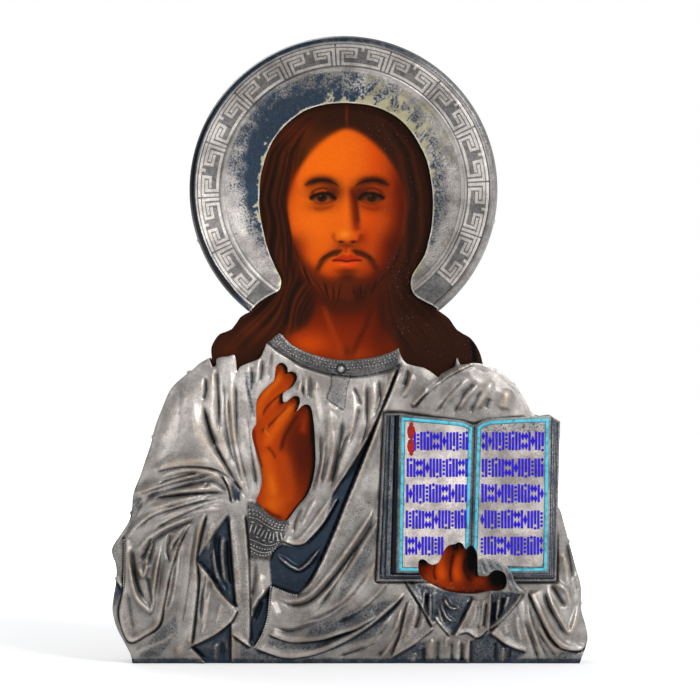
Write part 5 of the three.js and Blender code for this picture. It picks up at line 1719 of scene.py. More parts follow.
@dataclass
class PaintedPanel:
    """The painted ground: hair, face and hands, drawn to plain academic proportions."""

    fine: float = 0.34 * MM
    middle: float = 0.5 * MM
    broad: float = 0.8 * MM
    brush_grid: float = 0.24 * MM
    inset: float = SHEET + 0.3 * MM

    def __post_init__(self) -> None:
        """Lays out the panel and paints it."""
        self.chance = np.random.default_rng(11)
        left, right, hair_right, hair_left = (
            smooth_path(part, 0.8 * MM) for part in (LEFT_SIDE, RIGHT_SIDE, HAIR_RIGHT, HAIR_LEFT)
        )
        robe = turn_clockwise(np.vstack([left, right, hair_right[1:], to_panel(HEAD_CORE), hair_left[:-1]]))
        halo = turn_clockwise(circle_path(HALO_RADIUS - self.inset, 1 * MM))
        self.loops = [shifted(robe, self.inset), halo]
        self.head = Painting(Raster(*HEAD_WINDOW, self.brush_grid), HAIR_DARK)
        self.raised_hand = Painting(Raster(*RAISED_HAND_WINDOW, self.brush_grid), (0.80, 0.29, 0.03))
        self.book_hand = Painting(Raster(*BOOK_HAND_WINDOW, self.brush_grid), (0.58, 0.18, 0.03))
        self.paint_hair()
        self.paint_neck()
        self.paint_face()
        self.paint_eyes()
        self.paint_mouth()
        self.paint_beard()
        self.frame_face()
        self.paint_raised_hand()
        self.paint_book_hand()
        self.head.colours *= (0.96, 0.88, 0.6)
        self.raised_hand.colours *= (0.88, 0.82, 0.4)
        self.book_hand.colours *= (0.95, 0.9, 0.6)

    def lock(self, side: int, share: float, top: float, foot: float, wave: float) -> Pixels:
        """A lock of hair that follows the head's outline at a share of its width.

        Args:
            side: minus one for the left, one for the right.
            share: the share of the width.
            top: where it starts.
            foot: where it ends.
            wave: how far it sways.

        Returns:
            Its path.
        """
        rows = np.arange(top, foot, 9)
        width = np.interp(rows, HAIR_ROWS, HAIR_WIDTHS)
        sway = wave * np.sin(rows / 13 + 9 * share + side) * ease((rows - 170) / 90)
        return list(zip(HEAD_MIDDLE + side * (share * width + sway), rows))

    def paint_hair(self) -> None:
        """Centre-parted hair that falls in waves to the shoulders, warmer on the lit side."""
        for side, lit in ((-1, 0.8), (1, 0.28)):
            for share in np.linspace(0.34, 1.02, 64):
                top = 104 + 6 * self.chance.random() if share > 0.62 else 262
                foot = 330 + 45 * self.chance.random()
                tone = self.chance.random()
                colour = HAIR_LIT if tone > 0.55 else (0.06, 0.03, 0.02)
                if side > 0 and tone > 0.8:
                    colour = HAIR_GREY
                path = self.lock(side, share + 0.012 * self.chance.standard_normal(), top, foot, 4.5)
                width = 1.0 + 1.4 * self.chance.random()
                strength = lit * (0.25 + 0.4 * self.chance.random())
                self.head.stroke(path, width, colour, strength)
        self.head.stroke([347, 104, 346.5, 114, 347, 126], 1.3, (0.42, 0.15, 0.04), 0.7, 0.05)
        for centre, radii in (((300, 132), (20, 11)), ((287, 170), (8, 20)), ((228, 350), (14, 14)),
                              ((252, 330), (16, 12))):
            self.head.glow(centre, radii, HAIR_LIT, 0.36)

    def paint_neck(self) -> None:
        """The neck, in the shadow of the chin and lit above the collar."""
        head = self.head
        head.fill(NECK, SKIN_DIM, 2.5)
        head.glow((308, 345), (24, 14), SKIN, 0.9)
        head.glow((352, 356), (24, 9), (0.70, 0.27, 0.04), 0.75)
        head.glow((347, 300), (42, 20), SKIN_DARK, 0.9)
        head.stroke([322, 300, 330, 325, 340, 350, 345, 362], 3.2, (0.66, 0.24, 0.04), 0.55)
        head.stroke([374, 300, 366, 325, 355, 348, 350, 362], 3.0, SKIN_DARK, 0.55)
        head.glow((382, 330), (14, 24), SKIN_DARK, 0.65)
        head.glow((347, 352), (4, 7), SKIN_DARK, 0.5)

    def paint_face(self) -> None:
        """The face's oval, modelled from a light high on the left."""
        head = self.head
        head.fill(FACE_OVAL, SKIN, 2.2)
        oval = head.raster.fill(smooth_path(FACE_OVAL, 0.4 * MM, True)).astype(float)
        oval = head.raster.blur(oval, 2 * PIXEL)
        x, y = np.meshgrid(MIDDLE_PIXEL + head.raster.columns / PIXEL, FOOT_PIXEL - head.raster.rows / PIXEL)
        away = (x - HEAD_MIDDLE) / 62
        rise = (y - 205) / 92
        bulge = np.sqrt(np.clip(1 - away**2 * 0.92 - rise**2 * 0.55, 0.02, 1))
        light = np.clip(0.92 * bulge - 0.42 * away - 0.22 * rise, 0, 1.1)
        tones = np.array([SKIN_DARK, SKIN_DIM, (0.72, 0.27, 0.04), SKIN, (0.90, 0.41, 0.08), SKIN_LIT])
        steps = [0.0, 0.30, 0.52, 0.68, 0.86, 1.05]
        shaded = np.stack([np.interp(light, steps, tones[:, i]) for i in range(3)], axis=-1)
        head.colours += (shaded - head.colours) * np.clip(oval, 0, 1)[..., None]
        head.glow((335, 152), (26, 15), SKIN_LIT, 0.6)
        head.glow((311, 224), (13, 14), (0.96, 0.47, 0.10), 0.6)
        head.glow((382, 224), (10, 13), (0.80, 0.33, 0.06), 0.5)
        head.glow((300, 246), (9, 13), SKIN_DIM, 0.45)
        head.glow((393, 246), (11, 17), SKIN_DARK, 0.55)
        head.glow((290, 178), (6, 20), SKIN_DIM, 0.5)
        head.glow((404, 178), (8, 26), SKIN_DARK, 0.6)
        head.glow((333, 284), (12, 7), (0.80, 0.32, 0.05), 0.4)
        head.stroke([352, 184, 353.5, 200, 355, 218, 358, 234], 4.2, SKIN_DIM, 0.9, 0.15)
        head.stroke([355, 190, 356.5, 206, 358.5, 226], 2.4, SKIN_DARK, 0.65, 0.2)
        head.stroke([344.5, 176, 345, 195, 345.5, 215, 345.5, 231], 3.0, SKIN_LIT, 0.85, 0.15)
        head.glow((345, 234), (6, 4.5), (1.0, 0.60, 0.22), 0.75)
        head.glow((347, 245), (12, 3.4), SKIN_DARK, 0.6)
        head.stroke([335.5, 231, 333.5, 236, 335.5, 240.5, 339, 240.5], 2.4, SKIN_DIM, 0.45, 0.3)
        head.glow((337.5, 236), (2.6, 3), SKIN_LIT, 0.45)
        head.stroke([359, 232, 361, 237, 358.5, 241, 355, 240.5], 2.6, SKIN_DARK, 0.45, 0.3)
        head.glow((364, 238), (5, 8), SKIN_DIM, 0.5)
        for centre in ((341, 241.5), (353.5, 241.5)):
            head.glow(centre, (3.2, 1.5), (0.14, 0.035, 0.015), 0.9)
        head.stroke([346, 246, 346, 253], 1.4, SKIN_DIM, 0.5)

    def paint_eyes(self) -> None:
        """Level, open eyes one eye's width apart, with calm brows."""
        head = self.head
        for turn, lit in ((as_drawn, 1.0), (mirrored, 0.72)):
            head.glow(turn([334, 191])[0], (9, 10), SKIN_DARK, 0.75)
            head.glow(turn([321, 191])[0], (17, 8), SKIN_DARK, 0.5)
            head.glow(turn([321, 206])[0], (14, 6), SKIN_DARK, 0.4)
            head.fill(turn([310.5, 198.5, 316, 194.8, 322, 193.2, 329, 194.2, 334.5, 198, 329, 200.8,
                            322, 201.9, 315, 201.2]), (0.52 * lit, 0.30 * lit, 0.15 * lit), 0.6)
            head.glow(turn([332.5, 198.3])[0], (2.4, 1.8), (0.46, 0.13, 0.05), 0.8)
            iris = turn([322, 197])[0]
            turns = np.arange(0, math.tau, 0.6)
            ring = np.column_stack([iris[0] + 4.9 * np.cos(turns), iris[1] + 4.6 * np.sin(turns)])
            head.fill(ring, (0.16, 0.085, 0.04), 0.55)
            head.glow(iris, (2.5, 2.5), (0.02, 0.012, 0.008), 1.2)
            head.glow((iris[0] + 1.6, iris[1] + 2.2), (2.0, 1.2), (0.38, 0.20, 0.08), 0.5 * lit)
            head.glow((iris[0] - 1.6, iris[1] - 1.6), (1.0, 0.9), (0.92, 0.76, 0.52), 0.85 * lit)
            lid = turn([308.5, 199.3, 314, 195, 322, 192.4, 329.5, 193.6, 335, 198, 337, 200])
            head.stroke([(x, y + 0.8) for x, y in lid], 3.2, (0.20, 0.07, 0.02), 0.7, 0.15)
            head.stroke(lid, 1.7, (0.07, 0.025, 0.012), 1.0, 0.1)
            head.stroke(turn([312, 201, 317, 202.6, 323, 203.2, 330, 201.8, 335, 199.4]), 0.9, SKIN_DIM, 0.9)
            head.stroke(turn([309, 195, 314, 190.4, 322, 187.6, 331, 189.4]), 1.2, (0.30, 0.09, 0.02), 0.8)
            head.stroke(turn([313, 192.8, 321, 190.2, 328, 190.8]), 1.3, (0.86 * lit, 0.38 * lit, 0.06), 0.55)
            head.stroke(turn([311, 206.5, 320, 209, 330, 206.5, 336, 203]), 1.4, SKIN_DIM, 0.45)
            brow = turn([302, 187.5, 309, 182.6, 318, 179.6, 328, 180.2, 336, 183.4, 339, 186.5])
            head.stroke([(x, y + 0.6) for x, y in brow], 5.4, (0.34, 0.11, 0.02), 0.6, 0.35)
            head.stroke(brow, 3.4, (0.14, 0.05, 0.02), 0.8, 0.35)
            for i in range(22):
                x = 306 + 1.5 * i
                y = np.interp(x, [302, 309, 318, 328, 336, 339], [187.5, 182.6, 179.6, 180.2, 183.4, 186.5])
                head.stroke(turn([(x + 1.8, y + 1.5), (x, y), (x - 2.2, y - 1.3)]), 0.65,
                            (0.08, 0.03, 0.015), 0.55)

    def paint_mouth(self) -> None:
        """Closed, even lips."""
        head = self.head
        head.fill([332, 260, 338, 256.5, 343.5, 254.6, 347, 255.8, 350.5, 254.6, 356, 256.5, 362, 260,
                   355, 260.6, 347, 261, 339, 260.6], (0.74, 0.19, 0.06), 0.6)
        head.fill([334, 260.6, 340, 261.4, 347, 261.8, 354, 261.4, 360, 260.6, 354.5, 265.6, 347, 267.4,
                   339.5, 265.6], (0.88, 0.28, 0.09), 0.7)
        head.glow((344, 264.2), (6, 1.5), (0.98, 0.46, 0.20), 0.6)
        head.stroke([331, 260.4, 338, 260, 343, 260.4, 347, 261.2, 351, 260.4, 356, 260, 363, 260.4], 1.0,
                    (0.26, 0.05, 0.02), 0.95, 0.08)
        head.glow((347, 271), (12, 3), SKIN_DARK, 0.6)

    def paint_beard(self) -> None:
        """A short forked beard and a light moustache, hair by hair over a soft ground."""
        head = self.head
        head.fill(BEARD, (0.26, 0.095, 0.035), 3.2, 0.82)
        head.glow((347, 277), (7, 4), (0.24, 0.09, 0.035), 0.7)
        for turn, lit in ((as_drawn, 1.0), (mirrored, 0.5)):
            head.stroke(turn([346, 250.4, 338, 251, 330, 254, 323, 260, 318, 268, 314, 276]), 3.2,
                        (0.27, 0.10, 0.03), 0.85, 0.22)
            for i in range(80):
                start = 0.02 + 0.96 * self.chance.random()
                x, y = (np.interp(start, [0, 0.25, 0.5, 0.75, 1], edge) for edge in (JAW_COLUMNS, JAW_ROWS))
                y += 5 * self.chance.random()
                lean = np.interp(start, [0, 0.5, 1], [2.5, 4.5, -2.5])
                path = turn([(x, y), (x + lean * 0.6, y + 7), (x + lean * 1.5, y + 14),
                             (x + lean * 2.2, y + 20)])
                warm = (0.40 * lit + 0.05, 0.15 * lit + 0.02, 0.04)
                colour = warm if self.chance.random() > 0.5 else (0.08, 0.03, 0.02)
                head.stroke(path, 0.7, colour, 0.4, 0.4)
            for i in range(16):
                x, y = 344 - 1.3 * i, 250 + 0.03 * i * i
                head.stroke(turn([(x, y - 1.6), (x - 4, y + 2.2), (x - 8, y + 7)]), 0.7,
                            HAIR_LIT if i % 3 == 0 else (0.10, 0.04, 0.02), 0.5, 0.3)

    def frame_face(self) -> None:
        """Locks of hair that fall over the edge of the face."""
        for side, lit in ((-1, 0.7), (1, 0.35)):
            for share in np.linspace(0.715, 0.80, 14):
                tone = self.chance.random()
                colour = HAIR_LIT if tone > 0.6 else (0.11, 0.05, 0.03)
                top, foot = 118 + 30 * self.chance.random(), 262 + 30 * self.chance.random()
                path = self.lock(side, share, top, foot, 1.5)
                self.head.stroke(path, 1.6, colour, lit if tone > 0.6 else 0.7, 0.15)

    def paint_raised_hand(self) -> None:
        """The raised hand: two fingers up, the others folded, lit from the left."""
        hand = self.raised_hand
        hand.glow((303, 452), (17, 52), (0.33, 0.095, 0.02), 1.0)
        hand.glow((294, 440), (9, 18), (0.36, 0.10, 0.02), 0.7)
        hand.glow((309, 414), (8, 18), (0.52, 0.15, 0.02), 0.7)
        hand.stroke([283, 365, 279, 377, 268, 390, 260, 404, 258, 424], 4.6, (0.95, 0.42, 0.07), 0.9)
        hand.stroke([296, 376, 290, 388, 279, 397, 268, 408], 4.4, (0.88, 0.36, 0.05), 0.9)
        hand.stroke([286, 391, 276, 398, 266, 408, 262, 418], 1.2, (0.36, 0.10, 0.02), 0.8)
        hand.stroke([300, 401, 290, 410, 279, 424, 268, 440, 262, 452], 4.8, (0.92, 0.40, 0.07), 0.9)
        hand.stroke([290, 404, 278, 417, 266, 428, 258, 434], 1.5, (0.36, 0.10, 0.02), 0.75)
        hand.stroke([302, 409, 293, 422, 284, 438, 280, 455], 2.2, (0.30, 0.085, 0.02), 0.85)
        hand.stroke([309, 408, 305, 420, 302, 436], 3.4, (0.66, 0.22, 0.03), 0.8)
        hand.stroke([313, 414, 311, 430, 312, 450], 1.8, (0.20, 0.06, 0.02), 0.8)
        hand.stroke([262, 448, 266, 465, 270, 482, 272, 500], 7.5, (0.93, 0.41, 0.06), 0.85)
        hand.stroke([280, 448, 286, 468, 290, 490, 286, 508], 6.5, (0.82, 0.32, 0.04), 0.6)
        hand.glow((272, 505), (11, 11), (0.98, 0.47, 0.08), 0.8)
        hand.stroke([268, 470, 272, 485, 275, 500], 3.6, (0.98, 0.50, 0.10), 0.6, 0.3)
        hand.stroke([262, 400, 268, 391, 277, 382, 281, 372], 1.8, (0.99, 0.52, 0.12), 0.6, 0.3)
        hand.stroke([272, 428, 282, 415, 292, 406, 298, 401], 1.9, (0.99, 0.52, 0.12), 0.55, 0.3)
        hand.stroke([276, 460, 272, 452, 266, 446], 1.6, (0.45, 0.13, 0.02), 0.7)
        hand.stroke([254, 428, 254, 440, 258, 456, 262, 470], 1.6, (0.40, 0.12, 0.02), 0.8, 0.1)
        hand.stroke([277, 370, 273, 380, 262, 390, 256, 402], 1.2, (0.45, 0.14, 0.02), 0.7, 0.1)
        hand.stroke([262, 508, 272, 515, 284, 519], 2.0, (0.40, 0.12, 0.02), 0.75)
        hand.stroke([268, 424, 265, 431, 270, 437], 1.1, (0.98, 0.56, 0.18), 0.7)
        for tip in ((283, 366.5), (295, 375.5), (300, 399.5)):
            hand.glow(tip, (2.4, 2.4), (0.98, 0.55, 0.20), 0.55)

    def paint_book_hand(self) -> None:
        """The hand that holds the book from below."""
        hand = self.book_hand
        hand.stroke([421, 570, 428, 578, 440, 586, 456, 590], 5.0, (0.66, 0.23, 0.03), 0.8)
        hand.stroke([426, 566, 431, 575, 436, 580], 3.4, (0.70, 0.22, 0.02), 0.8)
        hand.stroke([438, 563, 436, 572, 438, 583], 3.6, (0.62, 0.18, 0.02), 0.85)
        hand.stroke([448, 545, 443, 556, 441, 568, 444, 587], 5.2, (0.92, 0.36, 0.02), 0.95, 0.3)
        hand.stroke([461, 548, 459, 558, 457, 572, 462, 587], 5.2, (0.90, 0.34, 0.02), 0.95, 0.3)
        hand.stroke([455, 550, 452, 562, 450.5, 576, 453, 586], 1.7, (0.26, 0.06, 0.01), 0.9)
        hand.stroke([466, 556, 465, 570, 472, 584], 1.6, (0.22, 0.05, 0.01), 0.85)
        hand.stroke([436.5, 562, 434, 573, 437, 583], 1.2, (0.26, 0.06, 0.01), 0.8)
        hand.stroke([472, 580, 482, 583, 492, 580], 3.6, (0.72, 0.25, 0.03), 0.8)
        hand.stroke([430, 585, 448, 591, 466, 593, 488, 591], 2.2, (0.26, 0.07, 0.02), 0.8, 0.1)
        # Near-black patches in the gaps beside the fingers: painted shade.
        for centre, radii in (((423, 561), (5, 4.4)), ((456, 546), (3.6, 5)), ((471.5, 560), (5.6, 15)),
                              ((498, 579), (9, 9.5))):
            hand.glow(centre, radii, (0.015, 0.012, 0.012), 1.5)
        for i in range(60):
            share = self.chance.random()
            x = 424 + 68 * share
            y = np.interp(x, [424, 440, 465, 492], [581, 588, 592.5, 591]) - 7 * self.chance.random() ** 2
            hand.glow((x, y), (0.7, 0.6), (0.62, 0.42, 0.40), 0.7)

    def paint_marks(self, points: Array) -> Marks:
        """Colours of the painting at places on the panel, as light values, with a painted shadow where each
        opening's edge shades the paint.

        Args:
            points: places on the panel.

        Returns:
            The colours by their layer's name.
        """
        colours = np.full((len(points), 3), 0.5) * (0.30, 0.16, 0.10)
        for picture in (self.head, self.raised_hand, self.book_hand):
            rows, columns = picture.raster.rows, picture.raster.columns
            held = (points[:, 0] > columns[0]) & (points[:, 0] < columns[-1])
            held &= (points[:, 1] > rows[0]) & (points[:, 1] < rows[-1])
            for i in range(3):
                colours[held, i] = picture.raster.sample(picture.colours[..., i], points[held])
        # Painted shadow: the silver's edge shades the paint along the upper right side of each opening.
        head = np.vstack([smooth_path(HEAD_OPENING, 0.5 * MM), to_panel(FAR_BELOW_HEAD)])
        hands = [smooth_path(pixels, 0.5 * MM, True) for pixels in (BLESSING_OPENING, BOOK_HAND_OPENING)]
        for loop, reach in zip([head, *hands], (2.2, 3.8, 2.6)):
            loop = turn_clockwise(loop)
            held = is_inside(points, shifted(loop, -1.5 * MM))
            local = points[held]
            shade = np.zeros(len(local))
            for step in (0.55, 0.75, 0.95, 1.15):
                shade += 0.25 * ~is_inside(local, loop - np.array([1.0, 0.55]) * reach * step * PIXEL)
            colours[held] *= (1 - 0.93 * shade)[:, None]
        colours = np.clip(colours, 0, 1)
        return {"paint": np.where(colours <= 0.04045, colours / 12.92, ((colours + 0.055) / 1.055) ** 2.4)}

    def spread(self, first: Pair, last: Pair, pitch: float) -> Array:
        """Even points over a box given by two of its corners.

        Args:
            first: a corner of the box.
            last: the corner across.
            pitch: the spacing.

        Returns:
            The points that lie on the panel.
        """
        low, high = to_panel([first, last])
        columns, rows = np.meshgrid(np.arange(low[0], high[0], pitch),
                                    np.arange(low[1], high[1], pitch * 0.866))
        columns[1::2] += pitch / 2
        points = np.column_stack([columns.ravel(), rows.ravel()])
        inside = np.zeros(len(points), bool)
        for loop in self.loops:
            inside |= is_inside(points, shifted(loop, 0.35 * MM))
        return points[inside]

    def build(self) -> None:
        """Builds the panel with its paint and varnish."""
        face = self.spread(*FACE_BOX, self.fine)
        hair = self.spread(*HAIR_BOX, self.broad)
        low, high = to_panel(FACE_BOX)
        gap = 0.5 * self.broad
        clear = np.any((hair < low - gap) | (hair > high + gap), axis=1)
        hands = [self.spread(*box, self.middle) for box in HAND_BOXES]
        low, high = hands[0].min(axis=0) - gap, hands[0].max(axis=0) + gap
        clear &= (hair[:, 1] > high[1]) | (hair[:, 0] > high[0]) | (hair[:, 0] < low[0])
        rest = self.spread((120, 664), (590, 40), 7 * MM)
        for window in (HEAD_WINDOW, RAISED_HAND_WINDOW, BOOK_HAND_WINDOW):
            low, high = to_panel(window)
            rest = rest[np.any((rest < low) | (rest > high), axis=1)]
        fine = np.vstack([face, hair[clear], *hands])
        panel = Relief("painted_panel", self.loops, [], 1 * MM, [fine, rest], scattered=False)
        piece = panel.build(level_of(PAINTED_FACE), level_of(BOARD_FRONT), self.paint_marks)
        settle(piece, self.make_paint(), "painted_panel", "painted_ground")

    def make_paint(self) -> Material:
        """Oil paint under old varnish, finely cracked and specked with dust.

        Returns:
            The material.
        """
        material, graph = new_material("varnished_paint")
        place = graph.place()
        brushed = graph.noise(graph.stretched(place, (1400, 200, 700)), 1, 3)
        toned = graph.scaled(graph.attribute("paint", "Color"), brushed * 0.24 + 0.88)
        cracks = graph.node("ShaderNodeTexVoronoi", feature="DISTANCE_TO_EDGE",
                            given={"Vector": place, "Scale": 210})
        line = 1.0 - graph.ramp(cracks.outputs["Distance"], 0.0, 0.035)
        line = line * graph.ramp(graph.noise(place, 45, 2), 0.55, 0.75)
        colour = graph.mix(line * 0.28, toned, (0.03, 0.012, 0.006, 1))
        dust = graph.ramp(graph.noise(place, 1300, 2, 0.7), 0.66, 0.72)
        across = graph.node("ShaderNodeSeparateXYZ", place).outputs["X"]
        dusty = dust * graph.ramp(across, -0.02, 0.04) * graph.ramp(graph.noise(place, 60, 3), 0.4, 0.62)
        colour = graph.mix(dusty * 0.55, colour, (0.35, 0.33, 0.38, 1))
        surface = {"Base Color": colour, "Roughness": brushed * 0.15 + 0.42, "Specular IOR Level": 0.06,
                   "Coat Weight": 0.02, "Coat Roughness": 0.3}
        graph.dress(surface, brushed - line, 0.25, 0.1)
        return material


@dataclass
class Repeater:
    """Sets one small shape on many places through a Geometry Nodes tree, and bakes the result."""

    name: str
    corners: int
    radius: float
    depth: float
    taper: float = 1.0
    smooth: bool = False
    spin: float = 0.0

    def tree(self, material: Material) -> Tree:
        """The tree: a prism or a bead, set on each point, turned and sized by the point's attributes.

        Args:
            material: the finish.

        Returns:
            The tree.
        """
        inputs = {"Points": "Geometry", "Corners": "Int", "Radius": "Float", "Depth": "Float",
                  "Taper": "Float"}
        graph, given = new_tree(f"{self.name}_tree", inputs)
        corners, radius = given["Corners"], given["Radius"]
        if self.smooth:
            sizes = {"Segments": corners, "Rings": 5, "Radius": radius}
            shape = graph.node("GeometryNodeMeshUVSphere", given=sizes)
        else:
            sizes = {"Vertices": corners, "Radius Bottom": radius, "Depth": given["Depth"]}
            sizes["Radius Top"] = radius * given["Taper"]
            shape = graph.node("GeometryNodeMeshCone", given=sizes)
        upright = {"Geometry": shape.outputs["Mesh"], "Rotation": (math.pi / 2, self.spin, 0)}
        raised = graph.node("GeometryNodeTransform", given=upright)
        readers = {}
        for title, name in (("Rotation", "turn"), ("Scale", "size")):
            reader = graph.node("GeometryNodeInputNamedAttribute", given={"Name": name},
                                data_type="FLOAT_VECTOR")
            readers[title] = reader.outputs[0]
        return graph.repeat(given["Points"], raised.outputs["Geometry"], readers, material)

    def build(
        self, places: Array, turns: Array, sizes: Array, material: Material
    ) -> Piece:
        """Builds the repeated shape.

        Args:
            places: where each one stands, in the room.
            turns: how each is turned.
            sizes: how each is stretched.
            material: its finish.

        Returns:
            The baked object, at the origin.
        """
        mesh = bpy.data.meshes.new(f"{self.name}_points")
        mesh.from_pydata(places.tolist(), [], [])
        for name, values in (("turn", turns), ("size", sizes)):
            layer = mesh.attributes.new(name, "FLOAT_VECTOR", "POINT")
            layer.data.foreach_set("vector", np.asarray(values, np.float32).ravel())
        piece = place_object(self.name, mesh)
        tree = self.tree(material)
        values = {"Corners": self.corners, "Radius": self.radius, "Depth": self.depth, "Taper": self.taper}
        return bake_nodes(piece, tree, values, self.smooth)


def bake_nodes(
    piece: Piece, tree: Tree, values: dict[str, object], smooth: bool = False
) -> Piece:
    """Runs a Geometry Nodes tree on a piece and keeps only the mesh it makes.

    Args:
        piece: the piece.
        tree: the tree.
        values: the tree's inputs by their names.
        smooth: whether the result is shaded smooth.

    Returns:
        The same piece, with its new mesh.
    """
    modifier = piece.modifiers.new("nodes", "NODES")
    modifier.node_group = tree
    sockets = {item.name: item.identifier for item in tree.interface.items_tree if item.in_out == "INPUT"}
    for name, value in values.items():
        modifier[sockets[name]] = value
    piece.update_tag()
    made = bpy.data.meshes.new_from_object(piece.evaluated_get(bpy.context.evaluated_depsgraph_get()))
    piece.modifiers.clear()
    first = piece.data
    piece.data = made
    made.name = piece.name
    bpy.data.meshes.remove(first)
    if smooth:
        made.shade_smooth()
    return piece


@dataclass(frozen=True)
class Page:
    """One half of the open book. Edges run from the foot to the head."""

    name: str
    fore: list[Pair]
    gutter: list[Pair]
    base: list[Pair]
    head: list[Pair]

    def along(self, edge: Pixels, y: Array) -> Array:
        """The edge's x at a height, in pixels."""
        (x0, y0), (x1, y1) = edge
        return x0 + (x1 - x0) * (y - y0) / (y1 - y0)

    def down_side(self, share: float, y: Array) -> Array:
        """The x of a line down the side of the leaves, at a share of the side's width."""
        start = self.along(self.fore, y)
        return start + share * (self.along(self.base, y) - start)

    def share(self, points: Array) -> Array:
        """How far across the page, from the fore-edge to the gutter.

        Args:
            points: places on the panel.

        Returns:
            The share at each place.
        """
        x, y = to_pixels(points)
        start = self.along(self.fore, y)
        return (x - start) / (self.along(self.gutter, y) - start)

    def face_level(self, points: Array) -> Array:
        """The level of the page's gently curved face.

        Args:
            points: places on the panel.

        Returns:
            The level at each place.
        """
        share = self.share(points)
        rounded = 1 - ease(share / 0.22)
        dipped = ease((share - 0.6) / 0.4)
        return PAGE_FRONT - 1.0 * MM * rounded - 3.6 * MM * dipped

    def side(self, points: Array) -> Array:
        """How far down the sloping side of the leaves, from the face to the cover.

        Args:
            points: places on the panel.

        Returns:
            From 0 at the face to 1 at the cover.
        """
        x, y = to_pixels(points)
        start = self.along(self.fore, y)
        out = (x - start) / (self.along(self.base, y) - start)
        low = (y - self.fore[0][1]) / 5.5
        return np.clip(np.maximum(out, low), 0, 1)

    def face_outline(self) -> Array:
        """The outline of the face."""
        head = smooth_path(self.head, 0.6 * MM)
        return turn_clockwise(np.vstack([to_panel([self.fore[0]]), head, to_panel([self.gutter[0]])]))

    def block_outline(self) -> Array:
        """The outline of the whole leaf block.

        Returns:
            Its points, running clockwise.
        """
        head = smooth_path(self.head, 0.6 * MM)
        foot = to_panel([(self.gutter[0][0], self.fore[0][1] + 5.5)])
        return turn_clockwise(np.vstack([to_panel(self.base), head, foot]))


PAGE_FRONT = 24.5 * MM
COVER_FRONT = 18.5 * MM
COVER_BACK = 15.5 * MM
LEFT_PAGE = Page("left", [(396.5, 572), (399.5, 414.5)], [(469.5, 572), (474, 426)],
                 [(381, 577.5), (387, 415.5)],
                 [(399.5, 414.5), (435, 417.5), (462, 420.5), (474, 426)])
RIGHT_PAGE = Page("right", [(548, 572), (550, 416)], [(470.5, 572), (475, 426)], [(553.5, 577.5), (557, 423)],
                  [(550, 416), (515, 417), (486, 419.5), (475, 426)])
# For each page: places down the side of the leaves, how far each sinks in millimetres, and how much painted
# shade it takes.
SIDE_SHARES = {
    "left": ([0, 0.04, 0.10, 0.30, 0.36, 0.42, 0.68, 0.74, 0.80, 0.86, 0.97, 1],
             [0, 0.6, 4.4, 4.7, 4.4, 2.7, 2.9, 3.9, 3.9, 3.4, 3.5, 4.4],
             [0, 0.5, 1.0, 1.0, 0.9, 0.3, 0.35, 0.9, 0.8, 0.1, 0.1, 0.3]),
    "right": ([0, 0.08, 0.16, 0.24, 0.45, 0.50, 0.56, 0.75, 0.80, 0.86, 1],
              [0, 0.4, 1.6, 1.3, 1.5, 2.2, 1.8, 2.3, 3.0, 2.7, 4.2],
              [0, 0.4, 0.9, 0.3, 0.25, 0.75, 0.25, 0.25, 0.7, 0.2, 0.2]),
}
BLUE = (0.15, 0.01, 0.82)
RED = (0.68, 0.08, 0.03)
TURQUOISE = (0.34, 0.80, 0.89)
ORNAMENT_ROWS = [432, 458.5, 484, 510, 536]
ORNAMENT = "|!|:||'|<>|.||!|:|'||<>|.|"
INITIAL = [(411, 431.5, 4.3, 7.8), (411, 445.5, 4.3, 7.8), (411, 423.8, 2.2, 2.2), (411, 453.2, 2.2, 2.2)]
HAND_CLOTH = [
    478, 559, 484, 557.5, 492, 559, 500, 561.5, 506, 565, 511, 572, 514, 580, 519, 587, 526, 592.5,
    516, 593, 508, 589, 506.5, 583, 506, 577, 503.5, 572, 499, 569, 494, 569, 490, 571.5, 486.5, 575,
    482, 575.5, 478.5, 574, 478, 566,
]


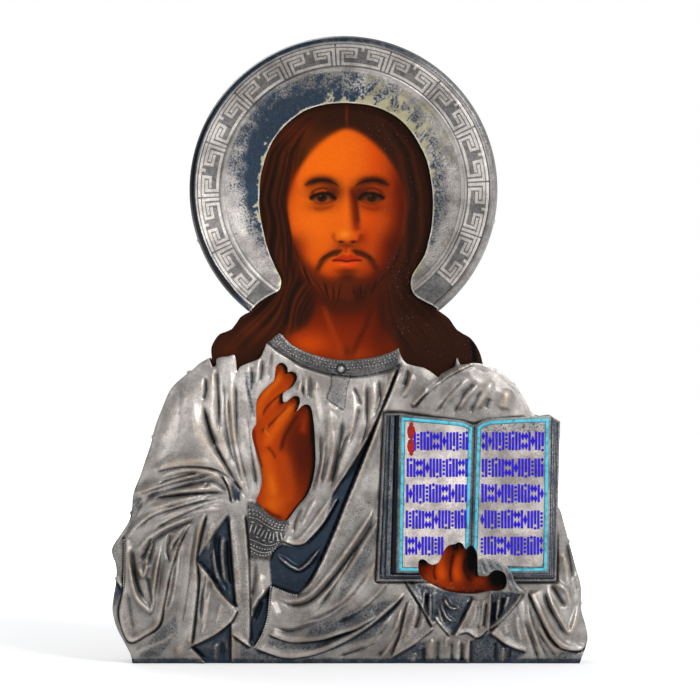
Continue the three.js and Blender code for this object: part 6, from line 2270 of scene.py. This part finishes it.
@dataclass
class Book:
    """The open book: cover, leaves, silver page plates with enamel borders and ornament."""

    clearance: float = 0.3 * MM
    plate: float = 0.8 * MM
    margin: float = 1.1 * MM
    border: float = 1.4 * MM

    def __post_init__(self) -> None:
        """Lays out the opening that the hand shows through."""
        self.opening = outline_of(BOOK_HAND_OPENING, 0.5 * MM)

    def build(self, group: Tree) -> None:
        """Builds the book.

        Args:
            group: the shared patina.
        """
        dark = Silver("book_silver", (0.62, 0.61, 0.60), (0.40, 0.41, 0.43), matte=0.5, bump=0.5).make(group)
        bright = Silver("page_silver", (0.86, 0.82, 0.80), (0.62, 0.59, 0.57), matte=0.3).make(group)
        cuff = Silver("cuff_silver", (0.66, 0.65, 0.63), (0.36, 0.36, 0.37), matte=0.6).make(group)
        turquoise = Enamel("turquoise_enamel", TURQUOISE).make()
        self.build_cover(dark)
        for page in (LEFT_PAGE, RIGHT_PAGE):
            self.build_leaves(page, dark)
            self.build_plate(page, bright)
            self.build_border(page, turquoise)
        self.build_ornament()
        self.build_cloth(cuff)

    def build_cover(self, silver: Material) -> None:
        """The boards behind the leaves, with a chased line along their edge.

        Args:
            silver: its finish.
        """
        outline = turn_clockwise(divided(to_panel(BOOK_COVER), 1.2 * MM, True))
        steps = [0, 0.15, 0.4, 1.0, 1.2, 1.5, 1.8, 3.0]
        guides = [shifted(outline, step * MM) for step in steps[1:]]

        def level(points: Array) -> Array:
            """The level of the boards' front.

            Args:
                points: places on the panel.

            Returns:
                The level at each place.
            """
            away = distance_to(points, joined(outline)) / MM
            drops = [0.45, 0.15, 0.0, 0.0, 0.45, 0.45, 0.0, 0.0]
            return COVER_FRONT - 0.05 * MM - np.interp(away, steps, drops) * MM

        def marks(points: Array) -> Marks:
            """Dark in the line, worn along the edge.

            Args:
                points: places on the panel.

            Returns:
                The values by their names.
            """
            away = distance_to(points, joined(outline)) / MM
            hollow = np.interp(away, steps, [0.2, 0.0, 0.05, 0.25, 0.9, 0.9, 0.35, 0.5])
            ridge = np.interp(away, [0, 0.5, 0.9], [0.8, 0.5, 0.0])
            return silver_marks(points, hollow=hollow, ridge=ridge, blue=0.25, stipple=0.4)

        boards = Relief("book_boards", [outline], [self.opening], 2 * MM, guides)
        settle(boards.build(level, level_of(COVER_BACK), marks), silver, "silver", "book_shell")

    def build_leaves(self, page: Page, silver: Material) -> None:
        """A leaf block, its side grooved lengthwise where the leaves lie on each other.

        Args:
            page: which half of the book.
            silver: its finish.
        """
        steps, drops, side_shades = SIDE_SHARES[page.name]
        rows = np.linspace(416, 577, 150)
        guides = []
        for step in [*steps[1:-1], 0.2, 0.55]:
            down = page.fore[0][1] + 5.5 * step
            kept = rows[rows < down]
            guides.append(to_panel(np.column_stack([page.down_side(step, kept), kept])))
            across = np.linspace(page.down_side(step, down), page.gutter[0][0], 110)[:-1]
            guides.append(to_panel([(x, down) for x in across]))
        block = page.block_outline()
        inner, hand = shifted(block, 0.25 * MM), shifted(self.opening, -0.3 * MM)
        guides = [guide[is_inside(guide, inner) & ~is_inside(guide, hand)] for guide in guides]

        def level(points: Array) -> Array:
            """The level of the face and of the grooved side."""
            return page.face_level(points) - np.interp(page.side(points), steps, drops) * MM

        def marks(points: Array) -> Marks:
            """Painted shade down the grooved side, most on the left page, and in the gutter; the right page
            painted lighter; stippled in the margin.

            Args:
                points: places on the panel.

            Returns:
                The values by their names.
            """
            down = page.side(points)
            # Painted shade in the gutter.
            gutter = 0.75 * ease((page.share(points) - 0.93) / 0.07)
            hollow = np.clip(np.maximum(np.interp(down, steps, side_shades), gutter), 0, 1)
            # The right page painted lighter.
            tone = 1.0 if page is LEFT_PAGE else 1.15
            return silver_marks(points, hollow=hollow, blue=np.where(down > 0.02, 0.3, 0.0), stipple=0.5,
                                tone=tone)

        coarse = shifted(page.face_outline(), 3 * MM)
        leaves = Relief(f"{page.name}_leaves", [block], [self.opening], 0.8 * MM, guides, coarse)
        settle(leaves.build(level, level_of(COVER_FRONT - 0.6 * MM), marks), silver, "silver", "book_shell")

    def lifted(self, page: Page, lift: float) -> Level:
        """A level above the page's face."""
        return lambda points: page.face_level(points) + lift

    def build_plate(self, page: Page, silver: Material) -> None:
        """The silver plate that carries the ornament.

        Args:
            page: which half of the book.
            silver: its finish.
        """
        outline = shifted(page.face_outline(), self.margin + self.border + self.clearance)

        def marks(points: Array) -> Marks:
            """Greyer at the head of the right page and in small patches.

            Args:
                points: places on the panel.

            Returns:
                The values by their names.
            """
            x, y = to_pixels(points)
            head, edge, tone = ease((452 - y) / 26), ease((x - 535) / 10), 0.85
            if page is LEFT_PAGE:
                head, edge, tone = 0.45 * ease((432 - y) / 12), 0.35 * ease((540 - y) / 60 - 0.8), 1.0
            grey = np.maximum(head * 0.75, edge * 0.5)
            return silver_marks(points, hollow=0.35 * grey, blue=0.25 * grey, stipple=0.6 * grey, tone=tone)

        plate = Relief(f"{page.name}_page", [outline], [self.opening], 0.9 * MM)
        front, back = self.lifted(page, self.clearance + self.plate), self.lifted(page, self.clearance)
        settle(plate.build(front, back, marks), silver, "page_silver", f"{page.name}_page_plate")

    def build_border(self, page: Page, enamel: Material) -> None:
        """The enamelled frame round the plate, rounded along its edges.

        Args:
            page: which half of the book.
            enamel: its finish.
        """
        outer = shifted(page.face_outline(), self.margin)
        inner = shifted(page.face_outline(), self.margin + self.border)
        rim = self.clearance + self.plate + 0.15 * MM
        guides = [shifted(outer, share * self.border) for share in (0.2, 0.5, 0.8)]

        def level(points: Array) -> Array:
            """The level of the enamel, full in its middle."""
            edge = np.minimum(distance_to(points, joined(outer)), distance_to(points, joined(inner)))
            return page.face_level(points) + rim + 0.3 * MM * ease(edge / (0.45 * MM))

        name = f"{page.name}_enamel_border"
        border = Relief(name, [outer], [inner, self.opening], 1 * MM, guides, scattered=False)
        settle(border.build(level, self.lifted(page, self.clearance)), enamel, "enamel",
               f"{page.name}_page_border")

    def build_ornament(self) -> None:
        """Rows of plain enamel ornament: bars, lozenges and dots."""
        chance = np.random.default_rng(5)
        kinds: dict[str, list] = {"bar": [], "lozenge": [], "dot": []}
        for page, first, last in ((LEFT_PAGE, 408.5, 467), (RIGHT_PAGE, 483, 542)):
            for row, top in enumerate(ORNAMENT_ROWS):
                lean = page.along(page.fore, top + 8.0) - page.fore[1][0]
                for i in range(19):
                    sign = ORNAMENT[(i + 5 * row + (9 if page is RIGHT_PAGE else 0)) % len(ORNAMENT)]
                    x = first + (last - first) / 18 * i + lean
                    if page is LEFT_PAGE and ((row == 0 and i < 2) or (row == 4 and x > 442)):
                        continue
                    high = top - 0.8 + 0.8 * chance.random()
                    low = top + 17.4 + 0.8 * chance.random()
                    self.add_sign(kinds, sign, x, high, low)
        blue = Enamel("blue_enamel", BLUE).make()
        for kind, corners, taper in (("bar", 4, 0.86), ("lozenge", 4, 0.7), ("dot", 10, 0.7)):
            self.set_signs(f"ornament_{kind}s", kinds[kind], corners, taper, blue)
        self.set_signs("ornament_initial", INITIAL, 8, 0.75, Enamel("red_enamel", RED).make())

    def add_sign(self, kinds: dict[str, list], sign: str, x: float, high: float, low: float) -> None:
        """Adds one sign's parts, each as its middle and its half sizes, in pixels.

        Args:
            kinds: the parts so far, by kind.
            sign: which sign it is.
            x: where it stands on its row.
            high: its top.
            low: its foot.
        """
        middle, tall = (high + low) / 2, (low - high) / 2
        if sign == "|":
            kinds["bar"].append((x, middle, 1.2, tall))
        elif sign == "!":
            kinds["bar"].append((x, middle - 2.2, 1.2, tall - 2.2))
            kinds["dot"].append((x, low - 0.6, 1.45, 1.45))
        elif sign == "'":
            kinds["bar"].append((x, middle + 2.4, 1.2, tall - 2.4))
            kinds["lozenge"].append((x, high + 0.8, 1.8, 2.4))
        elif sign in "<>":
            kinds["lozenge"] += [(x, middle + step, 2.0, 4.6) for step in (-4.8, 4.8)]
        elif sign == ":":
            kinds["dot"] += [(x, middle + step, 1.5, 1.5) for step in (-6, -2, 2, 6)]
        else:
            kinds["lozenge"].append((x, middle, 2.1, 6.0))

    def set_signs(self, name: str, signs: list, corners: int, taper: float, enamel: Material) -> None:
        """Sets signs of one kind on the pages, tilted with them.

        Args:
            name: the piece's name.
            signs: the parts, each as its middle and its half sizes, in pixels.
            corners: how many corners a part has.
            taper: the share of a part's size that its top keeps.
            enamel: the finish.
        """
        table = np.array(signs)
        table = table[~is_inside(to_panel(table[:, :2]), shifted(self.opening, -1.4 * MM))]
        points = to_panel(table[:, :2])
        left = table[:, 0] < 473
        beside = 0.2 * MM
        level, next_level = (
            np.where(left, LEFT_PAGE.face_level(spots), RIGHT_PAGE.face_level(spots))
            for spots in (points, points + (beside, 0))
        )
        tilt = -np.arctan2(next_level - level, beside)
        places = np.column_stack([points[:, 0], -(level + self.clearance + self.plate), points[:, 1]])
        turns = np.column_stack([0 * tilt, 0 * tilt, tilt])
        sizes = np.column_stack([table[:, 2] * PIXEL, 0 * tilt + 0.5 * MM, table[:, 3] * PIXEL])
        radius, spin = (math.sqrt(2), math.pi / 4) if name == "ornament_bars" else (1.0, 0.0)
        shape = Repeater(name, corners, radius, 1.0, taper, spin=spin)
        settle(shape.build(places, turns, sizes, enamel), enamel, "enamel")

    def build_cloth(self, silver: Material) -> None:
        """The fold of cloth that the holding hand comes out of, over the book's foot.

        Args:
            silver: its finish.
        """
        outline = outline_of(HAND_CLOTH, 0.4 * MM)

        def bed(points: Array) -> Array:
            """The level of what the cloth lies on."""
            drop = np.interp(to_pixels(points)[1], [566, 573, 582, 594], [0, 0.6, 4.2, 7.2])
            return RIGHT_PAGE.face_level(points) + self.clearance + self.plate - drop * MM

        def wave(points: Array) -> Array:
            """The run of the creases."""
            x, y = to_pixels(points)
            return np.sin((x - y * 0.5) * 0.9)

        def level(points: Array) -> Array:
            """The level of the cloth's front, full in the middle and creased."""
            full = ease(distance_to(points, joined(outline)) / (1.4 * MM))
            return bed(points) + (0.55 + 0.75 * full + 0.25 * wave(points) * full) * MM

        def marks(points: Array) -> Marks:
            """Bright along the edge, with wear and a painted highlight; dark in the folds, with patina and
            painted shade.

            Args:
                points: places on the panel.

            Returns:
                The values by their names.
            """
            edge = distance_to(points, joined(outline)) / MM
            fold = 0.5 - 0.5 * wave(points)
            hollow = np.interp(edge, [0, 0.5, 1.2], [0.0, 0.25, 0.6]) * fold
            ridge, stipple = np.interp(edge, [0, 0.6], [0.6, 0]), np.interp(edge, [0, 1, 1.5], [1, 0.8, 0.3])
            return silver_marks(points, hollow=hollow, ridge=ridge, blue=0.4 * fold * ease(edge - 0.8),
                                stipple=stipple)

        cloth = Relief("book_hand_cloth", [outline], [], 0.45 * MM)
        settle(cloth.build(level, lambda points: bed(points) + 0.1 * MM, marks), silver, "silver")


@dataclass(frozen=True)
class Enamel:
    """Glassy colour, a little uneven and pitted."""

    name: str
    colour: Colour

    def make(self) -> Material:
        """Builds the material.

        Returns:
            The material.
        """
        material, graph = new_material(self.name)
        place = graph.place()
        cloud = graph.noise(place, 420, 3)
        pits = graph.ramp(graph.noise(place, 1500, 2), 0.62, 0.7)
        deep = tuple(0.55 * c for c in self.colour)
        colour = graph.mix(graph.ramp(cloud, 0.42, 0.82), linear(self.colour), linear(deep))
        colour = graph.mix(pits * 0.25, colour, (0.35, 0.33, 0.31, 1))
        surface = {"Base Color": colour, "Roughness": cloud * 0.25 + 0.28, "Coat Weight": 0.1,
                   "Coat Roughness": 0.12, "Specular IOR Level": 0.2}
        graph.dress(surface, cloud - pits, 0.3, 0.08)
        return material


MEANDER = [
    [(0.5, 0), (0.5, 4), (4.6, 4), (4.6, 2), (2.5, 2)],
    [(1.6, 0), (5.9, 0)],
    [(1.6, 0), (1.6, 3), (3.6, 3)],
    [(0.5, 5), (6.0, 5)],
    [(6.0, 5), (6.0, 4)],
]
CUFF_TOP = [248, 507, 258, 509, 267, 516, 278, 522.5, 289, 524.5]
CUFF_FOOT = [251, 554, 257, 557.5, 263, 558.5, 269, 556.5, 275, 550]


@dataclass
class Meander:
    """The key pattern of the halo's band: one unit, repeated round the axis."""

    inner: float = 60.1 * MM
    column: float = 2.0 * MM
    row: float = 1.74 * MM
    width: float = 1.27 * MM
    rise: float = 0.26 * MM
    band: Pair = (59 * MM, 69.3 * MM)
    units: int = 16
    phase: float = math.radians(3.3)

    def strip(self, path: list[Pair], flipped: bool) -> Array:
        """The outline of one mitred strip, bent round the halo.

        Args:
            path: the strip's corners, in columns and rows.
            flipped: whether it is mirrored.

        Returns:
            Its outline round the origin.
        """
        line = np.array(path) * (self.column, self.row)
        if flipped:
            line[:, 0] = 12 * self.column - line[:, 0]
        line = divided(line, 2.2 * MM, False)
        half = self.width / 2
        for near, far in ((0, 1), (-1, -2)):
            along = line[near] - line[far]
            line[near] += along / np.linalg.norm(along) * half
        flat = np.vstack([shifted(line, half, False), shifted(line, -half, False)[::-1]])
        angle = flat[:, 0] / (self.column * 12) * math.tau / self.units
        radius = self.inner + flat[:, 1]
        return turn_clockwise(np.column_stack([radius * np.cos(angle), radius * np.sin(angle)]))

    def first_and_count(self, head: Array, step: float) -> tuple[int, int]:
        """The first unit and how many of them lie wholly on the dish.

        Args:
            head: the outline of the head opening.
            step: the angle of one unit.

        Returns:
            The first unit's number and the count.
        """
        centre = to_panel(HALO_CENTRE)[0]
        kept = []
        for i in range(-6, self.units):
            angles = self.phase + step * (i + np.linspace(0.02, 0.98, 12))
            ways = np.column_stack([np.cos(angles), np.sin(angles)])
            ring = [centre + radius * ways for radius in self.band]
            if not is_inside(np.vstack(ring), shifted(head, -0.8 * MM)).any():
                kept.append(i)
        longest = max(np.split(kept, np.nonzero(np.diff(kept) > 1)[0] + 1), key=len)
        return int(longest[0]), min(len(longest), self.units)

    def build(self, halo: "Halo", head: Array, silver: Material) -> None:
        """Builds the band's pattern.

        Args:
            halo: the dish that it stands on.
            head: the outline of the head opening.
            silver: its finish.
        """
        centre = to_panel(HALO_CENTRE)[0]
        loops = [self.strip(path, flipped) + centre for path in MEANDER for flipped in (False, True)]
        unit = Relief("halo_meander", loops, scattered=False)
        piece = unit.build(
            lambda points: halo.level(points) + self.rise,
            lambda points: halo.level(points) - 0.3 * MM,
            silver_marks,
        )
        paint_piece(piece, silver)
        step = math.tau / self.units
        first, count = self.first_and_count(head, step)
        values = {"Count": count, "First": first, "Step": -step, "Phase": -self.phase,
                  "Centre": (centre[0], 0.0, centre[1])}
        bake_nodes(piece, self.tree(silver), values)
        # Painted light and shade by angle round the dish, a little brighter than the band under it.
        away = np.array([vertex.co[:] for vertex in piece.data.vertices])[:, (0, 2)] - centre
        degrees = np.degrees(np.arctan2(away[:, 1], away[:, 0])) % 360
        piece.data.attributes.remove(piece.data.attributes["tone"])
        mark(piece.data, "tone", np.interp(degrees, LIT_DEGREES, np.array(LIT_SHARES) * 1.2 + 0.06))
        settle(piece, silver, "silver")

    def tree(self, silver: Material) -> Tree:
        """The tree: the unit, turned about the halo's axis as many times as asked.

        Args:
            silver: its finish.

        Returns:
            The tree.
        """
        inputs = {"Unit": "Geometry", "Count": "Int", "First": "Int", "Step": "Float", "Phase": "Float",
                  "Centre": "Vector"}
        graph, given = new_tree("round_the_axis", inputs)
        back = {"Geometry": given["Unit"], "Translation": graph.scaled(given["Centre"], -1)}
        centred = graph.node("GeometryNodeTransform", given=back)
        spots = graph.node("GeometryNodePoints", given={"Count": given["Count"], "Position": given["Centre"]})
        index = Value(graph, graph.node("GeometryNodeInputIndex").outputs[0])
        angle = (index + given["First"]) * given["Step"] + given["Phase"]
        turn = graph.node("ShaderNodeCombineXYZ", 0.0, angle, 0.0)
        return graph.repeat(spots.outputs[0], centred.outputs[0], {"Rotation": turn.outputs[0]}, silver)


@dataclass
class Trimmings:
    """Beads, stitches and the cuff's ornament, set on the chased cloth."""

    cloth: Garments

    def along(self, pixels: Pixels, spacing: float, shift: float = 0.0) -> tuple[Array, Array]:
        """Lays even places along a path.

        Args:
            pixels: the path.
            spacing: the distance between the places.
            shift: how far the places lie to the right of the path.

        Returns:
            The places, and the path's angle at each.
        """
        line = smooth_path(pixels, 0.2 * MM)
        if shift:
            line = shifted(line, shift, False)
        run = np.concatenate([[0], np.cumsum(np.linalg.norm(np.diff(line, axis=0), axis=1))])
        wanted = np.arange(spacing / 2, run[-1], spacing)
        points, ahead, behind = (
            np.column_stack([np.interp(wanted + step, run, values) for values in line.T])
            for step in (0, 0.2 * MM, -0.2 * MM)
        )
        way = ahead - behind
        return points, np.arctan2(way[:, 1], way[:, 0])

    def set_on_cloth(
        self, name: str, rows: list[tuple[Array, Array]], size: tuple[float, float, float], corners: int,
        silver: Material, smooth: bool = False,
    ) -> None:
        """Sets one shape on many places of the cloth.

        Args:
            name: the piece's name.
            rows: rows of places on the panel and of angles on it.
            size: half length, half height off the cloth and half breadth, in millimetres.
            corners: how many corners the shape has.
            silver: its finish.
            smooth: whether it is a bead and not a prism.
        """
        points, turn = (np.concatenate(parts) for parts in zip(*rows))
        places = np.column_stack([points[:, 0], -self.cloth.front(points), points[:, 1]])
        turns = np.column_stack([0 * turn, -turn, 0 * turn])
        sizes = np.tile(np.array(size) * MM, (len(points), 1))
        piece = Repeater(name, corners, 1.0, 2.0, 0.7, smooth).build(places, turns, sizes, silver)
        settle(piece, silver, "silver")

    def build(self, bright: Material) -> None:
        """Builds all the trimmings.

        Args:
            bright: their finish.
        """
        hems = [self.along(path, 1.15 * MM) for path in BEADED_EDGES]
        self.set_on_cloth("hem_beads", hems, (0.5, 0.5, 0.5), 8, bright, True)
        stitches = ((1.5 * MM, 1.2 * MM), (1.5 * MM, 3.9 * MM), (2.6 * MM, 2.5 * MM))
        rows = [self.along(COLLAR_TOP, *row) for row in stitches]
        spots, turn = (np.concatenate(parts) for parts in zip(*rows))
        kept = is_inside(spots, turn_clockwise(shifted(turn_clockwise(self.cloth.collar), 0.3 * MM)))
        kept &= np.linalg.norm(spots - BUTTON, axis=1) > 2.3 * MM
        slanted = [(spots[kept], turn[kept] + math.radians(35))]
        self.set_on_cloth("collar_stitches", slanted, (0.42, 0.28, 0.27), 6, bright)
        self.build_cuff(bright)

    def cuff_row(
        self, share: float, count: int, start: float = 0.05, end: float = 0.95
    ) -> tuple[Array, Array]:
        """Lays even places across the cuff.

        Args:
            share: how far down the cuff, from 0 to 1.
            count: how many places.
            start: where the row starts, as a share of the cuff's width.
            end: where it ends.

        Returns:
            The places, and the row's angle at each.
        """
        top, foot = smooth_path(CUFF_TOP, 0.2 * MM), smooth_path(CUFF_FOOT, 0.2 * MM)
        across = np.linspace(start, end, count)
        spots = []
        for lean in (-0.02, 0, 0.02):
            step = np.clip(across + lean, 0, 1)
            high, low = (
                np.column_stack([np.interp(step, np.linspace(0, 1, len(line)), values) for values in line.T])
                for line in (top, foot)
            )
            spots.append(high + (low - high) * share)
        way = spots[2] - spots[0]
        return spots[1], np.arctan2(way[:, 1], way[:, 0])

    def build_cuff(self, bright: Material) -> None:
        """Rows of dots and bars round a band of keys.

        Args:
            bright: their finish.
        """
        row = self.cuff_row
        dots = [row(share, count) for share, count in ((0.05, 13), (0.13, 12), (0.78, 11), (0.93, 10))]
        self.set_on_cloth("cuff_dots", dots, (0.38, 0.3, 0.38), 8, bright, True)
        spots, turn = row(0.44, 9, 0.06, 0.94)
        self.set_on_cloth("cuff_key_bars", [(spots, turn + math.pi / 2)], (3.0, 0.34, 0.4), 6, bright)
        links = []
        for share, first in ((0.30, 1), (0.58, 3)):
            spots, turn = row(share, 17, 0.06, 0.94)
            links.append((spots[first::4], turn[first::4]))
        self.set_on_cloth("cuff_key_links", links, (1.05, 0.34, 0.4), 6, bright)
        lines = [row(share, 13) for share in (0.21, 0.68, 0.86)]
        self.set_on_cloth("cuff_lines", lines, (0.8, 0.27, 0.26), 6, bright)


@dataclass(frozen=True)
class Timber:
    """Old limewood: long grain, growth rings, a few stains and dark flecks. The grain runs where the scale is
    smaller.
    """

    name: str
    across: float
    along: float
    light: Colour = (0.62, 0.44, 0.27)
    dark: Colour = (0.30, 0.185, 0.105)

    def make(self) -> Material:
        """Builds the material.

        Returns:
            The material.
        """
        material, graph = new_material(self.name)
        place = graph.place()
        drift = graph.noise(graph.stretched(place, (self.across * 0.2, 20, self.along * 0.6)), 1, 2)
        grain = graph.noise(graph.stretched(place, (self.across, 240, self.along)), 1, 6, 0.65)
        pores = graph.noise(graph.stretched(place, (self.across * 6, 900, self.along * 5)), 1, 2)
        rings = graph.math("FRACT", (drift + grain * 0.12) * 9.0)
        colour = graph.mix(graph.ramp(grain, 0.32, 0.7), linear(self.dark), linear(self.light))
        late = tuple(0.72 * c for c in self.dark)
        colour = graph.mix(graph.ramp(rings, 0.6, 1.0) * 0.5, colour, linear(late))
        stain = graph.ramp(graph.noise(place, 16, 4), 0.52, 0.72)
        colour = graph.mix(stain * 0.55, colour, linear((0.17, 0.11, 0.07)))
        fleck = graph.ramp(pores, 0.63, 0.7)
        colour = graph.mix(fleck * 0.6, colour, linear((0.13, 0.08, 0.05)))
        surface = {"Base Color": colour, "Roughness": grain * 0.25 + 0.62, "Specular IOR Level": 0.3}
        graph.dress(surface, grain - fleck * 0.5, 0.55, 0.3)
        return material


def make_iron() -> Material:
    """Blackened iron with brown rust in patches.

    Returns:
        The material.
    """
    material, graph = new_material("old_iron")
    place = graph.place()
    cloud = graph.noise(place, 330, 4)
    grain = graph.noise(place, 1700, 2)
    rust = graph.ramp(cloud, 0.52, 0.66)
    colour = graph.mix(graph.ramp(grain, 0.3, 0.7), linear((0.16, 0.155, 0.15)), linear((0.34, 0.33, 0.32)))
    colour = graph.mix(rust * 0.75, colour, linear((0.36, 0.19, 0.10)))
    surface = {"Base Color": colour, "Metallic": 0.85 - rust * 0.7, "Roughness": rust * 0.35 + 0.45}
    graph.dress(surface, grain + cloud, 0.5, 0.12)
    return material


@dataclass
class Carpentry:
    """The board, its battens and the ironwork, kept as imported and given their finishes."""

    nodes: dict[str, Piece]

    def build(self, nail: Material) -> None:
        """Paints every node that is kept.

        Args:
            nail: the finish of the nails and the button.
        """
        upright = Timber("board_timber", across=260, along=9).make()
        crosswise = Timber("batten_timber", across=9, along=300, light=(0.55, 0.38, 0.23)).make()
        finishes = {"board_plank": upright, "_batten": crosswise, "hanger_": make_iron(), "_nail_": nail,
                    "collar_button": nail}
        for name, node in self.nodes.items():
            for key, material in finishes.items():
                if key in name:
                    paint_piece(node, material)
                    LOG.info("%s keeps its form, in %s", name, material.name)


LAMPS = [
    ("key", (1.05, -1.25, 1.25), 0.55, 21.0),
    ("fill", (-1.2, -1.5, 0.5), 1.0, 4.0),
    ("back", (-0.6, 1.4, 1.3), 1.0, 12.0),
]


@dataclass
class Studio:
    """Floor, lamps, surroundings and camera."""

    distance: float = 1.6
    height: float = 0.150
    film: float = 36
    floor_reach: float = 4

    def build(self) -> None:
        """Sets the scene up round the icon."""
        self.lay_floor()
        self.light()
        self.surround()
        camera = bpy.data.cameras.new("front_camera")
        camera.sensor_width = self.film
        camera.lens = self.film * (self.distance - 0.017) / (700 * PIXEL)
        holder = place_object("front_camera", camera)
        holder.location = (0, -self.distance, self.height)
        holder.rotation_euler = (math.pi / 2, 0, 0)
        bpy.context.scene.camera = holder
        bpy.context.scene.view_settings.view_transform = "Standard"

    def lay_floor(self) -> None:
        """A plain pale floor that keeps the icon's shadow."""
        mesh = bpy.data.meshes.new("floor")
        corners = [(-1, -1, 0), (1, -1, 0), (1, 1, 0), (-1, 1, 0)]
        mesh.from_pydata((np.array(corners) * self.floor_reach).tolist(), [], [(0, 1, 2, 3)])
        floor = place_object("floor", mesh)
        material, graph = new_material("pale_floor")
        rays = graph.node("ShaderNodeLightPath").outputs
        seen = graph.math("MAXIMUM", rays["Is Camera Ray"], rays["Is Glossy Ray"])
        away = graph.node("ShaderNodeVectorMath", graph.place(), operation="LENGTH").outputs["Value"]
        glow = seen * (graph.ramp(away, 0.35, 0.8) * 0.9 + 0.3)
        white = {"Base Color": (0.9, 0.9, 0.9, 1), "Roughness": 0.9, "Emission Color": (1, 1, 1, 1)}
        graph.feed({**white, "Emission Strength": glow})
        paint_piece(floor, material)

    def light(self) -> None:
        """A soft key from the upper right, a weak fill from the left and a lamp behind."""
        for name, place, size, power in LAMPS:
            lamp = bpy.data.lights.new(name, "AREA")
            lamp.size = size
            lamp.energy = power
            holder = place_object(name, lamp)
            holder.location = place
            holder.rotation_euler = (Vector((0, 0, 0.15)) - Vector(place)).to_track_quat("-Z", "Y").to_euler()

    def surround(self) -> None:
        """White to the eye; a pale room, darker low on the left, for what the silver mirrors."""
        world = bpy.data.worlds.new("studio")
        bpy.context.scene.world = world
        world.use_nodes = True
        graph = Graph(world.node_tree)
        background = graph.tree.nodes["Background"]
        rays = graph.node("ShaderNodeLightPath")
        direction = graph.node("ShaderNodeTexCoord").outputs["Generated"]
        lean = graph.node("ShaderNodeVectorMath", direction, (0.45, 0.25, 0.75), operation="DOT_PRODUCT")
        room = graph.node("ShaderNodeMapRange", lean.outputs["Value"], -0.5, 0.75, 0.12, 0.9)
        mirrored = graph.mix(rays.outputs["Is Glossy Ray"], (0.45, 0.46, 0.475, 1), room.outputs[0])
        seen = graph.math("MAXIMUM", rays.outputs["Is Camera Ray"], rays.outputs["Is Transmission Ray"])
        graph.put(background.inputs["Color"], graph.mix(seen, mirrored, (1, 1, 1, 1)))


def main() -> None:
    """Builds every sub-assembly in order."""
    logging.basicConfig(level=logging.INFO, format="%(name)s %(message)s")
    patina = make_patina_group()
    Studio().build()
    garments = Garments()
    garments.build(Silver("chased_silver").make(patina))
    polished = Silver("polished_silver", (0.80, 0.79, 0.77), (0.6, 0.59, 0.58),
                      reads_marks=False).make(patina)
    Halo().build(Silver("halo_silver", worn=(0.66, 0.63, 0.49), matte=0.1, warmth=0.9).make(patina))
    PaintedPanel().build()
    Book().build(patina)
    Trimmings(garments).build(polished)
    Carpentry(frame["nodes"]).build(polished)


if __name__ == "__main__":
    main()
